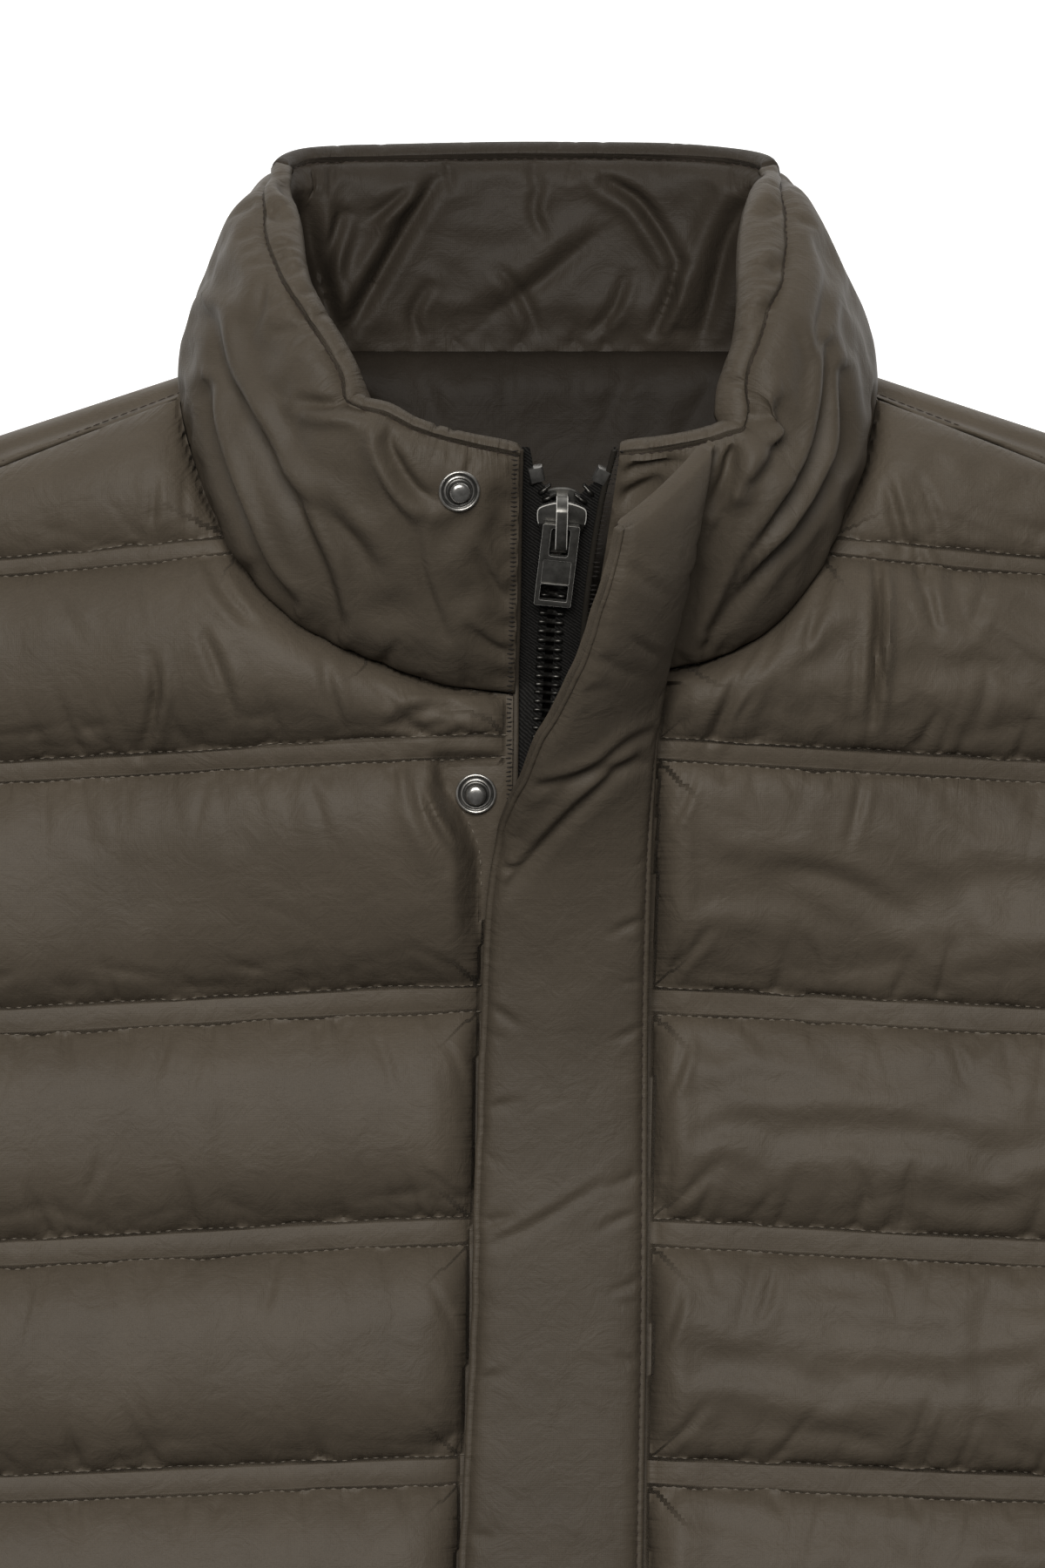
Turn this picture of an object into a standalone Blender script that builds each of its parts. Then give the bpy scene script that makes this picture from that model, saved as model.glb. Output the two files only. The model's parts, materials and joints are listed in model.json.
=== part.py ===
"""Padded jacket, laid flat on its back on a table: +Z up, +Y towards the collar, +X towards the wearer's left sleeve.

Every cut piece is one solid. The back and the two under sleeves lie on the table, the two quilted fronts and the two
upper sleeves lie on them, and the padded stand collar is a ring round the open neck. A storm flap sewn to the wearer's
left front covers the zip, and its top stands open. Lengths below are in millimetres and become metres in the meshes.
"""

import math

import bmesh
import bpy
import numpy as np
from mathutils import Matrix, Vector
from mathutils.bvhtree import BVHTree

MM = 0.001
SEAM_GAP = 0.3
NECK_GAP = 1.0  # the collar's wall leans over the neckline, so the fronts stay this far off its middle

# ---------------------------------------------------------------- heights of the layers
BACK_TOP = 23.7  # inner face of the back layer
FRONT_BASE = 24.3  # inner face of the front layer, away from the neck
EDGE_T = 4.0  # thickness where a padded panel is sewn
STITCH_T = 9.0  # thickness over a quilting row
CROWN_T = 17.0  # what a baffle adds between two rows
STRIP_T = 6.6  # flat strip beside the zip, under the storm flap
NECK_LIFT_REACH = 115.0  # the collar holds the fronts off the back within this distance of its seam

HEM_Y = -384.9
NECK_Y = 224.0  # bottom of the neckline at the zip

# Quilting: two parallel rows of stitches, the upper and the lower, and how far they drop towards the side.
QUILT = (  # upper, lower, drop
    (275.0, 269.0, 12.5),
    (209.2, 202.0, 7.5),
    (134.3, 125.7, 7.0),
    (64.4, 55.6, 7.0),
    (-7.7, -16.7, 5.5),
    (-79.5, -88.3, 4.5),
    (-151.5, -160.3, 3.5),
    (-223.5, -232.3, 2.5),
    (-295.5, -304.3, 1.5),
    (-362.0, -364.0, 0.5),
)
DROP_HALF = 157.0

# Half outline of the body, from the shoulder down: where the front ends, and where the back ends.
OUTLINE = (  # y, x_front, x_back
    (318.0, 86.0, 104.0),
    (310.9, 104.0, 126.0),
    (290.3, 157.3, 189.0),
    (275.0, 197.0, 235.0),
    (260.0, 235.0, 235.0),
    (220.0, 227.0, 227.0),
    (170.0, 223.0, 223.0),
    (120.0, 229.0, 229.0),
    (75.0, 247.0, 247.0),
    (45.0, 270.0, 270.0),
    (30.0, 287.0, 287.0),
    (-100.0, 284.0, 284.0),
    (-250.0, 281.0, 281.0),
    (-384.9, 279.0, 279.0),
)
UNDERARM_Y = 30.0
SHOULDER_TIP = (235.0, 275.0)

# The zip's line and the two front edges beside it.
ZIP_LINE = (  # y, x_zip, x_right_edge, x_left_edge
    (296.0, 12.5, -0.8, 27.3),
    (277.0, 10.4, -1.2, 22.5),
    (245.0, 7.3, -1.4, 18.0),
    (227.0, 6.3, -1.2, 16.5),
    (202.0, 4.9, -0.4, 14.0),
    (168.0, 2.9, -3.2, 11.0),
    (-40.0, -1.3, -7.4, 6.8),
    (-384.9, -4.0, -10.1, 4.1),
)

# The collar, a section at each row, from the wearer's right front edge round the back to the left: the neck seam, the
# top edge, how far the wall bows out and half the padding's thickness.
COLLAR = (  # bx, by, bz, tx, ty, tz, bow, half
    (-1.3, 221.9, 56.0, -0.5, 295.0, 92.0, 2.0, 3.6),
    (-25.5, 225.6, 56.5, -17.0, 298.4, 95.0, 4.0, 9.0),
    (-46.8, 233.9, 57.0, -33.0, 301.5, 97.0, 5.0, 10.5),
    (-66.3, 244.3, 55.0, -46.0, 306.2, 97.0, 5.0, 11.0),
    (-82.4, 259.4, 52.0, -54.6, 320.5, 94.0, 5.0, 11.0),
    (-92.3, 275.0, 48.0, -61.1, 333.5, 88.0, 5.0, 11.0),
    (-98.8, 290.6, 44.0, -65.5, 346.5, 78.0, 5.0, 11.0),
    (-102.7, 304.9, 41.0, -67.6, 360.8, 64.0, 4.0, 11.0),
    (-103.2, 315.3, 35.0, -66.0, 372.5, 46.0, 3.0, 11.0),
    (-96.2, 322.3, 25.0, -60.0, 379.0, 30.0, 1.5, 10.0),
    (-74.1, 324.5, 14.5, -45.5, 382.2, 17.0, 0.5, 10.0),
    (-37.7, 325.2, 12.6, -22.1, 384.2, 13.0, 0.0, 10.5),
    (0.0, 325.2, 12.6, 0.0, 384.9, 12.5, 0.0, 10.5),
    (37.7, 325.0, 12.6, 24.7, 384.2, 13.0, 0.0, 10.5),
    (74.1, 324.0, 14.5, 50.7, 382.5, 17.0, 0.5, 10.0),
    (96.2, 321.0, 25.0, 68.4, 379.5, 30.0, 1.5, 10.0),
    (103.5, 313.0, 35.0, 72.5, 372.0, 46.0, 3.0, 11.0),
    (103.0, 302.0, 41.0, 70.0, 360.0, 64.0, 4.0, 11.0),
    (99.3, 288.0, 44.0, 66.5, 346.5, 78.0, 5.0, 11.0),
    (93.3, 273.7, 48.0, 64.0, 332.2, 88.0, 5.0, 11.0),
    (84.5, 259.4, 52.0, 60.6, 318.0, 94.0, 5.0, 11.0),
    (71.5, 243.3, 55.0, 55.5, 306.2, 97.0, 5.0, 11.0),
    (56.0, 233.4, 57.0, 48.5, 299.5, 97.0, 4.0, 10.0),
    (35.5, 228.0, 57.0, 38.2, 296.3, 95.0, 2.0, 6.0),
    (17.4, 226.8, 57.0, 27.3, 295.0, 92.0, 1.0, 3.6),
)

# The storm flap, a section at each row from its top to the hem: its sewn edge and its free edge, each as x, y and the
# height over the fronts, and how far the cloth bows between them.
FLAP = (  # sx, sy, sz, fx, fy, fz, bow
    (53.3, 295.5, 105.0, 27.0, 270.4, 125.0, 2.0),
    (50.0, 280.0, 100.5, 25.2, 262.0, 122.0, 3.5),
    (47.6, 266.0, 94.5, 22.5, 252.5, 119.0, 4.5),
    (44.7, 252.2, 86.0, 18.5, 240.5, 113.0, 5.0),
    (41.6, 238.5, 76.0, 14.2, 229.3, 106.0, 5.0),
    (39.7, 224.8, 68.5, 9.6, 219.5, 97.5, 4.5),
    (38.0, 209.2, 63.0, 3.5, 209.0, 87.5, 4.0),
    (37.6, 196.5, 58.5, -1.5, 198.5, 76.5, 3.5),
    (37.4, 184.0, 54.2, -5.8, 190.0, 66.5, 3.0),
    (37.2, 168.0, 49.5, -9.5, 178.5, 55.0, 2.5),
    (36.9, 150.0, 44.5, -12.0, 160.0, 46.5, 2.0),
    (36.5, 128.0, 38.5, -13.5, 132.0, 38.5, 2.0),
    (36.3, 100.0, 34.0, -14.8, 100.0, 34.0, 2.0),
    (36.0, 30.0, 32.0, -17.0, 30.0, 32.0, 2.0),
    (35.2, -20.0, 32.0, -19.5, -20.0, 32.0, 2.0),
    (34.0, -100.0, 32.0, -23.0, -100.0, 32.0, 2.0),
    (31.5, -240.0, 32.0, -25.5, -240.0, 32.0, 2.0),
    (29.5, -372.0, 32.0, -27.5, -372.0, 32.0, 2.0),
    (29.3, -384.0, 32.0, -27.7, -384.0, 32.0, 1.0),
)
FLAP_T = 8.0  # padded thickness in its middle
FLAP_EDGE_T = 2.6

# The sleeve in its own frame: 'down' runs along the arm from the shoulder tip, 'out' across it, away from the body.
SLEEVE_TILT = math.radians(15.0)
SLEEVE_ORIGIN = (238.0, 268.0)
SLEEVE_QUILT = (  # upper, lower
    (38.0, 47.0),
    (110.0, 119.0),
    (182.0, 191.0),
    (254.0, 263.0),
    (326.0, 335.0),
    (398.0, 407.0),
    (470.0, 479.0),
    (542.0, 551.0),
    (626.0, 628.0),
)
SLEEVE_EDGES = (  # down, inner, outer
    (-6.0, -3.0, 10.0),
    (0.0, -5.0, 26.0),
    (15.0, -13.0, 50.0),
    (40.0, -23.0, 79.0),
    (90.0, -40.0, 116.0),
    (140.0, -47.0, 143.0),
    (195.0, -41.0, 163.0),
    (243.0, -14.0, 173.0),
    (300.0, -10.0, 175.0),
    (420.0, 0.0, 165.0),
    (540.0, 9.0, 152.0),
    (655.0, 16.0, 140.0),
)
CUFF = 655.0
SLEEVE_THIN = 0.80  # the padding is this much thinner at the cuff

# The lining that shows inside the neck, on the back's inner face.
LINING_T = 2.4

# Hardware.
STUD_COLLAR = (-20.8, 281.5)
STUD_FRONT = (-15.2, 191.6)
STUD_FLANGE_R = 6.1
STUD_POST_R = 2.5
STUD_HEIGHT = 4.6
CHAIN_HALF = 3.9
CHAIN_T = 3.4
TAPE_T = 1.2
SLIDER_Y = 277.0
PULL_LENGTH = 26.2
PULL_WIDTH = 11.0
PULL_T = 1.7


# ---------------------------------------------------------------- small tools
def column(table, k):
    return np.array([row[k] for row in table], float)


def smooth_curve(t, xs, ys):
    """A monotone cubic through the rows of a table, so that nothing overshoots between them."""
    xs, ys = np.asarray(xs, float), np.asarray(ys, float)
    if xs[0] > xs[-1]:
        xs, ys = xs[::-1], ys[::-1]
    h, d = np.diff(xs), np.diff(ys) / np.diff(xs)
    m = np.zeros(len(xs))
    both = d[:-1] * d[1:] > 0
    w1, w2 = 2 * h[1:] + h[:-1], h[1:] + 2 * h[:-1]
    inner = np.zeros(len(xs) - 2)
    inner[both] = (w1 + w2)[both] / (w1[both] / d[:-1][both] + w2[both] / d[1:][both])
    m[1:-1] = inner
    m[0], m[-1] = d[0], d[-1]
    t = np.clip(np.asarray(t, float), xs[0], xs[-1])
    k = np.clip(np.searchsorted(xs, t) - 1, 0, len(xs) - 2)
    u = (t - xs[k]) / h[k]
    return (
        (1 + 2 * u) * (1 - u) ** 2 * ys[k]
        + u * (1 - u) ** 2 * h[k] * m[k]
        + u * u * (3 - 2 * u) * ys[k + 1]
        + u * u * (u - 1) * h[k] * m[k + 1]
    )


def ease(t):
    t = np.clip(t, 0.0, 1.0)
    return t * t * (3 - 2 * t)


def dome(d, reach):
    """0 at a seam, 1 at that reach from it, rising like the side of a cushion."""
    u = 1 - np.clip(np.asarray(d, float) / reach, 0, 1)
    return np.sqrt(np.maximum(0.0, 1 - u * u))


def from_line(x, y, line):
    """Distance in plan from each point to a polyline."""
    p = np.stack([np.asarray(x, float), np.asarray(y, float)], -1)
    best = np.full(p.shape[:-1], 1e9)
    for a, b in zip(line[:-1], line[1:]):
        a, b = np.array(a, float), np.array(b, float)
        ab = b - a
        t = np.clip(((p - a) @ ab) / max(ab @ ab, 1e-9), 0, 1)
        best = np.minimum(best, np.linalg.norm(p - a - t[..., None] * ab, axis=-1))
    return best


def make_material(name, colour, roughness, metallic=0.0):
    m = bpy.data.materials.new(name)
    m.use_nodes = True
    b = m.node_tree.nodes["Principled BSDF"]
    b.inputs["Base Color"].default_value = (*colour, 1.0)
    b.inputs["Roughness"].default_value = roughness
    b.inputs["Metallic"].default_value = metallic
    return m


def add_object(name, bm, material, smooth=35.0):
    bmesh.ops.remove_doubles(bm, verts=bm.verts, dist=1e-7)
    bmesh.ops.recalc_face_normals(bm, faces=bm.faces)
    mesh = bpy.data.meshes.new(name)
    bm.to_mesh(mesh)
    bm.free()
    obj = bpy.data.objects.new(name, mesh)
    bpy.context.scene.collection.objects.link(obj)
    mesh.materials.append(material)
    mesh.shade_smooth()
    mesh.set_sharp_from_angle(angle=math.radians(smooth))
    return obj


def slab(name, upper, lower, material):
    """A closed solid between two grids of points (rows, columns, 3), joined by walls round their edges."""
    upper, lower = np.asarray(upper, float) * MM, np.asarray(lower, float) * MM
    rows, cols = upper.shape[:2]
    bm = bmesh.new()
    top = [[bm.verts.new(upper[i, j]) for j in range(cols)] for i in range(rows)]
    bottom = [[bm.verts.new(lower[i, j]) for j in range(cols)] for i in range(rows)]
    for i in range(rows - 1):
        for j in range(cols - 1):
            bm.faces.new((top[i][j], top[i + 1][j], top[i + 1][j + 1], top[i][j + 1]))
            bm.faces.new(
                (bottom[i][j], bottom[i][j + 1], bottom[i + 1][j + 1], bottom[i + 1][j])
            )
    rim = (
        [(0, j) for j in range(cols)]
        + [(i, cols - 1) for i in range(1, rows)]
        + [(rows - 1, j) for j in range(cols - 2, -1, -1)]
        + [(i, 0) for i in range(rows - 2, 0, -1)]
    )
    for (i, j), (k, m) in zip(rim, rim[1:] + rim[:1]):
        bm.faces.new((top[i][j], top[k][m], bottom[k][m], bottom[i][j]))
    bmesh.ops.triangulate(bm, faces=bm.faces)
    return add_object(name, bm, material)


# ---------------------------------------------------------------- the body's shape in plan
def x_front(y):
    return np.interp(y, column(OUTLINE, 0)[::-1], column(OUTLINE, 1)[::-1])


def x_back(y):
    return np.interp(y, column(OUTLINE, 0)[::-1], column(OUTLINE, 2)[::-1])


def drop_at(x):
    r = (np.asarray(x, float) / DROP_HALF) ** 2
    return 2 * r / (1 + r)


def drop_of(v):
    ys = [0.5 * (q[0] + q[1]) for q in QUILT] + [HEM_Y]
    ds = [q[2] for q in QUILT] + [0.0]
    return np.interp(v, ys[::-1], ds[::-1])


def zip_x(y):
    return smooth_curve(y, column(ZIP_LINE, 0), column(ZIP_LINE, 1))


def edge_x(side, y):
    """The front edge beside the zip; side is +1 for the wearer's left, at +X."""
    return smooth_curve(y, column(ZIP_LINE, 0), column(ZIP_LINE, 3 if side > 0 else 2))


def neck_lift(x, y):
    """How far the collar's seam holds the fronts off the back, most at the seam and fading away from it."""
    p = np.stack([np.asarray(x, float), np.asarray(y, float)], -1)
    best = np.full(p.shape[:-1], 1e9)
    height = np.zeros(p.shape[:-1])
    for a, b in zip(NECK_SEAM[:-1], NECK_SEAM[1:]):
        ab = b[:2] - a[:2]
        t = np.clip(((p - a[:2]) @ ab) / max(ab @ ab, 1e-9), 0, 1)
        d = np.linalg.norm(p - a[:2] - t[..., None] * ab, axis=-1)
        height = np.where(d < best, a[2] + t * (b[2] - a[2]), height)
        best = np.minimum(best, d)
    lift = np.maximum(height - FRONT_BASE - EDGE_T - 0.8, 0.0)
    return lift * (1 - ease(best / NECK_LIFT_REACH))


def baffle(v):
    """0 on a quilting row, 1 on the crown between two rows."""
    lines = [326.0] + [e for q in QUILT for e in q[:2]] + [HEM_Y - 4.0]
    out = np.zeros_like(np.asarray(v, float))
    for a, b in zip(lines[0::2], lines[1::2]):
        t = np.clip((a - v) / (a - b), 0, 1)
        out = np.maximum(out, (1 - np.abs(2 * t - 1) ** 2.6) ** 0.75)
    return out


# ---------------------------------------------------------------- the collar
def collar_grid(sections, levels):
    """(middle surface, outward normals, half thickness) of the collar wall."""
    n = len(COLLAR)
    at = np.linspace(0, n - 1, sections)
    k = np.arange(n)
    base = np.stack([smooth_curve(at, k, column(COLLAR, c)) for c in (0, 1, 2)], -1)
    top = np.stack([smooth_curve(at, k, column(COLLAR, c)) for c in (3, 4, 5)], -1)
    bow, half = (np.interp(at, k, column(COLLAR, c)) for c in (6, 7))
    along = np.gradient(0.5 * (base + top), axis=0)
    out = np.cross(top - base, along)
    out /= np.linalg.norm(out, axis=1)[:, None]
    t = np.asarray(levels)[None, :, None]
    control = 0.5 * (base + top) + 2 * bow[:, None] * out
    middle = (
        (1 - t) ** 2 * base[:, None]
        + 2 * t * (1 - t) * control[:, None]
        + t * t * top[:, None]
    )
    du, dv = np.gradient(middle, axis=0), np.gradient(middle, axis=1)
    normal = np.cross(dv, du)
    normal /= np.linalg.norm(normal, axis=-1)[..., None]
    level = np.asarray(levels)
    swell = np.sin(np.pi * np.clip(0.02 + 0.93 * level, 0, 1)) ** (0.85 - 0.3 * level)
    base_t, top_t = 2.4, 3.0
    ends = base_t + (top_t - base_t) * level
    thick = np.maximum(ends[None], ends[None] + (half[:, None] - ends[None]) * swell[None])
    return middle, normal, thick


LEVELS = (0.0, 0.12, 0.32, 0.55, 0.78, 0.92, 1.0)
SECTIONS = 33


def neck_polyline():
    """The neck seam, the base of the collar wall."""
    middle, normal, thick = collar_grid(SECTIONS, LEVELS)
    return middle[:, 0]


# ---------------------------------------------------------------- build
for old in list(bpy.data.objects):
    bpy.data.objects.remove(old)

SHELL = make_material("shell_nylon", (0.085, 0.068, 0.052), 0.42)
LINING_MAT = make_material("lining_nylon", (0.060, 0.048, 0.037), 0.50)
TAPE = make_material("zip_tape", (0.016, 0.015, 0.013), 0.80)
GUNMETAL = make_material("gunmetal", (0.120, 0.118, 0.112), 0.32, 0.9)

NECK_SEAM = neck_polyline()
NECK_FRONT = NECK_SEAM[NECK_SEAM[:, 1] < 317.0][:, :2]


def neck_side(side):
    """The neckline of one front, from the shoulder down to the zip."""
    pts = [p for p in NECK_FRONT if p[0] * side > (0 if side < 0 else 15.0)]
    pts = sorted(pts, key=lambda p: -p[1] + 0.001 * abs(p[0]))
    pts = [p for p in pts if p[1] < 312.0]
    return np.array(pts)


def front_rows(side):
    """Rows of one front as (v, x inner, x outer, y inner)."""
    neck = neck_side(side)
    y_neck, x_neck = neck[::-1, 1], np.abs(neck[::-1, 0])
    bottom = float(y_neck[0])
    marks = []
    for x, y in neck:
        marks.append(y + float(drop_of(y) * drop_at(abs(x))))
    start = float(x_neck[0])
    lines = [e for q in QUILT for e in q[:2]]
    for a, b in zip(lines[1::2], lines[2::2]):
        marks += [a + (b - a) * f for f in (0.13, 0.5, 0.87)]
    marks += [e for e in lines]
    marks += [bottom - 1.2, -376.0, HEM_Y]
    if side < 0:
        marks += [STUD_FRONT[1] + 7.6, STUD_FRONT[1] - 7.6]
    marks = sorted(set(round(m, 3) for m in marks), reverse=True)
    fixed = [round(e, 3) for e in lines + [HEM_Y, bottom - 1.2, STUD_FRONT[1] + 7.6, STUD_FRONT[1] - 7.6]]
    kept = [marks[0]]
    for m in marks[1:]:
        if kept[-1] - m > (1.2 if bottom < m < 248.0 else 6.0):
            kept.append(m)
        elif m in fixed and kept[-1] not in fixed:
            kept[-1] = m
        elif m in fixed:
            kept.append(m)
    rows = []
    for v in kept:
        # outer edge: where the row meets the outline
        y = v
        for _ in range(12):
            y = 0.5 * y + 0.5 * (v - float(drop_of(v) * drop_at(x_front(y))))
        outer = float(x_front(y))
        # inner edge: the neckline, or the edge at the zip
        yi = v
        for _ in range(12):
            xi = (
                float(np.interp(yi, y_neck, x_neck))
                if yi > bottom
                else side * float(edge_x(side, yi))
            )
            yi = 0.5 * yi + 0.5 * (v - float(drop_of(v) * drop_at(xi)))
        rows.append((v, xi, outer))
    return rows, start


def padding_start(side, y):
    """How far from the wearer's middle (x = 0) the padding begins: at the flap's seam, or just past its free edge."""
    k = slice(None, None, -1)
    if side > 0:
        return np.interp(y, column(FLAP, 1)[k], column(FLAP, 0)[k]) + 1.6
    beside_flap = np.maximum(np.interp(y, column(FLAP, 4)[k], -column(FLAP, 3)[k]) + 2.6, 2.4)
    return np.where(np.abs(y - STUD_FRONT[1]) < 8.5, -STUD_FRONT[0] + STUD_FLANGE_R + 2.0, beside_flap)


def front_columns(side, v, inner, outer, on_neck):
    start = 4.0 if on_neck else max(float(padding_start(side, v)) - inner, 2.6)
    offsets = np.array([0.0, start, start + 18.0])
    ends = np.array([26.0, 8.0, 0.0])
    width = outer - inner
    scale = min(1.0, width / 90.0)
    a, b = inner + offsets * scale, outer - ends * scale
    return np.concatenate([a, [0.5 * (a[-1] + b[0])], b])


def front_surfaces(side, rows):
    """(upper points, lower points) of one front."""
    upper, lower = [], []
    neck = neck_side(side)
    neck_line = [tuple(p) for p in neck]
    seams = [(side * x_front(y), y) for y in column(OUTLINE, 0)[1:]]
    for v, inner, outer in rows:
        on_neck = v > neck[-1, 1] - 0.5
        clear = NECK_GAP if on_neck else SEAM_GAP
        xs = front_columns(side, v, inner + clear, outer - SEAM_GAP, on_neck)
        ys = v - drop_of(v) * drop_at(xs)
        if on_neck:
            ys = ys - NECK_GAP
        px = side * xs
        base = FRONT_BASE + neck_lift(px, ys)
        d_neck = from_line(px, ys, neck_line)
        fill = (
            dome(from_line(px, ys, seams), 34.0)
            * dome(np.maximum(d_neck - 7.0, 0.0), 30.0)
            * dome(np.abs(ys - HEM_Y) + 4.0, 22.0)
        )
        stop = np.zeros_like(xs) if on_neck else np.maximum(padding_start(side, v), inner + 2.6)
        beside = np.ones_like(xs) if on_neck else dome(np.maximum(xs - stop - 0.01, 0.0), 18.0)
        full = EDGE_T + fill * beside * (STITCH_T - EDGE_T + CROWN_T * baffle(v))
        thick = np.where(xs < stop + 0.5, STRIP_T, np.maximum(full, EDGE_T))
        thick = np.where(d_neck < 3.0, EDGE_T, thick)
        if v < HEM_Y + 4.0:
            thick = np.minimum(thick, EDGE_T)
        upper.append(np.stack([px, ys, base + thick], -1))
        lower.append(np.stack([px, ys, base], -1))
    return np.array(upper), np.array(lower)


front_edges = {}
for side, name in ((-1, "front_right"), (1, "front_left")):
    rows, start = front_rows(side)
    upper, lower = front_surfaces(side, rows)
    front_edges[side] = upper[:, -1, :2]
    if side > 0:
        slab(name, upper[:, ::-1], lower[:, ::-1], SHELL)
    else:
        slab(name, upper, lower, SHELL)


# The back: rows under the shoulder line, then straight rows down to the hem.
def back_top(x):
    x = np.abs(x)
    neck_y = np.interp(x, [0.0, 60.0, 90.0, 104.0], [324.6, 324.2, 321.0, 316.5])
    shoulder = 318.0 - (x - 104.0) * (43.0 / 131.0)
    return np.where(x < 104.0, neck_y - 0.6, shoulder - 0.6)


BACK_INSETS = (0.0, 8.0, 17.0, 34.0)
BACK_LINES = (220.0, 170.0, 120.0, 75.0, 45.0, 30.0, -100.0, -250.0, -352.0, -369.0, -380.0, HEM_Y)
BACK_U = (104.0 / 235.0, 60.0 / 235.0, 0.0)


def back_columns(width):
    side = [width - 0.3 - d for d in BACK_INSETS] + [width * u for u in BACK_U]
    return np.array([-c for c in side] + side[-2::-1])


def back_surface():
    upper, lower = [], []
    for inset in BACK_INSETS:
        width = float(x_back(SHOULDER_TIP[1] - inset))
        x = back_columns(width)
        y = back_top(x) - inset
        upper.append(np.stack([x, y, np.zeros_like(x)], -1))
    for line in BACK_LINES:
        x = back_columns(float(x_back(line)))
        upper.append(np.stack([x, np.full_like(x, line), np.zeros_like(x)], -1))
    upper = np.array(upper)
    lower = upper.copy()
    x, y = upper[..., 0], upper[..., 1]
    side_d = x_back(y) - np.abs(x)
    top_d = np.where(y > 200.0, back_top(x) - y, 99.0)
    hem_d = y - HEM_Y
    under = 14.0 * (1 - dome(side_d, 34.0))
    under = np.maximum(under, 10.0 * (1 - dome(top_d, 34.0)))
    under = np.maximum(under, 9.0 * (1 - dome(hem_d, 17.0)))
    under[under < 0.35] = 0.0
    upper[..., 2] = BACK_TOP - 6.5 * (1 - dome(top_d, 7.9))
    lower[..., 2] = under
    return upper, lower


upper, lower = back_surface()
slab("back", upper, lower, SHELL)
BACK_ARMHOLE = [(p[0] + 0.3, p[1]) for p in upper[:, -1, :2] if p[1] > UNDERARM_Y - 0.5]


# The sleeves.
def sleeve_to_world(side, down, out, z):
    s, c = math.sin(SLEEVE_TILT), math.cos(SLEEVE_TILT)
    x = SLEEVE_ORIGIN[0] + down * s + out * c
    y = SLEEVE_ORIGIN[1] - down * c + out * s
    return np.stack([side * x, y, z + 0 * x], -1)


def world_to_sleeve(x, y):
    s, c = math.sin(SLEEVE_TILT), math.cos(SLEEVE_TILT)
    dx, dy = x - SLEEVE_ORIGIN[0], y - SLEEVE_ORIGIN[1]
    return dx * s - dy * c, dx * c + dy * s


def sleeve_baffle(a):
    lines = [-30.0] + [e for q in SLEEVE_QUILT for e in q] + [CUFF + 4.0]
    out = np.zeros_like(np.asarray(a, float))
    for lo, hi in zip(lines[0::2], lines[1::2]):
        t = np.clip((a - lo) / (hi - lo), 0, 1)
        out = np.maximum(out, (1 - np.abs(2 * t - 1) ** 2.6) ** 0.75)
    return out


def sleeve_rows(armhole, fine):
    """Rows as (down, inner, outer): one at each point of the armhole, then down to the cuff."""
    seam = [world_to_sleeve(abs(x), y) for x, y in armhole]
    rows = []
    for a, c in seam:
        if rows and a - rows[-1][0] < 0.6:
            continue
        outer = float(smooth_curve(a, column(SLEEVE_EDGES, 0), column(SLEEVE_EDGES, 2)))
        rows.append((a, c + SEAM_GAP, max(outer, c + 9.0)))
    last = rows[-1][0]
    lines = [e for q in SLEEVE_QUILT for e in q]
    marks = []
    if fine:
        for a, b in zip(lines[1::2], lines[2::2]):
            marks += [a + (b - a) * f for f in (0.13, 0.5, 0.87)]
        marks += lines
    else:
        marks += [300.0, 380.0, 460.0, 540.0, 600.0]
    marks += [642.0, CUFF]
    marks = sorted(m for m in marks if m > last + 5.0)
    kept = [marks[0]]
    for m in marks[1:]:
        if m - kept[-1] > 4.0 or m == CUFF:
            kept.append(m)
    for a in kept:
        inner = float(smooth_curve(a, column(SLEEVE_EDGES, 0), column(SLEEVE_EDGES, 1)))
        outer = float(smooth_curve(a, column(SLEEVE_EDGES, 0), column(SLEEVE_EDGES, 2)))
        rows.append((a, max(inner, -13.6), outer))
    return rows


def sleeve_surfaces(side, rows, cols, top, seam):
    upper, lower = [], []
    inner_line = [(a, c) for a, c, _ in rows]
    outer_line = [(a, o) for a, _, o in rows]
    for a, inner, outer in rows:
        c = inner + (outer - inner) * np.asarray(cols)
        thin = 1 - (1 - SLEEVE_THIN) * ease(a / CUFF)
        d_in = from_line(np.full_like(c, a), c, inner_line)
        d_out = from_line(np.full_like(c, a), c, outer_line)
        d_cuff = CUFF - a + 3.0
        if top:
            fill = dome(d_in, 30.0) * dome(d_out, 34.0) * dome(d_cuff, 16.0)
            fill = fill * thin
            z = FRONT_BASE + EDGE_T + fill * (
                STITCH_T - EDGE_T + CROWN_T * sleeve_baffle(a)
            )
            upper.append(sleeve_to_world(side, a, c, z))
            lower.append(sleeve_to_world(side, a, c, np.full_like(c, FRONT_BASE)))
        else:
            free = d_in if a > seam else np.full_like(c, 99.0)
            under = 14.0 * (1 - dome(np.minimum(free, d_out), 34.0))
            under = np.maximum(under, 9.0 * (1 - dome(CUFF - a, 17.0)))
            under[under < 0.35] = 0.0
            upper.append(sleeve_to_world(side, a, c, np.full_like(c, BACK_TOP)))
            lower.append(sleeve_to_world(side, a, c, under))
    return np.array(upper), np.array(lower)


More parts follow.
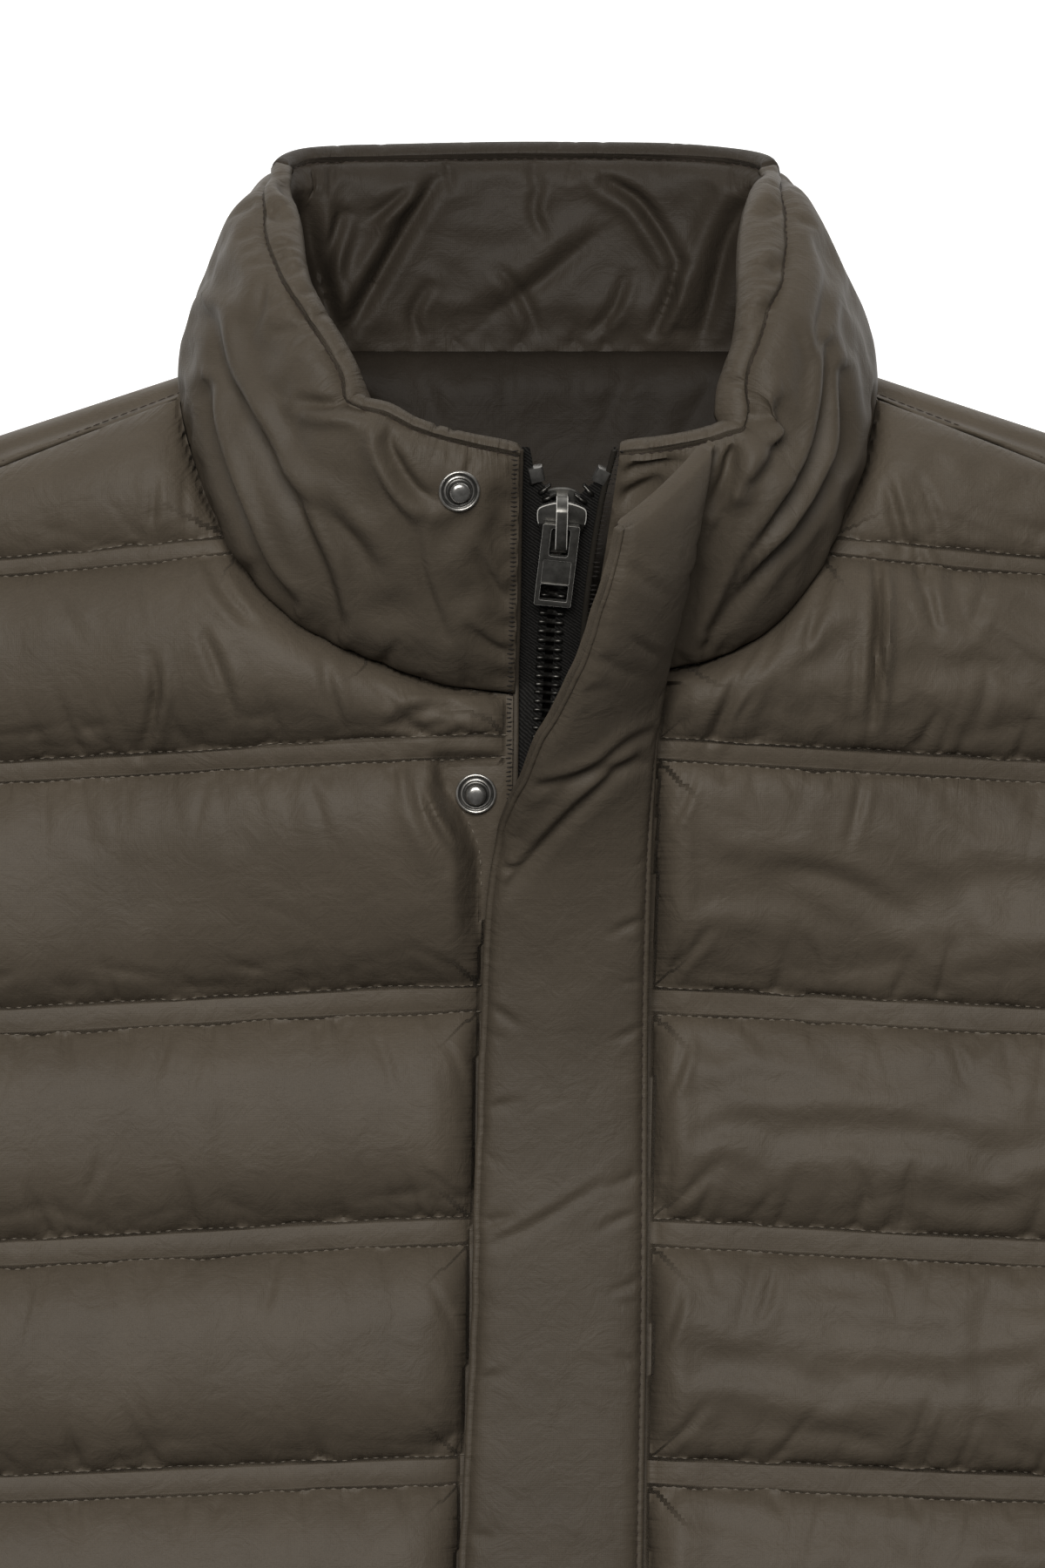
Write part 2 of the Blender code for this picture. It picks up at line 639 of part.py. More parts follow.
UPPER_COLS = (0.0, 0.08, 0.28, 0.72, 0.92, 1.0)
UNDER_COLS = (0.0, 0.10, 0.5, 0.90, 1.0)
for side, word in ((-1, "right"), (1, "left")):
    edge = [p for p in front_edges[side] if UNDERARM_Y - 0.5 < p[1] < 262.0]
    armhole = [SHOULDER_TIP] + [(abs(p[0]) + 0.3, p[1]) for p in edge]
    rows = sleeve_rows(armhole, True)
    upper, lower = sleeve_surfaces(side, rows, UPPER_COLS, True, 243.0)
    flip = slice(None, None, -1) if side > 0 else slice(None)
    slab(f"sleeve_{word}_upper", upper[:, flip], lower[:, flip], SHELL)
    rows = sleeve_rows(BACK_ARMHOLE, False)
    upper, lower = sleeve_surfaces(side, rows, UNDER_COLS, False, 243.0)
    slab(f"sleeve_{word}_under", upper[:, flip], lower[:, flip], SHELL)


# The collar, an outer and an inner layer on either side of its middle surface.
middle, normal, thick = collar_grid(SECTIONS, LEVELS)
slab("collar_outer", middle + normal * thick[..., None], middle + normal * 0.15, SHELL)
slab("collar_inner", middle - normal * 0.15, middle - normal * thick[..., None], LINING_MAT)


# The lining inside the neck.
LINING = (  # y, half_width
    (314.5, 84.0),
    (300.0, 91.0),
    (260.0, 92.0),
    (215.0, 92.0),
    (172.0, 90.0),
)
lining = np.array([[(w * u, y, 0.0) for u in np.linspace(-1, 1, 7)] for y, w in LINING])
below = BACK_TOP + SEAM_GAP
lower = lining + np.array([0.0, 0.0, below])
slab("lining_back", lower + np.array([0.0, 0.0, LINING_T]), lower, LINING_MAT)


# ---------------------------------------------------------------- the storm flap
def flap_grid(rows, cols):
    n = len(FLAP)
    at = np.asarray(rows, float)
    k = np.arange(n)
    sewn = np.stack([smooth_curve(at, k, column(FLAP, c)) for c in (0, 1, 2)], -1)
    free = np.stack([smooth_curve(at, k, column(FLAP, c)) for c in (3, 4, 5)], -1)
    bow = np.interp(at, k, column(FLAP, 6))
    along = np.gradient(0.5 * (sewn + free), axis=0)
    out = np.cross(along, free - sewn)
    out /= np.linalg.norm(out, axis=1)[:, None]
    out *= np.sign(out[:, 2])[:, None]
    t = np.asarray(cols)[None, :, None]
    low = (1 - t) * sewn[:, None] + t * free[:, None]
    low = low + (4 * t * (1 - t)) * (bow[:, None] * out)[:, None]
    u = np.asarray(cols)
    swell = np.minimum(dome(u * 52.0, 12.0), dome((1 - u) * 52.0, 9.0))
    ends = ease(np.minimum(at, n - 1 - at) / 0.8)
    t_up = FLAP_EDGE_T + (FLAP_T - FLAP_EDGE_T) * swell[None] * (0.15 + 0.85 * ends[:, None])
    return low + out[:, None] * t_up[..., None], low


FLAP_ROWS = sorted(set(list(range(len(FLAP))) + [0.4, 10.5, 11.5, 12.5, 13.5, 14.5, 15.5, 16.5]))
FLAP_COLS = (0.0, 0.14, 0.5, 0.86, 1.0)
upper, lower = flap_grid(FLAP_ROWS, FLAP_COLS)
slab("storm_flap", upper, lower, SHELL)


# ---------------------------------------------------------------- the zip
ROW_LEFT = (  # y, how far each row of teeth stands from the zip's middle line: right row, left row
    (288.5, 5.9, 10.6),
    (286.0, 4.9, 8.6),
    (282.5, 3.3, 4.4),
    (279.5, 2.0, 2.2),
    (275.5, 0.9, 0.9),
    (271.0, 0.3, 0.3),
    (262.0, 0.15, 0.15),
    (-379.0, 0.15, 0.15),
)
ZIP_SLOPE = 0.515  # the zip's climb up the collar


def zip_z(y):
    """Height of the middle of the tooth chain."""
    flat = FRONT_BASE + 2.6 + neck_lift(zip_x(np.minimum(y, NECK_Y)), np.minimum(y, NECK_Y))
    return flat + np.maximum(np.asarray(y, float) - NECK_Y, 0.0) * ZIP_SLOPE


ZIP_ROWS = (294.0, 288.5, 286.0, 282.5, 279.5, 275.5, 271.0, 262.0, 245.0, 228.5, 225.5, 215.0, 200.0, 180.0, 160.0, 140.0, 115.0, 60.0, -40.0, -200.0, -379.0)
for side, word, k in ((-1, "right", 1), (1, "left", 2)):
    upper, lower = [], []
    for y in ZIP_ROWS:
        mid = float(zip_x(y))
        row = float(np.interp(y, column(ROW_LEFT, 0)[::-1], column(ROW_LEFT, k)[::-1]))
        start = mid + side * row
        edge = float(edge_x(side, y)) - side * (SEAM_GAP if y < NECK_Y else NECK_GAP)
        wide = side * (edge - start)
        bead = min(CHAIN_HALF, wide - 0.7) if y < 288.0 else 0.55 * wide
        xs = start + side * np.array([0.0, 0.35 * bead, 0.65 * bead, bead, bead + 0.3, wide])
        half = np.array([CHAIN_T / 2] * 4 + [TAPE_T / 2] * 2)
        if y > 287.0:
            half = np.minimum(half, TAPE_T / 2)
        z = float(zip_z(y))
        upper.append([(x, y, z + h) for x, h in zip(xs, half)])
        lower.append([(x, y, z - h) for x, h in zip(xs, half)])
    slab(f"zip_tape_{word}", upper, lower, TAPE)

# The slider and its pull share a frame: X across the zip, Y up along it, Z out of it.
lean = math.radians(-3.0)
along = Vector((math.sin(-lean) * 0.6, math.cos(lean), ZIP_SLOPE)).normalized()
across = Vector((1.0, 0.0, 0.0))
across = (across - along * across.dot(along)).normalized()
normal_z = across.cross(along)
SLIDER_AT = Vector((float(zip_x(SLIDER_Y)), SLIDER_Y, float(zip_z(SLIDER_Y)))) * MM
SLIDER_FRAME = Matrix.Translation(SLIDER_AT) @ Matrix((across, along, normal_z)).transposed().to_4x4()


def extrude_outline(bm, outline, z0, z1):
    """A flat plate: a closed outline in X and Y between two heights."""
    low = [bm.verts.new((x * MM, y * MM, z0 * MM)) for x, y in outline]
    high = [bm.verts.new((x * MM, y * MM, z1 * MM)) for x, y in outline]
    bm.faces.new(low[::-1])
    bm.faces.new(high)
    for i in range(len(outline)):
        j = (i + 1) % len(outline)
        bm.faces.new((low[i], low[j], high[j], high[i]))


def place(obj, frame):
    obj.matrix_world = frame
    return obj


def joined(name, pieces, material, frame):
    """One solid from several closed ones that meet, by Boolean union."""
    base = None
    for k, build_piece in enumerate(pieces):
        bm = bmesh.new()
        build_piece(bm)
        obj = add_object(name if k == 0 else f"{name}_cut{k}", bm, material)
        if k == 0:
            base = obj
        else:
            obj.hide_render = True
            obj.display_type = "WIRE"
            mod = base.modifiers.new(f"union{k}", "BOOLEAN")
            mod.operation = "UNION"
            mod.object = obj
        place(obj, frame)
    return base


PLATE_GAP = CHAIN_T / 2 + 0.3
PLATE_T = 1.3
HALF_SLIDER = (  # half_width, y
    (2.6, 6.4),
    (4.4, 5.9),
    (7.2, 3.4),
    (7.3, -3.6),
    (5.0, -8.2),
    (4.6, -12.2),
)
outline = [(-x, y) for x, y in HALF_SLIDER][::-1] + [(x, y) for x, y in HALF_SLIDER]
outline = outline[::-1]
BAR_Y = -4.7  # the pull's cross bar, under the bridge
PIN_R = 0.7
PULL_UNDER = 0.3
PIN_Z = PLATE_GAP + PLATE_T + PULL_UNDER + PULL_T / 2
BRIDGE_LOW = PIN_Z + PIN_R + 0.35
BRIDGE_HIGH = BRIDGE_LOW + 1.2


def plate_top(bm):
    extrude_outline(bm, outline, PLATE_GAP, PLATE_GAP + PLATE_T)


def plate_bottom(bm):
    extrude_outline(bm, outline, -PLATE_GAP - PLATE_T, -PLATE_GAP)


def post(bm):
    extrude_outline(bm, [(-0.8, 3.9), (0.8, 3.9), (1.6, 5.6), (-1.6, 5.6)], -PLATE_GAP - 0.4, PLATE_GAP + 0.4)


def bridge(bm):
    low = PLATE_GAP + PLATE_T - 0.4
    side_view = [
        (5.6, low), (5.6, BRIDGE_LOW + 0.4), (4.8, BRIDGE_HIGH), (-9.6, BRIDGE_HIGH), (-11.4, BRIDGE_LOW - 0.6),
        (-11.4, low), (-9.9, low), (-9.9, BRIDGE_LOW - 0.9), (-8.9, BRIDGE_LOW), (3.6, BRIDGE_LOW), (3.6, low),
    ]
    left = [bm.verts.new((-1.8 * MM, y * MM, z * MM)) for y, z in side_view]
    right = [bm.verts.new((1.8 * MM, y * MM, z * MM)) for y, z in side_view]
    bm.faces.new(left)
    bm.faces.new(right[::-1])
    n = len(side_view)
    for i in range(n):
        j = (i + 1) % n
        bm.faces.new((left[i], right[i], right[j], left[j]))


joined("zip_slider", (plate_top, plate_bottom, post, bridge), GUNMETAL, SLIDER_FRAME)

# The pull: a frame with a window that the bridge passes through, a panel, and a second window.
PULL_FRAME = SLIDER_FRAME @ Matrix.Translation(Vector((0.0, BAR_Y, PIN_Z)) * MM)


def pull_ring(bm, outer, holes, z0, z1):
    """A flat plate with windows: the outline filled between its edge and the holes' edges, then given its thickness."""
    loops = [outer] + holes
    edges = []
    for loop in loops:
        verts = [bm.verts.new((x * MM, y * MM, z0 * MM)) for x, y in loop]
        edges += [bm.edges.new((verts[i], verts[(i + 1) % len(verts)])) for i in range(len(verts))]
    bmesh.ops.triangle_fill(bm, use_beauty=True, use_dissolve=False, edges=edges)
    faces = [f for f in bm.faces]
    out = bmesh.ops.extrude_face_region(bm, geom=faces)
    verts = [g for g in out["geom"] if isinstance(g, bmesh.types.BMVert)]
    bmesh.ops.translate(bm, vec=(0.0, 0.0, (z1 - z0) * MM), verts=verts)


def pull_body(bm):
    half, tip = PULL_WIDTH / 2, -PULL_LENGTH
    outer = [(-half + 0.9, 0.7), (half - 0.9, 0.7), (half - 0.2, 0.2), (half, -4.0), (half, tip + 0.8),
             (half - 0.8, tip), (-half + 0.8, tip), (-half, tip + 0.8), (-half, -4.0), (-half + 0.2, 0.2)]
    window = [(-2.9, -0.7), (2.9, -0.7), (2.9, -9.8), (-2.9, -9.8)]
    lower_window = [(-4.0, tip + 7.2), (4.0, tip + 7.2), (4.0, tip + 1.7), (-4.0, tip + 1.7)]
    pull_ring(bm, outer, [window, lower_window], -PULL_T / 2, PULL_T / 2)


bm = bmesh.new()
pull_body(bm)
place(add_object("zip_pull", bm, GUNMETAL), PULL_FRAME)


# ---------------------------------------------------------------- stops and studs
def turned(name, profile, material, frame, steps=24):
    """A solid turned about Z from a profile of (radius, height), its first and last points on the axis."""
    bm = bmesh.new()
    rings = []
    for r, h in profile:
        if r < 1e-6:
            rings.append([bm.verts.new((0, 0, h * MM))])
        else:
            rings.append([
                bm.verts.new((r * MM * math.cos(2 * math.pi * i / steps), r * MM * math.sin(2 * math.pi * i / steps), h * MM))
                for i in range(steps)
            ])
    for a, b in zip(rings[:-1], rings[1:]):
        for i in range(steps):
            j = (i + 1) % steps
            if len(a) == 1:
                bm.faces.new((a[0], b[i], b[j]))
            elif len(b) == 1:
                bm.faces.new((a[i], b[0], a[j]))
            else:
                bm.faces.new((a[i], b[i], b[j], a[j]))
    return place(add_object(name, bm, material), frame)


def frame_on(obj, x, y, radius):
    """A frame lying on a panel's upper face, its Z out of it, just clear of every point under it."""
    depsgraph = bpy.context.evaluated_depsgraph_get()
    tree = BVHTree.FromObject(obj, depsgraph)
    down = Vector((0, 0, -1))
    pts = []
    for r in (0.0, 0.5 * radius, radius):
        for k in range(12):
            a = 2 * math.pi * k / 12
            hit = tree.ray_cast(Vector(((x + r * math.cos(a)) * MM, (y + r * math.sin(a)) * MM, 1.0)), down)[0]
            if hit is not None:
                pts.append(np.array(hit) / MM)
    pts = np.array(pts)
    centre = pts.mean(0)
    _, _, v = np.linalg.svd(pts - centre)
    n = v[2] * np.sign(v[2][2])
    rise = ((pts - centre) @ n).max() + 0.25
    origin = np.array([x, y, 0.0])
    origin[2] = centre[2] - ((origin - centre)[:2] @ n[:2]) / n[2]
    origin = origin + n * rise
    up = Vector(n)
    side_x = (Vector((1, 0, 0)) - up * up.x).normalized()
    side_y = up.cross(side_x)
    return Matrix.Translation(Vector(origin) * MM) @ Matrix((side_x, side_y, up)).transposed().to_4x4()


STUD = (  # radius, height
    (0.0, 0.0),
    (STUD_FLANGE_R - 0.3, 0.0),
    (STUD_FLANGE_R, 0.35),
    (STUD_FLANGE_R - 0.4, 1.15),
    (4.1, 1.35),
    (3.4, 0.95),
    (2.1, 1.25),
    (1.95, 2.6),
    (STUD_POST_R, 3.4),
    (2.1, 4.3),
    (0.0, STUD_HEIGHT),
)
bpy.context.view_layer.update()
turned("stud_collar", STUD, GUNMETAL, frame_on(bpy.data.objects["collar_outer"], *STUD_COLLAR, STUD_FLANGE_R))
turned("stud_front", STUD, GUNMETAL, frame_on(bpy.data.objects["front_right"], *STUD_FRONT, STUD_FLANGE_R))
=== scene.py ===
"""The padded jacket's looks: quilted nylon panels settled by a small cloth solver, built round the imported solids."""

import json
import math
import time

import bmesh
import bpy
import numpy as np
from mathutils import Matrix, Vector
from mathutils.bvhtree import BVHTree
from mathutils.geometry import delaunay_2d_cdt

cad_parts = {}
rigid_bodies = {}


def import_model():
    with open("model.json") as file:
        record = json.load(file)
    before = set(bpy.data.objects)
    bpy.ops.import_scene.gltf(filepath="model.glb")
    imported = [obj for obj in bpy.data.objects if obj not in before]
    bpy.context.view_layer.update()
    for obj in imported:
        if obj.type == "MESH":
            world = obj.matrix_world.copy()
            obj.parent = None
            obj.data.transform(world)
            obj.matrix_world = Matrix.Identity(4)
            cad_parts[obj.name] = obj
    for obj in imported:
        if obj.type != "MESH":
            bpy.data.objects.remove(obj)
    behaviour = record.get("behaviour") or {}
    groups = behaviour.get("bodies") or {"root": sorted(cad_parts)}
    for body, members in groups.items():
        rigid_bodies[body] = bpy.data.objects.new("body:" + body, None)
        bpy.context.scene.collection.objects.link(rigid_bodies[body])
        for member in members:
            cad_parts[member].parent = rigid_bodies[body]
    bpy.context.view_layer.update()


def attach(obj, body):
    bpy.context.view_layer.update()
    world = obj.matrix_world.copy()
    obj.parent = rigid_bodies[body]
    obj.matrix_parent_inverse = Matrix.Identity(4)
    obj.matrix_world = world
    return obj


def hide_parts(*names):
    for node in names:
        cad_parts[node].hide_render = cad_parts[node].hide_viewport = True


T0 = time.time()
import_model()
MM = 0.001
F = np.float32


def say(*words):
    print("[jacket %5.1fs]" % (time.time() - T0), *words)


# ================================================================ the cut, in millimetres, as the solids have it
BACK_TOP = 23.7
FRONT_BASE = 24.3
EDGE_T = 4.0
STITCH_T = 9.0
CROWN_T = 17.0
STRIP_T = 6.6
SEAM_GAP = 0.3
NECK_GAP = 1.0
NECK_LIFT_REACH = 115.0
HEM_Y = -384.9
NECK_Y = 224.0

QUILT = (  # upper, lower, drop
    (275.0, 269.0, 12.5),
    (209.2, 202.0, 7.5),
    (134.3, 125.7, 7.0),
    (64.4, 55.6, 7.0),
    (-7.7, -16.7, 5.5),
    (-79.5, -88.3, 4.5),
    (-151.5, -160.3, 3.5),
    (-223.5, -232.3, 2.5),
    (-295.5, -304.3, 1.5),
    (-362.0, -364.0, 0.5),
)
DROP_HALF = 157.0

OUTLINE = (  # y, x_front, x_back
    (318.0, 86.0, 104.0),
    (310.9, 104.0, 126.0),
    (290.3, 157.3, 189.0),
    (275.0, 197.0, 235.0),
    (260.0, 235.0, 235.0),
    (220.0, 227.0, 227.0),
    (170.0, 223.0, 223.0),
    (120.0, 229.0, 229.0),
    (75.0, 247.0, 247.0),
    (45.0, 270.0, 270.0),
    (30.0, 287.0, 287.0),
    (-100.0, 284.0, 284.0),
    (-250.0, 281.0, 281.0),
    (-384.9, 279.0, 279.0),
)
UNDERARM_Y = 30.0
SHOULDER_TIP = (235.0, 275.0)

ZIP_LINE = (  # y, x_zip, x_right_edge, x_left_edge
    (296.0, 12.5, -2.4, 27.3),
    (277.0, 10.4, -2.8, 22.5),
    (245.0, 7.3, -3.3, 18.0),
    (227.0, 6.3, -3.8, 16.5),
    (202.0, 4.9, -4.0, 14.0),
    (168.0, 2.9, -4.8, 11.0),
    (-40.0, -1.3, -7.4, 6.8),
    (-384.9, -4.0, -10.1, 4.1),
)

COLLAR = (  # bx, by, bz, tx, ty, tz, bow, half
    (-3.6, 221.9, 56.0, -2.5, 291.5, 92.0, 2.0, 3.6),
    (-25.5, 225.6, 56.5, -17.0, 298.4, 95.0, 4.0, 9.0),
    (-46.8, 233.9, 57.0, -33.0, 301.5, 97.0, 5.0, 10.5),
    (-66.3, 244.3, 55.0, -46.0, 306.2, 97.0, 5.0, 11.0),
    (-82.4, 259.4, 52.0, -54.6, 320.5, 94.0, 5.0, 11.0),
    (-92.3, 275.0, 48.0, -61.1, 333.5, 88.0, 5.0, 11.0),
    (-98.8, 290.6, 44.0, -65.5, 346.5, 78.0, 5.0, 11.0),
    (-102.7, 304.9, 41.0, -67.6, 360.8, 64.0, 4.0, 11.0),
    (-103.2, 315.3, 35.0, -66.0, 372.5, 46.0, 3.0, 11.0),
    (-96.2, 322.3, 25.0, -60.0, 379.0, 30.0, 1.5, 10.0),
    (-74.1, 324.5, 14.5, -45.5, 382.2, 17.0, 0.5, 10.0),
    (-37.7, 325.2, 12.6, -22.1, 384.2, 13.0, 0.0, 10.5),
    (0.0, 325.2, 12.6, 0.0, 384.9, 12.5, 0.0, 10.5),
    (37.7, 325.0, 12.6, 24.7, 384.2, 13.0, 0.0, 10.5),
    (74.1, 324.0, 14.5, 50.7, 382.5, 17.0, 0.5, 10.0),
    (96.2, 321.0, 25.0, 68.4, 379.5, 30.0, 1.5, 10.0),
    (103.5, 313.0, 35.0, 72.5, 372.0, 46.0, 3.0, 11.0),
    (103.0, 302.0, 41.0, 70.0, 360.0, 64.0, 4.0, 11.0),
    (99.3, 288.0, 44.0, 66.5, 346.5, 78.0, 5.0, 11.0),
    (93.3, 273.7, 48.0, 64.0, 332.2, 88.0, 5.0, 11.0),
    (84.5, 259.4, 52.0, 60.6, 318.0, 94.0, 5.0, 11.0),
    (71.5, 243.3, 55.0, 55.5, 306.2, 97.0, 5.0, 11.0),
    (56.0, 233.4, 57.0, 48.5, 299.5, 97.0, 1.5, 10.0),
    (35.5, 228.0, 57.0, 38.2, 296.3, 95.0, -3.0, 6.0),
    (17.4, 226.8, 57.0, 27.3, 295.0, 92.0, -1.5, 3.6),
)

FLAP = (  # sx, sy, sz, fx, fy, fz, bow
    (53.3, 295.5, 105.0, 25.4, 269.2, 125.0, 2.0),
    (50.0, 280.0, 100.5, 23.6, 261.0, 122.0, 3.5),
    (47.6, 266.0, 94.5, 20.9, 251.7, 119.0, 4.5),
    (44.7, 252.2, 86.0, 16.9, 239.9, 113.0, 5.0),
    (41.6, 238.5, 76.0, 12.7, 228.9, 106.0, 5.0),
    (39.7, 224.8, 68.5, 8.2, 219.3, 97.5, 4.5),
    (38.0, 209.2, 63.0, 2.4, 208.9, 87.5, 4.0),
    (37.6, 196.5, 58.5, -1.5, 198.5, 76.5, 3.5),
    (37.4, 184.0, 54.2, -5.8, 190.0, 66.5, 3.0),
    (37.2, 168.0, 49.5, -9.5, 178.5, 55.0, 2.5),
    (36.9, 150.0, 44.5, -12.0, 160.0, 46.5, 2.0),
    (36.5, 128.0, 38.5, -13.5, 132.0, 38.5, 2.0),
    (36.3, 100.0, 34.0, -14.8, 100.0, 34.0, 2.0),
    (36.0, 30.0, 32.0, -17.0, 30.0, 32.0, 2.0),
    (35.2, -20.0, 32.0, -19.5, -20.0, 32.0, 2.0),
    (34.0, -100.0, 32.0, -23.0, -100.0, 32.0, 2.0),
    (31.5, -240.0, 32.0, -25.5, -240.0, 32.0, 2.0),
    (29.5, -372.0, 32.0, -27.5, -372.0, 32.0, 2.0),
    (29.3, -384.0, 32.0, -27.7, -384.0, 32.0, 1.0),
)

SLEEVE_TILT = math.radians(15.0)
SLEEVE_ORIGIN = (238.0, 268.0)
SLEEVE_QUILT = (  # upper, lower
    (38.0, 47.0),
    (110.0, 119.0),
    (182.0, 191.0),
    (254.0, 263.0),
    (326.0, 335.0),
    (398.0, 407.0),
    (470.0, 479.0),
    (542.0, 551.0),
    (626.0, 628.0),
)
SLEEVE_EDGES = (  # down, inner, outer
    (-6.0, -3.0, 10.0),
    (0.0, -5.0, 26.0),
    (15.0, -13.0, 50.0),
    (40.0, -23.0, 79.0),
    (90.0, -40.0, 116.0),
    (140.0, -47.0, 143.0),
    (195.0, -41.0, 163.0),
    (243.0, -14.0, 173.0),
    (300.0, -10.0, 175.0),
    (420.0, 0.0, 165.0),
    (540.0, 9.0, 152.0),
    (655.0, 16.0, 140.0),
)
CUFF = 655.0
SLEEVE_THIN = 0.80
STUD_STRIP = (  # x, y: the padding's edge beside the lower stud
    (-24.5, 204.0),
    (-24.0, 193.0),
    (-19.6, 187.0),
    (-14.6, 176.0),
    (-13.6, 163.0),
    (-13.4, 130.0),
)
STUD_COLLAR = (-20.0, 280.8)
STUD_FRONT = (-15.2, 191.6)


# ================================================================ small tools
def column(table, k):
    return np.array([row[k] for row in table], float)


def smooth_curve(t, xs, ys):
    """A monotone cubic through the rows of a table."""
    xs, ys = np.asarray(xs, float), np.asarray(ys, float)
    if xs[0] > xs[-1]:
        xs, ys = xs[::-1], ys[::-1]
    h, d = np.diff(xs), np.diff(ys) / np.diff(xs)
    m = np.zeros(len(xs))
    both = d[:-1] * d[1:] > 0
    w1, w2 = 2 * h[1:] + h[:-1], h[1:] + 2 * h[:-1]
    inner = np.zeros(len(xs) - 2)
    inner[both] = (w1 + w2)[both] / (w1[both] / d[:-1][both] + w2[both] / d[1:][both])
    m[1:-1] = inner
    m[0], m[-1] = d[0], d[-1]
    t = np.clip(np.asarray(t, float), xs[0], xs[-1])
    k = np.clip(np.searchsorted(xs, t) - 1, 0, len(xs) - 2)
    u = (t - xs[k]) / h[k]
    return (
        (1 + 2 * u) * (1 - u) ** 2 * ys[k]
        + u * (1 - u) ** 2 * h[k] * m[k]
        + u * u * (3 - 2 * u) * ys[k + 1]
        + u * u * (u - 1) * h[k] * m[k + 1]
    )


def spline(t, k, ys):
    """A Catmull-Rom curve through evenly numbered rows."""
    t = np.asarray(t, float)
    n = len(ys)
    i = np.clip(np.floor(t).astype(int), 0, n - 2)
    u = t - i
    p = [ys[np.clip(i + o, 0, n - 1)] for o in (-1, 0, 1, 2)]
    return 0.5 * (
        2 * p[1]
        + (p[2] - p[0]) * u
        + (2 * p[0] - 5 * p[1] + 4 * p[2] - p[3]) * u * u
        + (3 * p[1] - p[0] - 3 * p[2] + p[3]) * u ** 3
    )


def ease(t):
    t = np.clip(t, 0.0, 1.0)
    return t * t * (3 - 2 * t)


def dome(d, reach):
    u = 1 - np.clip(np.asarray(d, float) / reach, 0, 1)
    return np.sqrt(np.maximum(0.0, 1 - u * u))


def nearest(x, y, line, heights=None):
    """(distance, nearest point's x, y and height) from each point to a polyline in plan."""
    x, y = np.asarray(x, float), np.asarray(y, float)
    best = np.full(x.shape, 1e9)
    nx, ny, nz = np.zeros(x.shape), np.zeros(x.shape), np.zeros(x.shape)
    for k in range(len(line) - 1):
        (ax, ay), (bx, by) = line[k][:2], line[k + 1][:2]
        ux, uy = bx - ax, by - ay
        t = np.clip(((x - ax) * ux + (y - ay) * uy) / max(ux * ux + uy * uy, 1e-9), 0, 1)
        qx, qy = ax + t * ux, ay + t * uy
        d = np.hypot(x - qx, y - qy)
        m = d < best
        best = np.where(m, d, best)
        nx, ny = np.where(m, qx, nx), np.where(m, qy, ny)
        if heights is not None:
            nz = np.where(m, heights[k] + t * (heights[k + 1] - heights[k]), nz)
    return best, nx, ny, nz


_lattice = np.random.default_rng(20).normal(size=(257, 257))
_lattice[-1], _lattice[:, -1] = _lattice[0], _lattice[:, 0]


def noise(x, y, cell, seed=0):
    """Smooth value noise over the plane, about -1 to 1, with lumps the size of a cell (a number or a pair)."""
    cx, cy = cell if hasattr(cell, "__len__") else (cell, cell)
    u = np.asarray(x, float) / cx + 17.3 * seed + 500.0
    v = np.asarray(y, float) / cy + 31.7 * seed + 500.0
    i, j = np.floor(u).astype(int), np.floor(v).astype(int)
    fu, fv = u - i, v - j
    fu, fv = fu * fu * fu * (fu * (6 * fu - 15) + 10), fv * fv * fv * (fv * (6 * fv - 15) + 10)
    i, j = i % 256, j % 256
    return (
        (_lattice[i, j] * (1 - fu) + _lattice[i + 1, j] * fu) * (1 - fv)
        + (_lattice[i, j + 1] * (1 - fu) + _lattice[i + 1, j + 1] * fu) * fv
    )


def creases(x, y, table):
    """Height added by the listed creases: each a tapering trough with a low ridge on one or both sides."""
    shape = np.shape(x)
    x, y = np.ravel(x), np.ravel(y)
    out = np.zeros(x.shape)
    for x0, y0, x1, y1, bow, width, depth, ridge in table:
        ux, uy = x1 - x0, y1 - y0
        length = math.hypot(ux, uy)
        ux, uy = ux / length, uy / length
        pad = 5 * width + abs(bow)
        near = (x > min(x0, x1) - pad) & (x < max(x0, x1) + pad) & (y > min(y0, y1) - pad) & (y < max(y0, y1) + pad)
        near = np.nonzero(near)[0]
        if not len(near):
            continue
        dx, dy = x[near] - x0, y[near] - y0
        t = (dx * ux + dy * uy) / length
        tt = np.clip(t, 0, 1)
        s = -dx * uy + dy * ux - 4 * bow * tt * (1 - tt)
        beyond = np.maximum(np.maximum(-t, t - 1), 0) * length
        taper = np.sin(np.pi * np.clip(0.08 + 0.84 * tt, 0, 1)) ** 0.8 * np.exp(-((beyond / (1.5 * width)) ** 2))
        trough = np.exp(-(np.abs(s / width) ** 1.3))
        side = ridge * np.exp(-(((s - 2.0 * width) / (1.25 * width)) ** 2)) + 0.35 * abs(ridge) * np.exp(
            -(((s + 2.0 * width) / (1.25 * width)) ** 2)
        )
        out[near] += depth * taper * (side - trough)
    return out.reshape(shape)


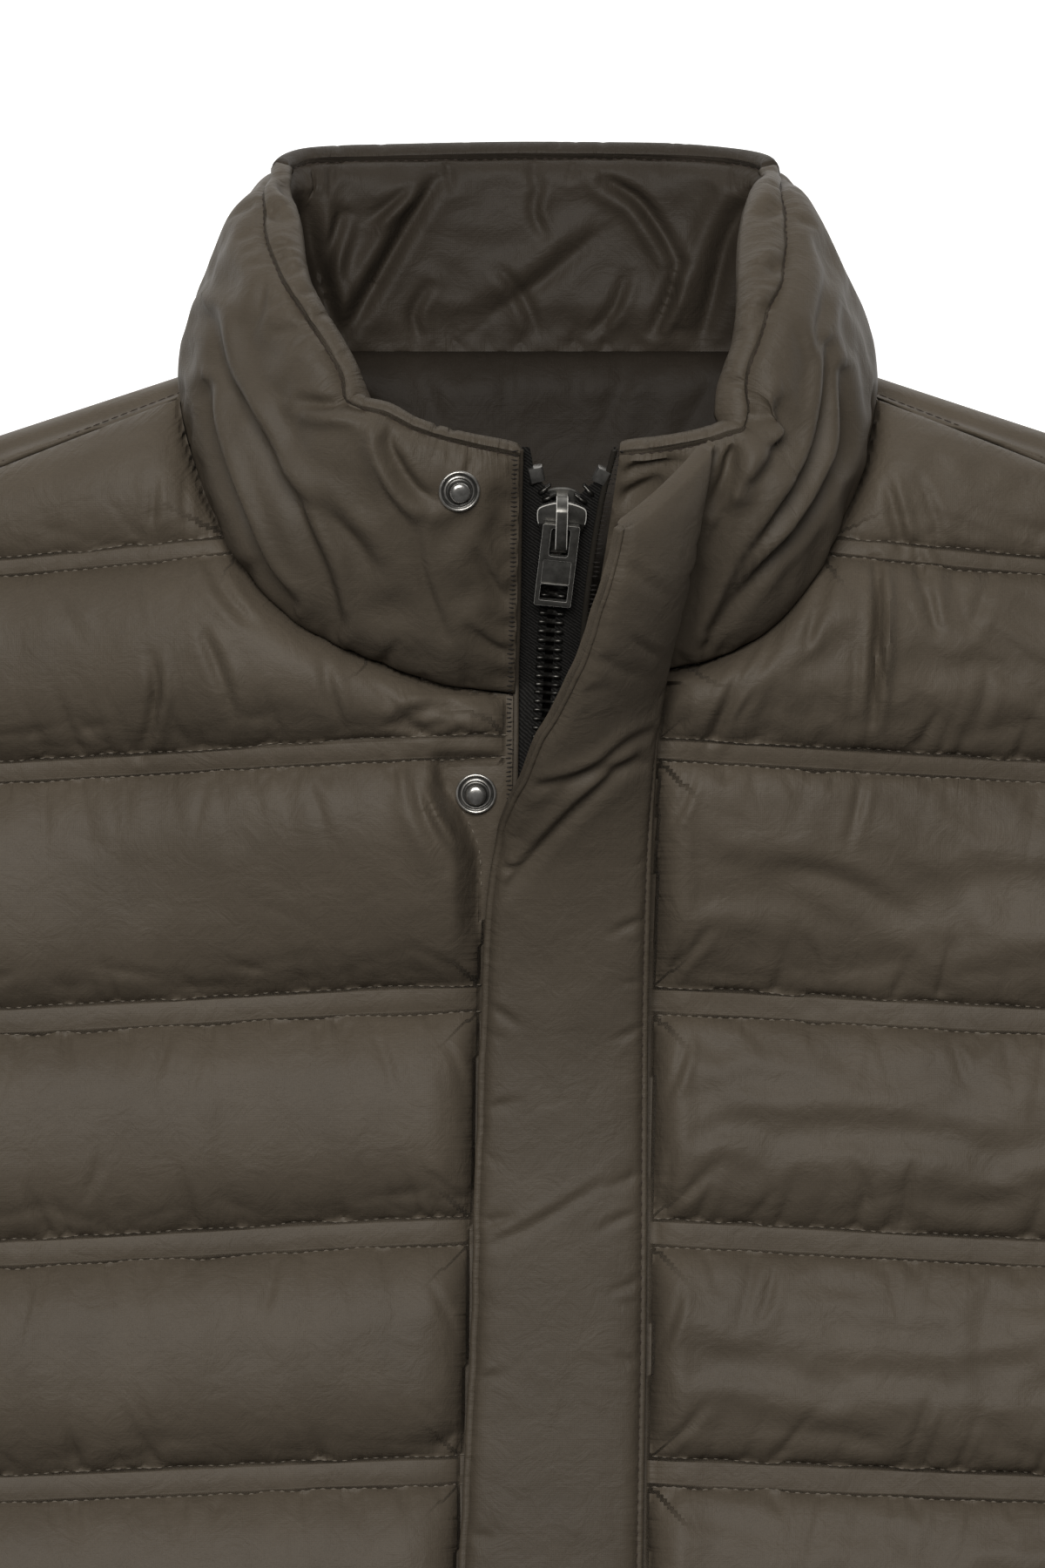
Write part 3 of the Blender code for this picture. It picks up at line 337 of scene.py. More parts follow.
def folds(x, y, table):
    """Height added by long folds drawn through several points: a sharp valley with a full ridge on its one side (positive: on the left of the way it runs)."""
    shape = np.shape(x)
    x, y = np.ravel(x), np.ravel(y)
    out = np.zeros(x.shape)
    for points, width, depth, ridge in table:
        k = np.arange(len(points))
        fine = np.linspace(0, len(points) - 1, 12 * (len(points) - 1) + 1)
        line = np.stack([spline(fine, k, np.array(points, float)[:, c]) for c in (0, 1)], -1)
        pad = 7 * width
        near = (x > line[:, 0].min() - pad) & (x < line[:, 0].max() + pad) & (y > line[:, 1].min() - pad) & (y < line[:, 1].max() + pad)
        near = np.nonzero(near)[0]
        if not len(near):
            continue
        best = np.full(len(near), 1e9)
        side, where = np.zeros(len(near)), np.zeros(len(near))
        for j in range(len(line) - 1):
            (ax, ay), (bx, by) = line[j], line[j + 1]
            ux, uy = bx - ax, by - ay
            n = math.hypot(ux, uy)
            t = np.clip(((x[near] - ax) * ux + (y[near] - ay) * uy) / (n * n), 0, 1)
            dx, dy = x[near] - ax - t * ux, y[near] - ay - t * uy
            d = np.hypot(dx, dy)
            m = d < best
            best = np.where(m, d, best)
            side = np.where(m, np.sign(ux * (y[near] - ay) - uy * (x[near] - ax)), side)
            where = np.where(m, (j + t) / (len(line) - 1), where)
        taper = np.sin(np.pi * np.clip(0.06 + 0.88 * where, 0, 1)) ** 0.7 * np.exp(-((best / (7.0 * width)) ** 4))
        s = best * side
        width = max(0.72 * width, 1.25)
        valley = np.exp(-(((np.sqrt(s * s + 0.81) - 0.9) / width) ** 1.2))
        full = np.exp(-(((s - 2.3 * width) / (1.6 * width)) ** 2))
        other = np.exp(-(((s + 2.6 * width) / (2.0 * width)) ** 2))
        out[near] += depth * taper * (abs(ridge) * (full if ridge > 0 else other) + 0.3 * abs(ridge) * (other if ridge > 0 else full) - valley)
    return out.reshape(shape)


def notches(u, d, table):
    """Height taken off by the small pleats that a row of stitches draws in: wide at the row and gone a little way from it. u runs along the row and d away from it."""
    shape = np.shape(u)
    u, d = np.ravel(u), np.ravel(d)
    out = np.zeros(u.shape)
    for u0, reach, lean, width, depth in table:
        near = np.nonzero((d >= 0) & (d < reach) & (np.abs(u - u0) < 3 * width + abs(lean) * reach))[0]
        if not len(near):
            continue
        k = d[near] / reach
        w = width * (1 - k) + 0.45
        s = np.abs(u[near] - u0 - lean * d[near]) / w
        out[near] = np.maximum(out[near], depth * (1 - k) ** 0.7 * np.exp(-(s ** 1.6)) * np.clip(d[near] / 3.0, 0, 1))
    return out.reshape(shape)


def drawn_in(rng, start, end, gap, reach, lean, width, depth, missing=0.2):
    """A row's pleats at uneven spacings."""
    out, u = [], start + rng.uniform(*gap)
    while u < end:
        if rng.random() > missing:
            k = rng.random() ** 1.6
            out.append((u, reach[0] + (reach[1] - reach[0]) * k, rng.uniform(*lean), width[0] + (width[1] - width[0]) * rng.random(), depth[0] + (depth[1] - depth[0]) * k))
        u += rng.uniform(*gap) * (0.6 + 0.8 * rng.random())
    return out


# ================================================================ the cloth solver
def _pull(A, B, wa, wb, rest, k):
    d0, d1, d2 = B[0] - A[0], B[1] - A[1], B[2] - A[2]
    dist = np.sqrt(d0 * d0 + d1 * d1 + d2 * d2) + F(1e-9)
    c = k * (dist - rest) / (dist * (wa + wb + F(1e-9)))
    ca, cb = c * wa, c * wb
    A[0] += ca * d0
    A[1] += ca * d1
    A[2] += ca * d2
    B[0] -= cb * d0
    B[1] -= cb * d1
    B[2] -= cb * d2


def settle(P, free, used, longer_x, longer_y, iters, pressure=0.0004, bend=0.02, damp=0.9, swell=None, floor=None, cap=8.0, jolt=None):
    """Cloth settled over its filling: P is a (3, rows, columns) grid in mm, sewn points stay, and the cloth is longer than its seams by the two factors, so it puckers as it is pushed out along its own normals."""
    P = np.ascontiguousarray(P, F)
    W = (free & used).astype(F)
    P0 = P.copy()
    ax, ay = P[:, :, 1:] - P[:, :, :-1], P[:, 1:] - P[:, :-1]
    ex = 0.5 * (longer_x[:, 1:] + longer_x[:, :-1])
    ey = 0.5 * (longer_y[1:] + longer_y[:-1])
    Lx = (np.sqrt((ax ** 2).sum(0)) * ex).astype(F)
    Ly = (np.sqrt((ay ** 2).sum(0)) * ey).astype(F)
    a, b = 0.5 * (ax[:, 1:] + ax[:, :-1]), 0.5 * (ay[:, :, 1:] + ay[:, :, :-1])
    sa, sb = 0.5 * (ex[1:] + ex[:-1]), 0.5 * (ey[:, 1:] + ey[:, :-1])
    aa, bb, ab = sa * sa * (a ** 2).sum(0), sb * sb * (b ** 2).sum(0), sa * sb * (a * b).sum(0)
    D1 = np.sqrt(np.maximum(aa + bb + 2 * ab, 0)).astype(F)
    D2 = np.sqrt(np.maximum(aa + bb - 2 * ab, 0)).astype(F)
    u = used.astype(F)
    kx, ky = F(0.9) * u[:, 1:] * u[:, :-1], F(0.9) * u[1:] * u[:-1]
    k1, k2 = F(0.45) * u[1:, 1:] * u[:-1, :-1], F(0.45) * u[1:, :-1] * u[:-1, 1:]
    bx = F(bend) * u[:, :-2] * u[:, 1:-1] * u[:, 2:]
    by = F(bend) * u[:-2] * u[1:-1] * u[2:]
    push = (W * (pressure if swell is None else pressure * swell)).astype(F)
    # the cloth bends back towards its first shape, so that its creases stay
    restx = P[:, :, :-2] - 2 * P[:, :, 1:-1] + P[:, :, 2:]
    resty = P[:, :-2] - 2 * P[:, 1:-1] + P[:, 2:]
    if jolt is not None:
        P[2] += (jolt * W).astype(F)
    Q = P.copy()
    gx, gy = np.empty_like(P), np.empty_like(P)
    for it in range(iters):
        V = (P - Q) * F(damp) * W
        Q = P.copy()
        P += V
        if it % 2 == 0:
            gx[:, :, 1:-1] = P[:, :, 2:] - P[:, :, :-2]
            gx[:, :, 0], gx[:, :, -1] = gx[:, :, 1], gx[:, :, -2]
            gy[:, 1:-1] = P[:, 2:] - P[:, :-2]
            gy[:, 0], gy[:, -1] = gy[:, 1], gy[:, -2]
            n = np.stack(
                [
                    gx[1] * gy[2] - gx[2] * gy[1],
                    gx[2] * gy[0] - gx[0] * gy[2],
                    gx[0] * gy[1] - gx[1] * gy[0],
                ]
            )
            n /= np.sqrt((n ** 2).sum(0)) + F(1e-9)
        P += n * push
        if bend > 0:
            l = (P[:, :, :-2] - 2 * P[:, :, 1:-1] + P[:, :, 2:] - restx) * bx
            P[:, :, 1:-1] += l * W[:, 1:-1]
            P[:, :, :-2] -= 0.5 * l * W[:, :-2]
            P[:, :, 2:] -= 0.5 * l * W[:, 2:]
            l = (P[:, :-2] - 2 * P[:, 1:-1] + P[:, 2:] - resty) * by
            P[:, 1:-1] += l * W[1:-1]
            P[:, :-2] -= 0.5 * l * W[:-2]
            P[:, 2:] -= 0.5 * l * W[2:]
        for s in (0, 1):
            _pull(P[:, :, s:-1:2], P[:, :, s + 1 :: 2], W[:, s:-1:2], W[:, s + 1 :: 2], Lx[:, s::2], kx[:, s::2])
        for s in (0, 1):
            _pull(P[:, s:-1:2], P[:, s + 1 :: 2], W[s:-1:2], W[s + 1 :: 2], Ly[s::2], ky[s::2])
        for s in (0, 1):
            _pull(P[:, s:-1:2, :-1], P[:, s + 1 :: 2, 1:], W[s:-1:2, :-1], W[s + 1 :: 2, 1:], D1[s::2], k1[s::2])
            _pull(P[:, s:-1:2, 1:], P[:, s + 1 :: 2, :-1], W[s:-1:2, 1:], W[s + 1 :: 2, :-1], D2[s::2], k2[s::2])
        if floor is not None:
            np.maximum(P[2], floor, out=P[2])
        if it % 8 == 7:
            d = P - P0
            P = P0 + d * np.minimum(F(1), F(cap) / (np.sqrt((d ** 2).sum(0)) + F(1e-6)))
    return P.astype(float)


# ================================================================ meshes
def new_object(name, verts, faces, material, body="jacket", smooth=True):
    mesh = bpy.data.meshes.new(name)
    verts = np.asarray(verts, np.float64) * MM
    mesh.vertices.add(len(verts))
    mesh.vertices.foreach_set("co", verts.astype(F).ravel())
    sizes = np.array([len(f) for f in faces]) if not isinstance(faces, np.ndarray) else np.full(len(faces), faces.shape[1])
    flat = faces.ravel() if isinstance(faces, np.ndarray) else np.concatenate([np.asarray(f) for f in faces])
    mesh.loops.add(int(sizes.sum()))
    mesh.loops.foreach_set("vertex_index", flat.astype(np.int32))
    mesh.polygons.add(len(sizes))
    mesh.polygons.foreach_set("loop_start", np.concatenate([[0], np.cumsum(sizes)[:-1]]).astype(np.int32))
    mesh.update(calc_edges=True)
    mesh.validate()
    obj = bpy.data.objects.new(name, mesh)
    bpy.context.scene.collection.objects.link(obj)
    mesh.materials.append(material)
    if smooth:
        mesh.shade_smooth()
    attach(obj, body)
    return obj


def closed_panel(name, top, bottom, keep, material, flip=False, coarse=None, sharp=60.0, plan=None):
    """A closed mesh from a grid's kept quads: its top, its underside and walls round the edge. top and bottom are (3, rows, columns). With a coarse step, the underside is filled from the rim and every so many of the grid's points, laid out by its own x and y or by a plan (2, rows, columns) whose first axis grows with the columns and whose second grows with the rows."""
    R, C = keep.shape[0] + 1, keep.shape[1] + 1
    idx = np.arange(R * C).reshape(R, C)
    q = np.stack([idx[:-1, :-1], idx[:-1, 1:], idx[1:, 1:], idx[1:, :-1]], -1)[keep]
    if not flip:
        q = q[:, ::-1]
    n = R * C
    edges = np.concatenate([q[:, [k, (k + 1) % 4]] for k in range(4)])
    key = np.sort(edges, axis=1)
    code = key[:, 0] * n + key[:, 1]
    _, first, counts = np.unique(code, return_index=True, return_counts=True)
    rim = edges[first[counts == 1]]
    sides = np.stack([rim[:, 1], rim[:, 0], rim[:, 0] + n, rim[:, 1] + n], -1)
    faces = [q, sides]
    if coarse is None:
        faces.append(q[:, ::-1] + n)
    else:
        used = np.zeros(n, bool)
        used[q.ravel()] = True
        on_rim = np.zeros(n, bool)
        on_rim[rim.ravel()] = True
        inner = used & ~on_rim
        near = inner.reshape(R, C).copy()
        for _ in range(2):
            near[1:-1, 1:-1] &= near[:-2, 1:-1] & near[2:, 1:-1] & near[1:-1, :-2] & near[1:-1, 2:]
        pick = np.zeros((R, C), bool)
        pick[::coarse, ::coarse] = True
        inner = (near & pick).ravel()
        pts = np.concatenate([np.nonzero(on_rim)[0], np.nonzero(inner)[0]])
        slot = np.full(n, -1)
        slot[pts] = np.arange(len(pts))
        layout = (bottom[:2] if plan is None else plan).reshape(2, -1).T
        flat = layout[pts]
        out = delaunay_2d_cdt([Vector((p[0], p[1])) for p in flat], [(int(slot[a]), int(slot[b])) for a, b in rim], [], 1, 1e-6)
        named = [o[0] if o else -1 for o in out[3]]
        tris = np.array([[named[k] for k in f] for f in out[2] if len(f) == 3])
        tris = pts[tris[(tris >= 0).all(1)]]
        a, b, c = (layout[tris[:, k]] for k in range(3))
        area = (b[:, 0] - a[:, 0]) * (c[:, 1] - a[:, 1]) - (b[:, 1] - a[:, 1]) * (c[:, 0] - a[:, 0])
        if plan is not None and not flip:
            area = -area
        tris[area > 0] = tris[area > 0][:, ::-1]
        faces.append(tris + n)
    used = np.unique(np.concatenate([f.ravel() for f in faces]))
    remap = np.zeros(2 * n, int)
    remap[used] = np.arange(len(used))
    pts = np.concatenate([top.reshape(3, -1).T, bottom.reshape(3, -1).T])[used]
    faces = [list(f) for part in faces for f in remap[part]] if coarse is not None else remap[np.concatenate(faces)]
    obj = new_object(name, pts, faces, material)
    obj.data.set_sharp_from_angle(angle=math.radians(sharp))
    return obj


def seam_marks(obj, u, d, strength, keep_top):
    """Gives each point of a panel's face its place along the nearest seam, its distance from it and how hard the stitches draw the cloth in there."""
    attr = obj.data.attributes.new("seam", "FLOAT_VECTOR", "POINT")
    data = np.zeros((len(obj.data.vertices), 3), F)
    used = np.nonzero(keep_top.ravel())[0]
    for k, a in enumerate((u, d, strength)):
        data[: len(used), k] = np.broadcast_to(a, keep_top.shape).ravel()[used]
    attr.data.foreach_set("vector", data.ravel())


def tri_count(obj):
    return sum(len(p.vertices) - 2 for p in obj.data.polygons)


# ================================================================ materials
def nodes_for(name):
    mat = bpy.data.materials.new(name)
    mat.use_nodes = True
    tree = mat.node_tree
    return mat, tree, tree.nodes["Principled BSDF"]


def add(tree, kind, **values):
    node = tree.nodes.new(kind)
    for key, value in values.items():
        if key in node.inputs:
            node.inputs[key].default_value = value
        else:
            setattr(node, key, value)
    return node


def nylon(name, colour, rough, sheen, bump=1.0, spread=0.10, specular=0.34):
    """Fine calendered nylon: a tight weave, faint slubs and small creases, and a colour that drifts a little."""
    mat, t, b = nodes_for(name)
    L = t.links.new
    coord = add(t, "ShaderNodeTexCoord")
    stretch = add(t, "ShaderNodeMapping")
    stretch.inputs["Scale"].default_value = (1.0, 2.2, 1.0)
    L(coord.outputs["Object"], stretch.inputs["Vector"])
    drift = add(t, "ShaderNodeTexNoise", Scale=22.0, Detail=4.0, Roughness=0.6)
    L(coord.outputs["Object"], drift.inputs["Vector"])
    slub = add(t, "ShaderNodeTexNoise", Scale=900.0, Detail=2.0, Roughness=0.7)
    L(stretch.outputs["Vector"], slub.inputs["Vector"])
    ramp = add(t, "ShaderNodeValToRGB")
    ramp.color_ramp.elements[0].position = 0.28
    ramp.color_ramp.elements[1].position = 0.74
    ramp.color_ramp.elements[0].color = (*[c * (1 - spread) for c in colour], 1)
    ramp.color_ramp.elements[1].color = (*[c * (1 + spread) for c in colour], 1)
    L(drift.outputs["Fac"], ramp.inputs["Fac"])
    grain = add(t, "ShaderNodeMix", data_type="RGBA", blend_type="MULTIPLY")
    grain.inputs[0].default_value = 0.5
    gramp = add(t, "ShaderNodeValToRGB")
    gramp.color_ramp.elements[0].position = 0.30
    gramp.color_ramp.elements[1].position = 0.70
    gramp.color_ramp.elements[0].color = (0.86, 0.86, 0.86, 1)
    gramp.color_ramp.elements[1].color = (1.12, 1.12, 1.12, 1)
    L(slub.outputs["Fac"], gramp.inputs["Fac"])
    L(ramp.outputs["Color"], grain.inputs[6])
    L(gramp.outputs["Color"], grain.inputs[7])
    L(grain.outputs[2], b.inputs["Base Color"])
    # small creases at three sizes, and the weave over them
    wide = add(t, "ShaderNodeTexNoise", Scale=95.0, Detail=5.0, Roughness=0.62, Distortion=0.6)
    L(coord.outputs["Object"], wide.inputs["Vector"])
    wave_x = add(t, "ShaderNodeTexWave", Scale=700.0, Distortion=1.2, Detail=1.0, bands_direction="X")
    wave_y = add(t, "ShaderNodeTexWave", Scale=700.0, Distortion=1.2, Detail=1.0, bands_direction="Y")
    L(coord.outputs["Object"], wave_x.inputs["Vector"])
    L(coord.outputs["Object"], wave_y.inputs["Vector"])
    weave = add(t, "ShaderNodeMath", operation="ADD")
    L(wave_x.outputs["Fac"], weave.inputs[0])
    L(wave_y.outputs["Fac"], weave.inputs[1])
    bend = add(t, "ShaderNodeTexNoise", Scale=48.0, Detail=2.0, Roughness=0.5)
    L(coord.outputs["Object"], bend.inputs["Vector"])
    push = add(t, "ShaderNodeVectorMath", operation="MULTIPLY_ADD")
    push.inputs[1].default_value = (0.016, 0.016, 0.016)
    L(bend.outputs["Color"], push.inputs[0])
    L(coord.outputs["Object"], push.inputs[2])
    facets = add(t, "ShaderNodeTexVoronoi", feature="F1", Scale=62.0, Detail=1.0, Roughness=0.5)
    L(push.outputs[0], facets.inputs["Vector"])
    mixed = add(t, "ShaderNodeMath", operation="MULTIPLY_ADD")
    mixed.inputs[1].default_value = 0.34
    L(facets.outputs["Distance"], mixed.inputs[0])
    L(wide.outputs["Fac"], mixed.inputs[2])
    bump1 = add(t, "ShaderNodeBump", Strength=0.62 * bump, Distance=0.0012)
    L(mixed.outputs[0], bump1.inputs["Height"])
    # the stitches' own fine puckers, running away from each seam
    seam = add(t, "ShaderNodeAttribute", attribute_name="seam", attribute_type="GEOMETRY")
    place = add(t, "ShaderNodeMapping")
    place.inputs["Scale"].default_value = (0.36, 0.075, 0.0)
    L(seam.outputs["Vector"], place.inputs["Vector"])
    pleat = add(t, "ShaderNodeTexNoise", Scale=1.0, Detail=2.5, Roughness=0.55, Distortion=0.35)
    L(place.outputs["Vector"], pleat.inputs["Vector"])
    part = add(t, "ShaderNodeSeparateXYZ")
    L(seam.outputs["Vector"], part.inputs["Vector"])
    pull = add(t, "ShaderNodeMath", operation="MULTIPLY")
    L(pleat.outputs["Fac"], pull.inputs[0])
    L(part.outputs["Z"], pull.inputs[1])
    bump3 = add(t, "ShaderNodeBump", Strength=1.0, Distance=0.0022)
    L(pull.outputs[0], bump3.inputs["Height"])
    L(bump1.outputs["Normal"], bump3.inputs["Normal"])
    bump2 = add(t, "ShaderNodeBump", Strength=0.16 * bump, Distance=0.00012)
    L(weave.outputs[0], bump2.inputs["Height"])
    L(bump3.outputs["Normal"], bump2.inputs["Normal"])
    L(bump2.outputs["Normal"], b.inputs["Normal"])
    b.inputs["Roughness"].default_value = rough
    b.inputs["Specular IOR Level"].default_value = specular
    b.inputs["Sheen Weight"].default_value = sheen
    b.inputs["Sheen Roughness"].default_value = 0.45
    b.inputs["Sheen Tint"].default_value = (0.75, 0.70, 0.62, 1)
    return mat


def plain(name, colour, rough, metallic=0.0, specular=0.5, bump=None):
    mat, t, b = nodes_for(name)
    b.inputs["Base Color"].default_value = (*colour, 1)
    b.inputs["Roughness"].default_value = rough
    b.inputs["Metallic"].default_value = metallic
    b.inputs["Specular IOR Level"].default_value = specular
    if bump:
        coord = add(t, "ShaderNodeTexCoord")
        n = add(t, "ShaderNodeTexNoise", Scale=bump[0], Detail=3.0, Roughness=0.6)
        t.links.new(coord.outputs["Object"], n.inputs["Vector"])
        k = add(t, "ShaderNodeBump", Strength=bump[1], Distance=bump[2])
        t.links.new(n.outputs["Fac"], k.inputs["Height"])
        t.links.new(k.outputs["Normal"], b.inputs["Normal"])
    return mat


def metal(name, dark, light, rough):
    """Blackened zinc: a dark metal whose finish wears paler in small patches."""
    mat, t, b = nodes_for(name)
    L = t.links.new
    coord = add(t, "ShaderNodeTexCoord")
    n = add(t, "ShaderNodeTexNoise", Scale=420.0, Detail=4.0, Roughness=0.65)
    L(coord.outputs["Object"], n.inputs["Vector"])
    ramp = add(t, "ShaderNodeValToRGB")
    ramp.color_ramp.elements[0].position, ramp.color_ramp.elements[1].position = 0.35, 0.68
    ramp.color_ramp.elements[0].color, ramp.color_ramp.elements[1].color = (*dark, 1), (*light, 1)
    L(n.outputs["Fac"], ramp.inputs["Fac"])
    L(ramp.outputs["Color"], b.inputs["Base Color"])
    fine = add(t, "ShaderNodeTexNoise", Scale=2600.0, Detail=2.0, Roughness=0.6)
    L(coord.outputs["Object"], fine.inputs["Vector"])
    k = add(t, "ShaderNodeBump", Strength=0.10, Distance=0.00008)
    L(fine.outputs["Fac"], k.inputs["Height"])
    L(k.outputs["Normal"], b.inputs["Normal"])
    b.inputs["Metallic"].default_value = 0.85
    b.inputs["Roughness"].default_value = rough
    b.inputs["Specular IOR Level"].default_value = 0.6
    return mat


def woven(name, dark, light):
    """A close herringbone tape: slanted ribs that turn about every few millimetres."""
    mat, t, b = nodes_for(name)
    L = t.links.new
    coord = add(t, "ShaderNodeTexCoord")
    ribs = add(t, "ShaderNodeTexWave", Scale=420.0, Distortion=2.5, Detail=2.0, bands_direction="DIAGONAL")
    ribs.inputs["Detail Scale"].default_value = 2.0
    L(coord.outputs["Object"], ribs.inputs["Vector"])
    speck = add(t, "ShaderNodeTexNoise", Scale=1700.0, Detail=2.0, Roughness=0.7)
    L(coord.outputs["Object"], speck.inputs["Vector"])
    mul = add(t, "ShaderNodeMath", operation="MULTIPLY")
    L(ribs.outputs["Fac"], mul.inputs[0])
    L(speck.outputs["Fac"], mul.inputs[1])
    ramp = add(t, "ShaderNodeValToRGB")
    ramp.color_ramp.elements[0].position, ramp.color_ramp.elements[1].position = 0.12, 0.48
    ramp.color_ramp.elements[0].color, ramp.color_ramp.elements[1].color = (*dark, 1), (*light, 1)
    L(mul.outputs[0], ramp.inputs["Fac"])
    L(ramp.outputs["Color"], b.inputs["Base Color"])
    k = add(t, "ShaderNodeBump", Strength=0.8, Distance=0.00025)
    L(mul.outputs[0], k.inputs["Height"])
    L(k.outputs["Normal"], b.inputs["Normal"])
    b.inputs["Roughness"].default_value = 0.85
    b.inputs["Specular IOR Level"].default_value = 0.15
    return mat


SHELL = nylon("shell_nylon", (0.0908, 0.0735, 0.0541), 0.56, 0.0, specular=0.22)
# the collar's outer piece and the flap take the shell cloth at about 0.88 of its colour: painted shade for the dimmer
# light on their steep, folded faces
SHELL_SHADED = nylon("shell_nylon_painted_shade", (0.0800, 0.0648, 0.0476), 0.56, 0.0, specular=0.22)
# the inner collar's cloth: darker partly as the lining's own tone, partly as painted shade for the inside of the collar
LINING = nylon("lining_nylon", (0.040, 0.0320, 0.0240), 0.56, 0.0, bump=1.0, specular=0.16)
# the back lining seen through the neck: the lining cloth again at 0.6 of its colour, a painted shade for the hollow it
# lies in
BODY_LINING_SHADED = nylon("body_lining_painted_shade", (0.024, 0.0190, 0.0142), 0.60, 0.0, bump=1.0, specular=0.14)
THREAD = plain("thread_tonal", (0.150, 0.126, 0.098), 0.70)
THREAD_BLACK = plain("thread_black", (0.012, 0.009, 0.007), 0.85)
THREAD_DARK = plain("thread_dark", (0.030, 0.019, 0.013), 0.80)
TAPE_MAT = woven("tape_woven", (0.0045, 0.0042, 0.0038), (0.021, 0.020, 0.0187))
GUN = metal("gunmetal", (0.118, 0.114, 0.105), (0.200, 0.194, 0.180), 0.40)
# pale gunmetal on the bevels of the slider, its bridge and the pull: a painted highlight along the edges
GUN_GLINT = plain("gunmetal_edge_painted_highlight", (0.74, 0.72, 0.68), 0.32, metallic=0.15)
GUN_DARK = metal("gunmetal_dark", (0.022, 0.021, 0.019), (0.075, 0.072, 0.066), 0.34)
STEEL = metal("steel", (0.17, 0.165, 0.155), (0.30, 0.29, 0.275), 0.34)


# ================================================================ the collar's rails and the neckline
def rails(at):
    k = np.arange(len(COLLAR))
    base = np.stack([spline(at, k, column(COLLAR, c)) for c in (0, 1, 2)], -1)
    top = np.stack([spline(at, k, column(COLLAR, c)) for c in (3, 4, 5)], -1)
    bow, half = spline(at, k, column(COLLAR, 6)), spline(at, k, column(COLLAR, 7))
    return base, top, bow, half


RAIL_AT = np.linspace(0, len(COLLAR) - 1, 500)
NECK_SEAM = rails(RAIL_AT)[0]


def x_front(y):
    return np.interp(y, column(OUTLINE, 0)[::-1], column(OUTLINE, 1)[::-1])


def x_back(y):
    return np.interp(y, column(OUTLINE, 0)[::-1], column(OUTLINE, 2)[::-1])


def drop_at(x):
    r = (np.asarray(x, float) / DROP_HALF) ** 2
    return 2 * r / (1 + r)


def drop_of(v):
    ys = [0.5 * (q[0] + q[1]) for q in QUILT] + [HEM_Y]
    ds = [q[2] for q in QUILT] + [0.0]
    return np.interp(v, ys[::-1], ds[::-1])


def zip_x(y):
    return smooth_curve(y, column(ZIP_LINE, 0), column(ZIP_LINE, 1))


def edge_x(side, y):
    return smooth_curve(y, column(ZIP_LINE, 0), column(ZIP_LINE, 3 if side > 0 else 2))


def neck_lift(x, y):
    step = NECK_SEAM[::6]
    d, _, _, height = nearest(x, y, step[:, :2], step[:, 2])
    lift = np.maximum(height - FRONT_BASE - EDGE_T - 0.8, 0.0)
    return lift * (1 - ease(d / NECK_LIFT_REACH))


ZIP_SLOPE = 0.515


def zip_z(y):
    flat = FRONT_BASE + 2.6 + neck_lift(zip_x(np.minimum(y, NECK_Y)), np.minimum(y, NECK_Y))
    return flat + np.maximum(np.asarray(y, float) - NECK_Y, 0.0) * ZIP_SLOPE


def padding_start(side, y):
    k = slice(None, None, -1)
    if side > 0:
        return np.interp(y, column(FLAP, 1)[k], column(FLAP, 0)[k]) + 1.6
    return np.maximum(np.interp(y, column(FLAP, 4)[k], -column(FLAP, 3)[k]) + 1.2, 2.4)


def rows_between(marks, step):
    """Row positions that pass through every mark, about a step apart."""
    out = [marks[0]]
    for a, b in zip(marks[:-1], marks[1:]):
        n = max(1, int(round(abs(a - b) / step(0.5 * (a + b)))))
        out += list(a + (b - a) * np.arange(1, n + 1) / n)
    return np.array(out)


def inside(x, y, polygon):
    """Whether each point lies in a closed polygon in plan."""
    out = np.zeros(x.shape, bool)
    px, py = polygon[:, 0], polygon[:, 1]
    for k in range(len(polygon)):
        ax, ay, bx, by = px[k - 1], py[k - 1], px[k], py[k]
        if ay == by:
            continue
        crosses = (ay > y) != (by > y)
        out ^= crosses & (x < (bx - ax) * (y - ay) / (by - ay) + ax)
    return out


def fit_grid(X, Y, polygon):
    """Snaps a grid to a polygon: (x, y, used, rim), where the rim vertices lie on the outline."""
    within = inside(X, Y, polygon)
    near = within.copy()
    near[1:] |= within[:-1]
    near[:-1] |= within[1:]
    near[:, 1:] |= within[:, :-1]
    near[:, :-1] |= within[:, 1:]
    near[1:, 1:] |= within[:-1, :-1]
    near[1:, :-1] |= within[:-1, 1:]
    near[:-1, 1:] |= within[1:, :-1]
    near[:-1, :-1] |= within[1:, 1:]
    rim = near & ~within
    closed = np.vstack([polygon, polygon[:1]])
    d, nx, ny, _ = nearest(X[rim], Y[rim], closed)
    X, Y = X.copy(), Y.copy()
    X[rim], Y[rim] = nx, ny
    return X, Y, near, rim


def scallops(rng, u, start, end, gap, depth, power=2.0):
    """How far back a baffle's edge stands along a row: rounded bumps that touch it, with a sharp notch of uneven depth between each two."""
    ends = [start]
    while ends[-1] < end:
        ends.append(ends[-1] + gap[0] + (gap[1] - gap[0]) * rng.random() ** 1.7)
    ends = np.array(ends)
    deep = depth[0] + (depth[1] - depth[0]) * rng.random(len(ends)) ** power
    gaps = np.diff(ends)
    deep = np.minimum(deep, 0.75 * np.minimum(np.append(gaps, gaps[-1]), np.insert(gaps, 0, gaps[0])))
    k = np.clip(np.searchsorted(ends, u) - 1, 0, len(ends) - 2)
    left, right = ends[k], ends[k + 1]
    t = np.clip((u - 0.5 * (left + right)) / (0.5 * (right - left)), -1, 1)
    d = np.where(t < 0, deep[k], deep[k + 1])
    return d * np.abs(t) ** 3.0


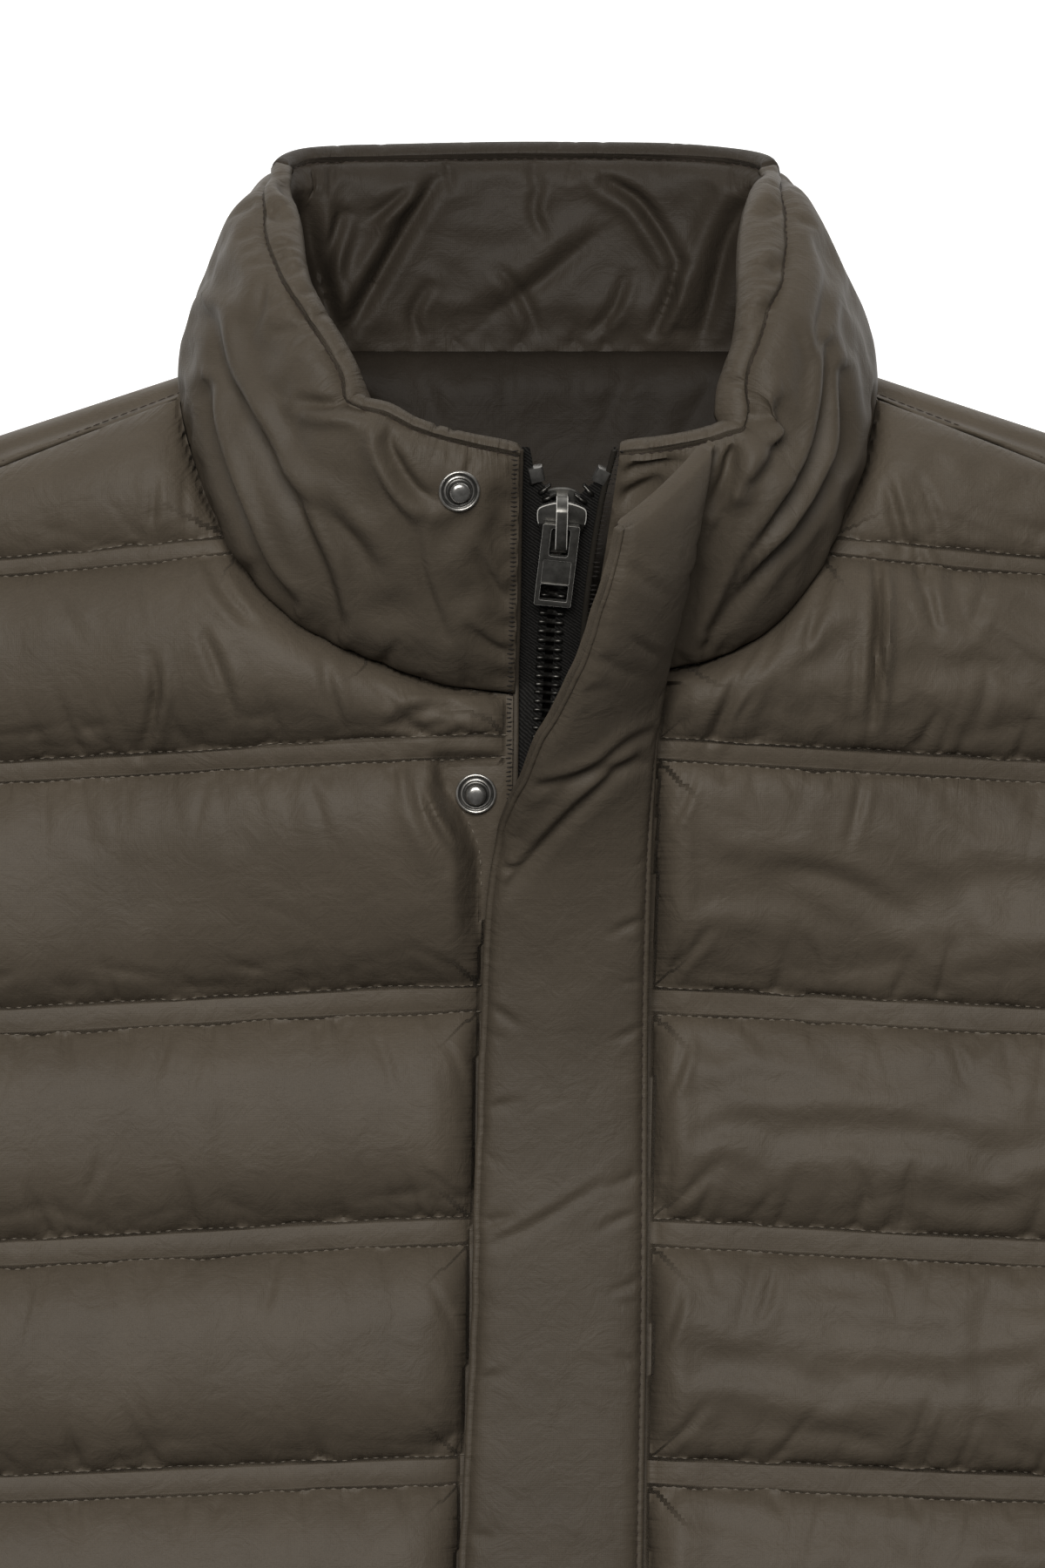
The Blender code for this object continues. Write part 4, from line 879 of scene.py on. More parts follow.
def dimples(rng, u, d, start, end):
    """Long shallow hollows that lie along a row, a few millimetres from it: where the cloth sags in over the stitches."""
    out = np.zeros(np.shape(u))
    at = start
    while at < end:
        long, tall = rng.uniform(4.0, 13.0), rng.uniform(1.6, 3.4)
        up, lean, deep = rng.uniform(3.0, 10.0), rng.normal(0, 0.22), rng.uniform(0.7, 2.2) ** 1.2
        m = (np.abs(u - at) < 3.0 * long) & (d > 0)
        across = (u[m] - at) / long
        out[m] += deep * np.exp(-np.abs(across) ** 2.6 - np.abs((d[m] - up - lean * (u[m] - at)) / tall) ** 1.6)
        at += rng.uniform(7.0, 26.0)
    return out


def pillow(v, lines, back_up=0.0, back_down=0.0):
    """0 on a quilting row and 1 between two: it rises slowly under the upper row and falls short and steep onto the lower one."""
    out = np.zeros(np.shape(v))
    for a, b in zip(lines[0::2], lines[1::2]):
        up = (1 - (1 - np.clip((a - v - back_up) / 28.0, 0, 1)) ** 2) ** 0.70
        down = (1 - (1 - np.clip((v - b - back_down) / 24.0, 0, 1)) ** 2) ** 0.72
        out = np.maximum(out, up * down)
    return out


def band(v, lines):
    """0 on each row of a pair and 1 midway between them."""
    out = np.zeros(np.shape(v))
    for a, b in zip(lines[1::2], lines[2::2]):
        t = np.clip((a - v) / (a - b), 0, 1)
        out = np.maximum(out, np.sin(np.pi * t))
    return out


def stitches(name, lines, material, pitch=3.1, length=2.3, radius=0.27, rise=0.12, sides=4, body="jacket"):
    """Runs of thread on polylines of (points, normals): short rounded rods, each dipping into the cloth at its ends."""
    verts, faces = [], []
    rng = np.random.default_rng(len(name) * 7 + 5)
    profile = ((-1.0, 0.45, -0.30), (0.0, 1.0, 0.04), (1.0, 0.45, -0.30))
    ang = np.arange(sides) * 2 * math.pi / sides + math.pi / 4
    count = 0
    for pts, nrm in lines:
        seg = np.linalg.norm(np.diff(pts, axis=0), axis=1)
        s = np.concatenate([[0], np.cumsum(seg)])
        if s[-1] < pitch:
            continue
        n = int(s[-1] / pitch)
        centre = (np.arange(n) + 0.5) * s[-1] / n + rng.normal(0, 0.08, n)
        at = [np.stack([np.interp(centre + o * length / 2, s, pts[:, c]) for c in range(3)], -1) for o in (-1, 1)]
        up = np.stack([np.interp(centre, s, nrm[:, c]) for c in range(3)], -1)
        up /= np.linalg.norm(up, axis=1)[:, None] + 1e-9
        d = at[1] - at[0]
        d /= np.linalg.norm(d, axis=1)[:, None] + 1e-9
        side = np.cross(d, up)
        side /= np.linalg.norm(side, axis=1)[:, None] + 1e-9
        mid = 0.5 * (at[0] + at[1])
        half = length / 2 * (1 + rng.normal(0, 0.05, n))
        for i in range(n):
            base = count
            for along, wide, lift in profile:
                c0 = mid[i] + d[i] * along * half[i] + up[i] * (rise + lift)
                for a in ang:
                    verts.append(c0 + (side[i] * math.cos(a) + up[i] * math.sin(a) * 0.8) * radius * wide)
            for r in range(2):
                for k in range(sides):
                    k2 = (k + 1) % sides
                    faces.append((base + r * sides + k, base + r * sides + k2, base + (r + 1) * sides + k2, base + (r + 1) * sides + k))
            faces.append(tuple(base + k for k in range(sides - 1, -1, -1)))
            faces.append(tuple(base + 2 * sides + k for k in range(sides)))
            count += 3 * sides
    if not verts:
        return None
    return new_object(name, np.array(verts), faces, material, body)


def grid_normals(P):
    gx = np.gradient(P, axis=2)
    gy = np.gradient(P, axis=1)
    n = np.cross(gx, gy, axis=0)
    return n / (np.sqrt((n ** 2).sum(0)) + 1e-9)


# ================================================================ the two fronts
FINE, COARSE = ((1.06, 3.6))
LOFT = 11.5
ITERS = 380
LINES = [324.0] + [e for q in QUILT for e in q[:2]] + [HEM_Y - 3.0]
SEWN_V = np.array([e for q in QUILT for e in q[:2]])

CREASE_RIGHT = (  # x0, y0, x1, y1, bow, width, depth, ridge: on the wearer's right front, at -X
    (-110.2, 228.5, -115.2, 203.0, 1.5, 3.2, 1.9, 0.7),
    (-93.1, 258.9, -81.4, 242.0, -1.5, 3.0, 1.6, 0.8),
    (-95.2, 238.0, -87.1, 216.5, 1.2, 3.4, 1.7, 0.7),
    (-59.8, 229.0, -55.9, 212.7, 0.8, 3.0, 1.3, 0.6),
    (-111.5, 285.5, -112.6, 270.5, 0.5, 2.6, 1.7, 0.6),
    (-102.2, 288.4, -101.4, 271.0, -0.6, 2.6, 1.6, 0.6),
    (-92.5, 283.0, -90.0, 268.0, 0.5, 2.4, 1.1, 0.5),
    (-31.7, 199.6, -21.1, 183.0, -1.2, 3.0, 2.2, 0.8),
    (-26.0, 181.1, -17.2, 168.7, -0.8, 2.6, 1.8, 0.7),
    (-44.0, 203.0, -38.0, 190.0, 0.8, 2.6, 1.0, 0.5),
    (-134.0, 215.0, -128.0, 205.0, 0.6, 2.6, 1.0, 0.5),
    (-142.0, 258.0, -133.0, 238.0, -1.2, 4.0, 1.0, 0.5),
    (-150.0, 183.0, -120.0, 170.0, 2.0, 6.0, 0.9, 0.4),
    (-66.0, 195.0, -60.0, 178.0, 1.0, 3.4, 1.1, 0.5),
    (-84.0, 160.0, -60.0, 148.0, 1.5, 5.0, 0.8, 0.4),
    (-35.0, 146.0, -18.5, 136.0, 1.0, 3.0, 1.2, 0.6),
    (-108.0, 122.0, -112.0, 106.0, 0.8, 3.2, 1.2, 0.6),
    (-46.0, 119.0, -40.0, 103.0, 0.8, 3.2, 1.1, 0.5),
    (-24.0, 116.0, -19.0, 97.0, 1.2, 2.6, 1.4, 0.6),
    (-30.0, 78.0, -19.0, 67.0, 0.8, 2.8, 1.4, 0.6),
    (-128.0, 83.0, -134.0, 68.0, 0.8, 3.0, 1.0, 0.5),
    (-76.0, 50.0, -80.0, 35.0, 0.8, 3.2, 1.1, 0.5),
    (-29.0, 44.0, -20.5, 24.0, 1.0, 2.6, 1.4, 0.6),
    (-118.0, 12.0, -112.0, -4.0, 0.8, 3.0, 1.0, 0.5),
    (-31.0, 8.0, -21.0, -6.0, 0.8, 2.6, 1.4, 0.6),
)
CREASE_LEFT = (  # the same, on the wearer's left front, at +X
    (77.5, 246.9, 54.9, 207.7, -2.5, 3.4, 3.0, 0.9),
    (104.3, 260.1, 103.2, 213.2, 1.0, 2.8, 2.3, 0.9),
    (98.0, 236.0, 96.5, 214.0, 0.6, 2.2, 1.2, 0.5),
    (90.5, 260.1, 83.5, 237.1, -1.0, 3.0, 1.9, 0.7),
    (116.2, 266.1, 122.2, 241.3, 1.0, 3.2, 1.6, 0.7),
    (108.4, 283.2, 112.8, 263.9, 0.8, 2.8, 1.9, 0.7),
    (118.0, 285.0, 124.0, 268.0, 0.6, 2.6, 1.2, 0.5),
    (100.1, 198.0, 96.2, 176.8, 0.8, 3.0, 1.4, 0.6),
    (68.0, 223.0, 60.0, 211.0, 0.8, 2.6, 1.3, 0.6),
    (138.0, 228.0, 134.0, 208.0, 0.8, 3.4, 1.2, 0.6),
    (48.0, 219.0, 43.5, 206.0, 0.5, 2.4, 1.4, 0.6),
    (50.0, 198.0, 43.0, 182.0, 0.6, 2.6, 1.3, 0.6),
    (140.0, 262.0, 132.0, 240.0, 1.2, 4.0, 1.0, 0.5),
    (80.0, 168.0, 108.0, 158.0, 2.0, 6.0, 0.8, 0.4),
    (54.0, 150.0, 42.5, 138.0, 0.8, 3.0, 1.4, 0.6),
    (84.0, 147.0, 88.0, 133.0, 0.6, 3.0, 1.1, 0.5),
    (126.0, 121.0, 131.0, 106.0, 0.6, 3.2, 1.1, 0.5),
    (48.0, 118.0, 41.5, 100.0, 0.8, 2.6, 1.5, 0.6),
    (55.0, 79.0, 42.0, 67.0, 0.8, 3.0, 1.3, 0.6),
    (98.0, 80.0, 103.0, 66.0, 0.6, 3.0, 1.0, 0.5),
    (74.0, 49.0, 70.0, 34.0, 0.6, 3.0, 1.1, 0.5),
    (46.0, 42.0, 39.5, 24.0, 0.8, 2.6, 1.4, 0.6),
    (52.0, 6.0, 40.0, -5.0, 0.8, 2.8, 1.3, 0.6),
    (120.0, 8.0, 115.0, -6.0, 0.6, 3.0, 1.0, 0.5),
)


FOLDS_RIGHT = (  # points, width, depth, ridge: the longer folds, on the wearer's right front
    (((-112.0, 233.0), (-110.5, 224.0), (-112.5, 214.0), (-116.5, 202.5)), 1.3, 1.6, 0.7),
    (((-96.0, 262.0), (-91.0, 251.0), (-83.0, 243.0)), 1.3, 1.4, -0.7),
    (((-96.5, 240.0), (-92.0, 228.0), (-87.5, 215.0)), 1.3, 1.5, 0.7),
    (((-60.5, 230.0), (-59.0, 221.0), (-55.0, 212.0)), 1.2, 1.2, 0.6),
    (((-33.8, 199.5), (-32.0, 191.0), (-29.5, 183.5), (-22.8, 169.8)), 2.4, 2.8, -0.8),
    (((-26.4, 199.5), (-25.0, 191.0), (-22.9, 184.3), (-18.3, 177.1)), 2.0, 2.4, -0.8),
    (((-37.4, 214.8), (-26.4, 217.4), (-12.8, 213.8)), 2.0, 2.0, 0.8),
    (((-33.0, 222.0), (-24.0, 221.0), (-14.0, 219.0)), 1.8, 1.4, 0.7),
    (((-40.0, 212.0), (-31.0, 211.0), (-24.0, 213.0)), 1.8, 1.8, -0.7),
)
FOLDS_LEFT = (  # the same, on the wearer's left front
    (((78.0, 248.0), (73.0, 236.0), (64.0, 222.0), (55.0, 208.5)), 1.6, 2.4, -0.8),
    (((104.5, 262.0), (105.5, 246.0), (104.5, 230.0), (103.0, 213.0)), 1.4, 2.0, 0.8),
    (((91.0, 262.0), (88.5, 249.0), (83.0, 237.0)), 1.3, 1.5, -0.7),
    (((116.0, 267.0), (118.0, 254.0), (122.5, 241.0)), 1.3, 1.4, 0.6),
    (((108.0, 284.0), (109.5, 274.0), (113.0, 264.0)), 1.2, 1.4, 0.6),
)


def scattered(rng, count, x0, x1, y0, y1, rows, length=(9, 22), depth=(0.8, 1.7)):
    """More creases of the same kind, each running into a quilting row."""
    out = []
    for _ in range(count):
        x = rng.uniform(x0, x1)
        row = rows[rng.integers(len(rows))]
        n = rng.uniform(*length)
        lean = rng.normal(0, 0.35)
        up = 1 if rng.random() < 0.62 else -1
        out.append((x + lean * n * up, row + up * n, x, row + up * 1.0, rng.normal(0, 1.0), rng.uniform(2.4, 4.2), rng.uniform(*depth), rng.uniform(0.4, 0.8)))
    return out


def front_outline(side):
    neck = NECK_SEAM[(NECK_SEAM[:, 0] * side > (0 if side < 0 else 15.0)) & (NECK_SEAM[:, 1] < 312.0)][:, :2]
    neck = neck[np.argsort(np.abs(neck[:, 0]) * 0.3 + neck[:, 1])]
    away = neck - np.array([0.0, 285.0])
    away /= np.linalg.norm(away, axis=1)[:, None]
    neck = neck + away * NECK_GAP
    bottom = neck[0, 1]
    ys = column(OUTLINE, 0)
    outer = [(side * (x_front(y) - SEAM_GAP), y - 0.2) for y in ys if 29.0 < y < 312.0]
    outer += [(side * (x_front(y) - SEAM_GAP), y) for y in ys if 29.0 > y > HEM_Y + 1]
    hem = [(side * (x_front(HEM_Y) - SEAM_GAP), HEM_Y), (edge_x(side, HEM_Y) + side * SEAM_GAP, HEM_Y)]
    zips = [(edge_x(side, y) + side * SEAM_GAP, y) for y in np.linspace(HEM_Y + 5, bottom, 90)]
    return np.vstack([neck, outer, hem, zips]), neck


def front(side, name):
    rng = np.random.default_rng(41 if side < 0 else 42)
    outline, neck = front_outline(side)
    marks = [322.0] + [e for q in QUILT for e in q[:2]] + [HEM_Y]
    v = rows_between(marks, lambda m: FINE if m > -50 else COARSE)
    c = rows_between([0.0, 166.0, 292.0], lambda m: FINE if m < 166 else COARSE)
    V, Cc = np.meshgrid(v, c, indexing="ij")
    e = side * edge_x(side, np.minimum(V, 222.0)) + SEAM_GAP
    X = side * (e + Cc)
    Y = V - drop_of(V) * drop_at(X)
    X, Y, used, rim = fit_grid(X, Y, outline)
    V = np.where(rim, Y + drop_of(Y) * drop_at(X), V)
    base = FRONT_BASE + neck_lift(X, Y)
    ys = column(OUTLINE, 0)
    seams = [(side * x_front(y), y) for y in ys if y < 312.0]
    d_seam = nearest(X, Y, seams)[0]
    d_neck = nearest(X, Y, neck)[0]
    ax = side * X
    stop = np.where(V > neck[0, 1], -50.0, np.maximum(padding_start(side, np.clip(V, HEM_Y, 222.0)), e + 2.6))
    lump = 1 + 0.035 * noise(X, Y, (60, 34), 3 * side + 5) + (0.03 if side < 0 else 0.015) * noise(X, Y, (17, 14), 3 * side + 6)
    back_up, back_down = np.zeros(X.shape), np.zeros(X.shape)
    for a, b in zip(LINES[0::2], LINES[1::2]):
        m = (V < a) & (V > b)
        along = side * X[m] - 0.35 * (V[m] - b)
        back_down[m] = scallops(rng, along, -20.0, 300.0, (5.0, 22.0), (0.2, 1.9)) * (1.0 if b < 272 else 0.4)
        back_up[m] = scallops(rng, side * X[m] + 0.2 * (a - V[m]), -20.0, 300.0, (6.0, 20.0), (0.1, 1.2))
    crown = LOFT * pillow(V, LINES, back_up, back_down) * lump * np.where(V > 272.0, 0.62, 1.0)
    fill = dome(d_seam, 30.0) * dome(np.maximum(d_neck - 1.0, 0.0), 15.0) * dome(np.abs(Y - HEM_Y) + 4.0, 22.0)
    beside = dome(np.maximum(ax - stop, 0.0), 11.0 if side > 0 else 15.0)
    if side < 0:
        # the flat strip round the lower stud
        reach = np.interp(Y, column(STUD_STRIP, 1)[::-1], -column(STUD_STRIP, 0)[::-1])
        down = ease((205.0 - Y) / 5.0) * ease((Y - 138.0) / 18.0)
        beside = beside * (1 - down * (1 - ease((ax - reach) / 9.0) ** 0.6))
    row_t = STITCH_T + 0.18 * noise(X, Y, (9, 40), side + 11)
    full = EDGE_T + fill * beside * (row_t - EDGE_T + crown + 0.5 * band(V, LINES))
    thick = np.maximum(full, np.where((ax < stop + 3.0) & (side > 0), STRIP_T, EDGE_T))
    thick = np.where(rim & (d_neck < 1.0), 1.8, thick)
    if side > 0:
        thick = np.where(ax < stop, STRIP_T, thick)
    else:
        thick = np.maximum(thick, np.where((V < neck[0, 1]) & (V > 150.0), STRIP_T * 0.75, EDGE_T))
    table = list(CREASE_RIGHT if side < 0 else CREASE_LEFT)
    table += scattered(rng, 34, *sorted((side * 60, side * 270)), -380, -40, SEWN_V[10:], (10, 26))
    table += scattered(rng, 14, *sorted((side * 165, side * 255)), 0, 200, SEWN_V[2:10], (10, 26))
    table = [(a, b, c2, d2, bow, max(0.50 * w, 1.35), 0.80 * dep, r) for a, b, c2, d2, bow, w, dep, r in table]
    soft = np.clip(fill * beside, 0, 1)
    wrinkle = (creases(X, Y, table) + folds(X, Y, FOLDS_RIGHT if side < 0 else FOLDS_LEFT)) * soft
    wrinkle += soft * 0.10 * noise(X + 0.4 * Y, Y, (26, 12), side + 21)
    out_x = side * X
    for k, (hi, lo, _) in enumerate(QUILT):
        first = k == 0
        wedge = drawn_in(rng, 2.0, 285.0, (16.0, 52.0), (8.0, 24.0), (0.10, 0.90), (1.3, 2.4), (0.8, 2.4) if not first else (0.3, 1.1))
        wrinkle -= soft ** 0.5 * notches(out_x, V - hi, wedge)
        small = drawn_in(rng, 2.0, 285.0, (3.5, 12.0), (3.0, 9.0), (-0.5, 0.7), (1.3, 2.4), (0.6, 1.7), missing=0.3)
        wrinkle -= soft ** 0.5 * notches(out_x, lo - V, small)
        faint = drawn_in(rng, 2.0, 285.0, (12.0, 34.0), (10.0, 30.0), (-0.30, 0.40), (1.3, 2.2), (0.4, 1.0), missing=0.2)
        wrinkle -= soft * notches(out_x, lo - V, faint)
        low = V < hi + 24.0
        wrinkle[low] -= (soft ** 0.5)[low] * dimples(rng, out_x[low], (V - hi)[low], 0.0, 285.0) * (0.2 if side > 0 else 0.4 if first else 0.8)
    # one quilting row pulls lengthwise creases, the seams beside the zip pull short ones
    Z = base + thick + wrinkle
    Z = np.maximum(Z, base + np.minimum(thick, row_t) - 0.6)
    P = np.stack([X, Y, Z])
    d_row = np.min(np.abs(V[..., None] - SEWN_V), axis=-1)
    sewn_row = d_row < 1e-6
    free = ~(rim | sewn_row) & ~((side > 0) & (ax < stop))
    in_band = band(V, LINES) > 0.02
    jolt = np.where(free & ~in_band, rng.normal(0, 0.10, X.shape), 0) * (soft > 0.02)
    P[1] += np.where(sewn_row & ~rim, 0.30 * noise(X, V, (7, 5), side + 31), 0)
    vary = 1 + 0.40 * noise(X, Y, (21, 12), side + 51)
    along_x = 1 + (0.001 + 0.018 * np.exp(-d_row / 5.0) * vary + 0.024 * np.exp(-np.minimum(d_neck, d_seam) / 7.0)) * soft ** 0.3 * ~in_band
    d_zip = np.maximum(ax - stop, 0.0)
    along_y = 1 + (0.001 + 0.036 * np.exp(-d_zip / 5.0) * vary + 0.024 * np.exp(-np.minimum(d_neck, d_seam) / 7.0)) * soft ** 0.3 * ~in_band
    along_x = np.where(free, along_x, 1.0 * along_x)
    P = settle(P, free, used, along_x, along_y, ITERS, bend=0.03, floor=(base + 1.2).astype(F), cap=7.0, jolt=jolt)
    flip = side < 0
    top = P
    bottom = np.stack([X, Y, base])
    keep = used[1:, 1:] & used[:-1, 1:] & used[1:, :-1] & used[:-1, :-1]
    inner = ~rim
    keep &= inner[1:, 1:] | inner[:-1, 1:] | inner[1:, :-1] | inner[:-1, :-1]
    obj = closed_panel(name, top, bottom, keep, SHELL, flip=flip, coarse=8)
    keep_top = np.zeros(X.shape, bool)
    for oa in (slice(None, -1), slice(1, None)):
        for ob in (slice(None, -1), slice(1, None)):
            keep_top[oa, ob] |= keep
    by_row = np.exp(-d_row / 3.6) * ~in_band
    by_side = np.exp(-np.minimum(np.minimum(d_neck, d_seam), np.where(d_zip > 0, d_zip, 99.0)) / 4.0)
    side_u = np.where(np.minimum(d_zip, 99) < d_seam, Y, X - Y)
    which = np.argmin(np.abs(V[..., None] - SEWN_V), axis=-1)
    u_mark = np.where(by_row > by_side, X + 137.0 * which, side_u)
    seam_marks(obj, u_mark, d_row, 0.50 * np.maximum(by_row, by_side) * (0.55 + 0.45 * np.clip(noise(X, Y, 15, 7) + 0.4, 0, 1.5)) * (soft > 0.01), keep_top)
    nrm = grid_normals(P)
    nrm *= np.sign(nrm[2])[None]
    runs = []
    for e_v in SEWN_V:
        r = int(np.argmin(np.abs(v - e_v)))
        m = used[r] & ~rim[r] & ((ax[r] > stop[r]) if side > 0 else True)
        if m.sum() > 4:
            runs.append((P[:, r, m].T, nrm[:, r, m].T))
    if side < 0:
        # the row of stitches that holds the padding back from the lower stud
        line = np.array([(x, y) for x, y in STUD_STRIP if 150.0 < y < 190.0])
        fine = np.linspace(0, len(line) - 1, 24)
        sx, sy = (spline(fine, None, line[:, c]) for c in (0, 1))
        near_i = [np.unravel_index(np.argmin((P[0] - a) ** 2 + (P[1] - b) ** 2 + 1e6 * ~used), X.shape) for a, b in zip(sx, sy)]
        runs.append((np.array([(a, b, P[2][i]) for a, b, i in zip(sx, sy, near_i)]), np.array([nrm[(slice(None), *i)] for i in near_i])))
    say(name, X.shape, "tris", tri_count(obj))
    return dict(obj=obj, P=P, N=nrm, v=v, V=V, X=X, used=used, rim=rim, runs=runs, stop=stop)


FRONTS = {side: front(side, name) for side, name in ((-1, "front_right"), (1, "front_left"))}
for side, name in ((-1, "front_right"), (1, "front_left")):
    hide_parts(name)
    shown = [run for run in FRONTS[side]["runs"] if run[0][:, 1].mean() > -55.0]
    stitches(f"quilting_{name}", shown, THREAD)
    stitches(f"quilting_{name}_low", [run for run in FRONTS[side]["runs"] if run[0][:, 1].mean() <= -55.0], THREAD, pitch=3.5, length=2.6, sides=3)
say("fronts done")


# ================================================================ the collar: one padded wall round the neck, topstitched under its top edge
OUTER_CREASES = (  # on the collar's outer piece, in plan
    (-85.5, 310.0, -80.9, 298.0, 0.6, 3.0, 1.5, 0.7),
    (-76.0, 352.0, -82.0, 330.0, 0.8, 3.2, 1.0, 0.6),
    (-33.0, 268.0, -24.0, 238.0, -1.5, 3.4, 1.1, 0.6),
    (-14.0, 262.0, -3.5, 246.0, -1.2, 3.0, 1.4, 0.6),
    (-17.0, 240.0, -3.0, 231.5, -0.8, 2.6, 1.3, 0.6),
    (-46.0, 291.0, -36.0, 272.0, -1.0, 3.0, 1.1, 0.5),
    (90.0, 345.0, 84.0, 318.0, 1.0, 3.4, 1.2, 0.6),
    (60.0, 283.0, 53.0, 262.0, 1.0, 3.0, 1.3, 0.6),
    (50.0, 262.0, 47.0, 242.0, 0.8, 2.8, 1.0, 0.5),
)
OUTER_FOLDS = (  # points, width, depth, ridge: the long folds that run beside the neck seam
    (((-96.5, 312.0), (-95.0, 301.0), (-91.0, 288.0), (-84.8, 272.1), (-78.3, 257.1), (-71.0, 248.0)), 2.0, 2.6, 0.8),
    (((-95.5, 333.0), (-91.0, 316.0), (-82.2, 300.8), (-74.6, 286.2), (-67.3, 271.4), (-61.1, 256.8), (-56.9, 242.3)), 2.6, 2.3, 0.9),
    (((-69.0, 281.0), (-61.0, 274.5), (-51.0, 264.5), (-46.0, 257.0)), 2.8, 1.2, 0.7),
    (((95.0, 316.0), (94.8, 295.8), (89.7, 283.6), (81.4, 270.3), (68.1, 255.2), (54.1, 235.5)), 1.9, 2.6, -0.8),
    (((90.0, 324.0), (89.0, 308.0), (84.8, 291.6), (74.1, 273.4), (64.2, 258.6), (55.3, 240.0)), 1.6, 2.2, -0.8),
    (((27.0, 285.5), (36.0, 287.5), (47.0, 290.0)), 3.0, 3.4, 0.6),
    (((27.5, 278.0), (34.0, 280.5), (40.0, 283.0)), 2.6, 2.8, 0.5),
    (((-39.1, 303.5), (-40.7, 294.8), (-37.6, 287.1), (-32.7, 280.7), (-28.0, 278.1)), 2.0, 2.0, -0.9),
    (((-21.0, 297.2), (-22.0, 293.4), (-21.2, 290.2)), 1.3, 1.2, 0.6),
    (((-37.0, 301.8), (-37.9, 299.2), (-37.0, 295.9)), 1.3, 1.4, 0.6),
    (((61.9, 298.3), (61.2, 292.0), (60.6, 283.7)), 1.8, 2.0, 0.7),
    (((59.9, 291.2), (58.2, 283.8), (54.5, 276.0)), 1.8, 2.0, 0.7),
    (((75.6, 306.6), (75.9, 300.1), (73.6, 290.2), (68.2, 282.1)), 2.2, 2.2, -0.8),
)
LEDGE_FOLDS = (  # where the wall's front parts fold over its sides
    (((-66.5, 307.2), (-60.5, 306.3), (-54.7, 306.1), (-48.5, 305.0)), 1.9, 3.0, -0.9),
    (((61.0, 301.6), (66.0, 301.4), (69.5, 302.2), (73.5, 304.2)), 2.2, 2.8, -0.6),
    (((66.5, 298.6), (69.0, 296.2), (71.8, 293.0)), 1.9, 2.2, 0.6),
)
RIM_FOLDS = (  # the larger puckers of the band over the topstitching
    (((-73.7, 376.6), (-71.5, 373.0), (-68.5, 369.6)), 2.2, 1.8, 0.7),
    (((-77.9, 367.5), (-76.0, 365.5), (-72.1, 362.4)), 2.0, 1.6, 0.7),
    (((-73.7, 353.0), (-72.4, 349.5), (-69.3, 346.2)), 2.0, 1.6, 0.7),
    (((-71.4, 338.5), (-69.0, 334.5), (-65.7, 331.5)), 1.8, 1.5, 0.7),
    (((76.3, 367.8), (73.5, 366.2), (69.3, 363.2)), 2.2, 1.8, -0.7),
    (((76.7, 349.9), (74.0, 348.2), (70.4, 344.7)), 2.2, 1.7, -0.7),
    (((74.8, 338.5), (71.8, 335.0), (67.3, 331.5)), 2.0, 1.6, -0.7),
)
INNER_FOLDS = (  # points, width, depth, ridge: the deep soft folds of the piece that faces the neck
    (((-27.6, 377.0), (-38.2, 359.1), (-47.9, 342.2), (-55.0, 329.7)), 3.2, 4.2, -0.7),
    (((-36.1, 374.3), (-41.0, 369.8), (-46.6, 365.2)), 2.0, 2.2, 0.6),
    (((24.0, 377.0), (33.5, 370.9), (40.9, 360.9), (45.6, 351.7)), 2.6, 3.2, -0.7),
    (((45.6, 351.7), (42.5, 341.0), (38.2, 331.1)), 2.4, 3.0, 0.7),
    (((67.6, 374.0), (59.8, 358.8), (55.7, 341.7), (52.7, 329.7)), 4.0, 4.5, -0.6),
    (((21.6, 361.4), (5.3, 347.2), (-12.1, 335.1)), 4.0, 1.8, -0.7),
    (((-66.0, 370.9), (-62.5, 349.3), (-57.2, 329.7)), 3.6, 4.5, 0.6),
    (((-55.7, 366.9), (-59.0, 356.0), (-61.5, 345.5)), 2.4, 3.0, 0.7),
    (((4.0, 376.0), (2.0, 368.0), (5.0, 360.0)), 1.8, 1.4, 0.6),
    (((-8.0, 350.0), (-1.0, 341.0), (3.0, 331.0)), 2.4, 1.6, -0.6),
    (((30.0, 348.0), (26.0, 338.0), (20.0, 331.0)), 2.2, 1.8, 0.6),
    (((-30.0, 345.0), (-34.0, 337.0), (-33.0, 330.0)), 2.0, 1.7, 0.6),
)
TOPSTITCH = 10.0  # how far under the top edge the collar's row of stitches runs
WALL = float(np.linalg.norm(np.array(COLLAR[12][3:6]) - np.array(COLLAR[12][:3])))


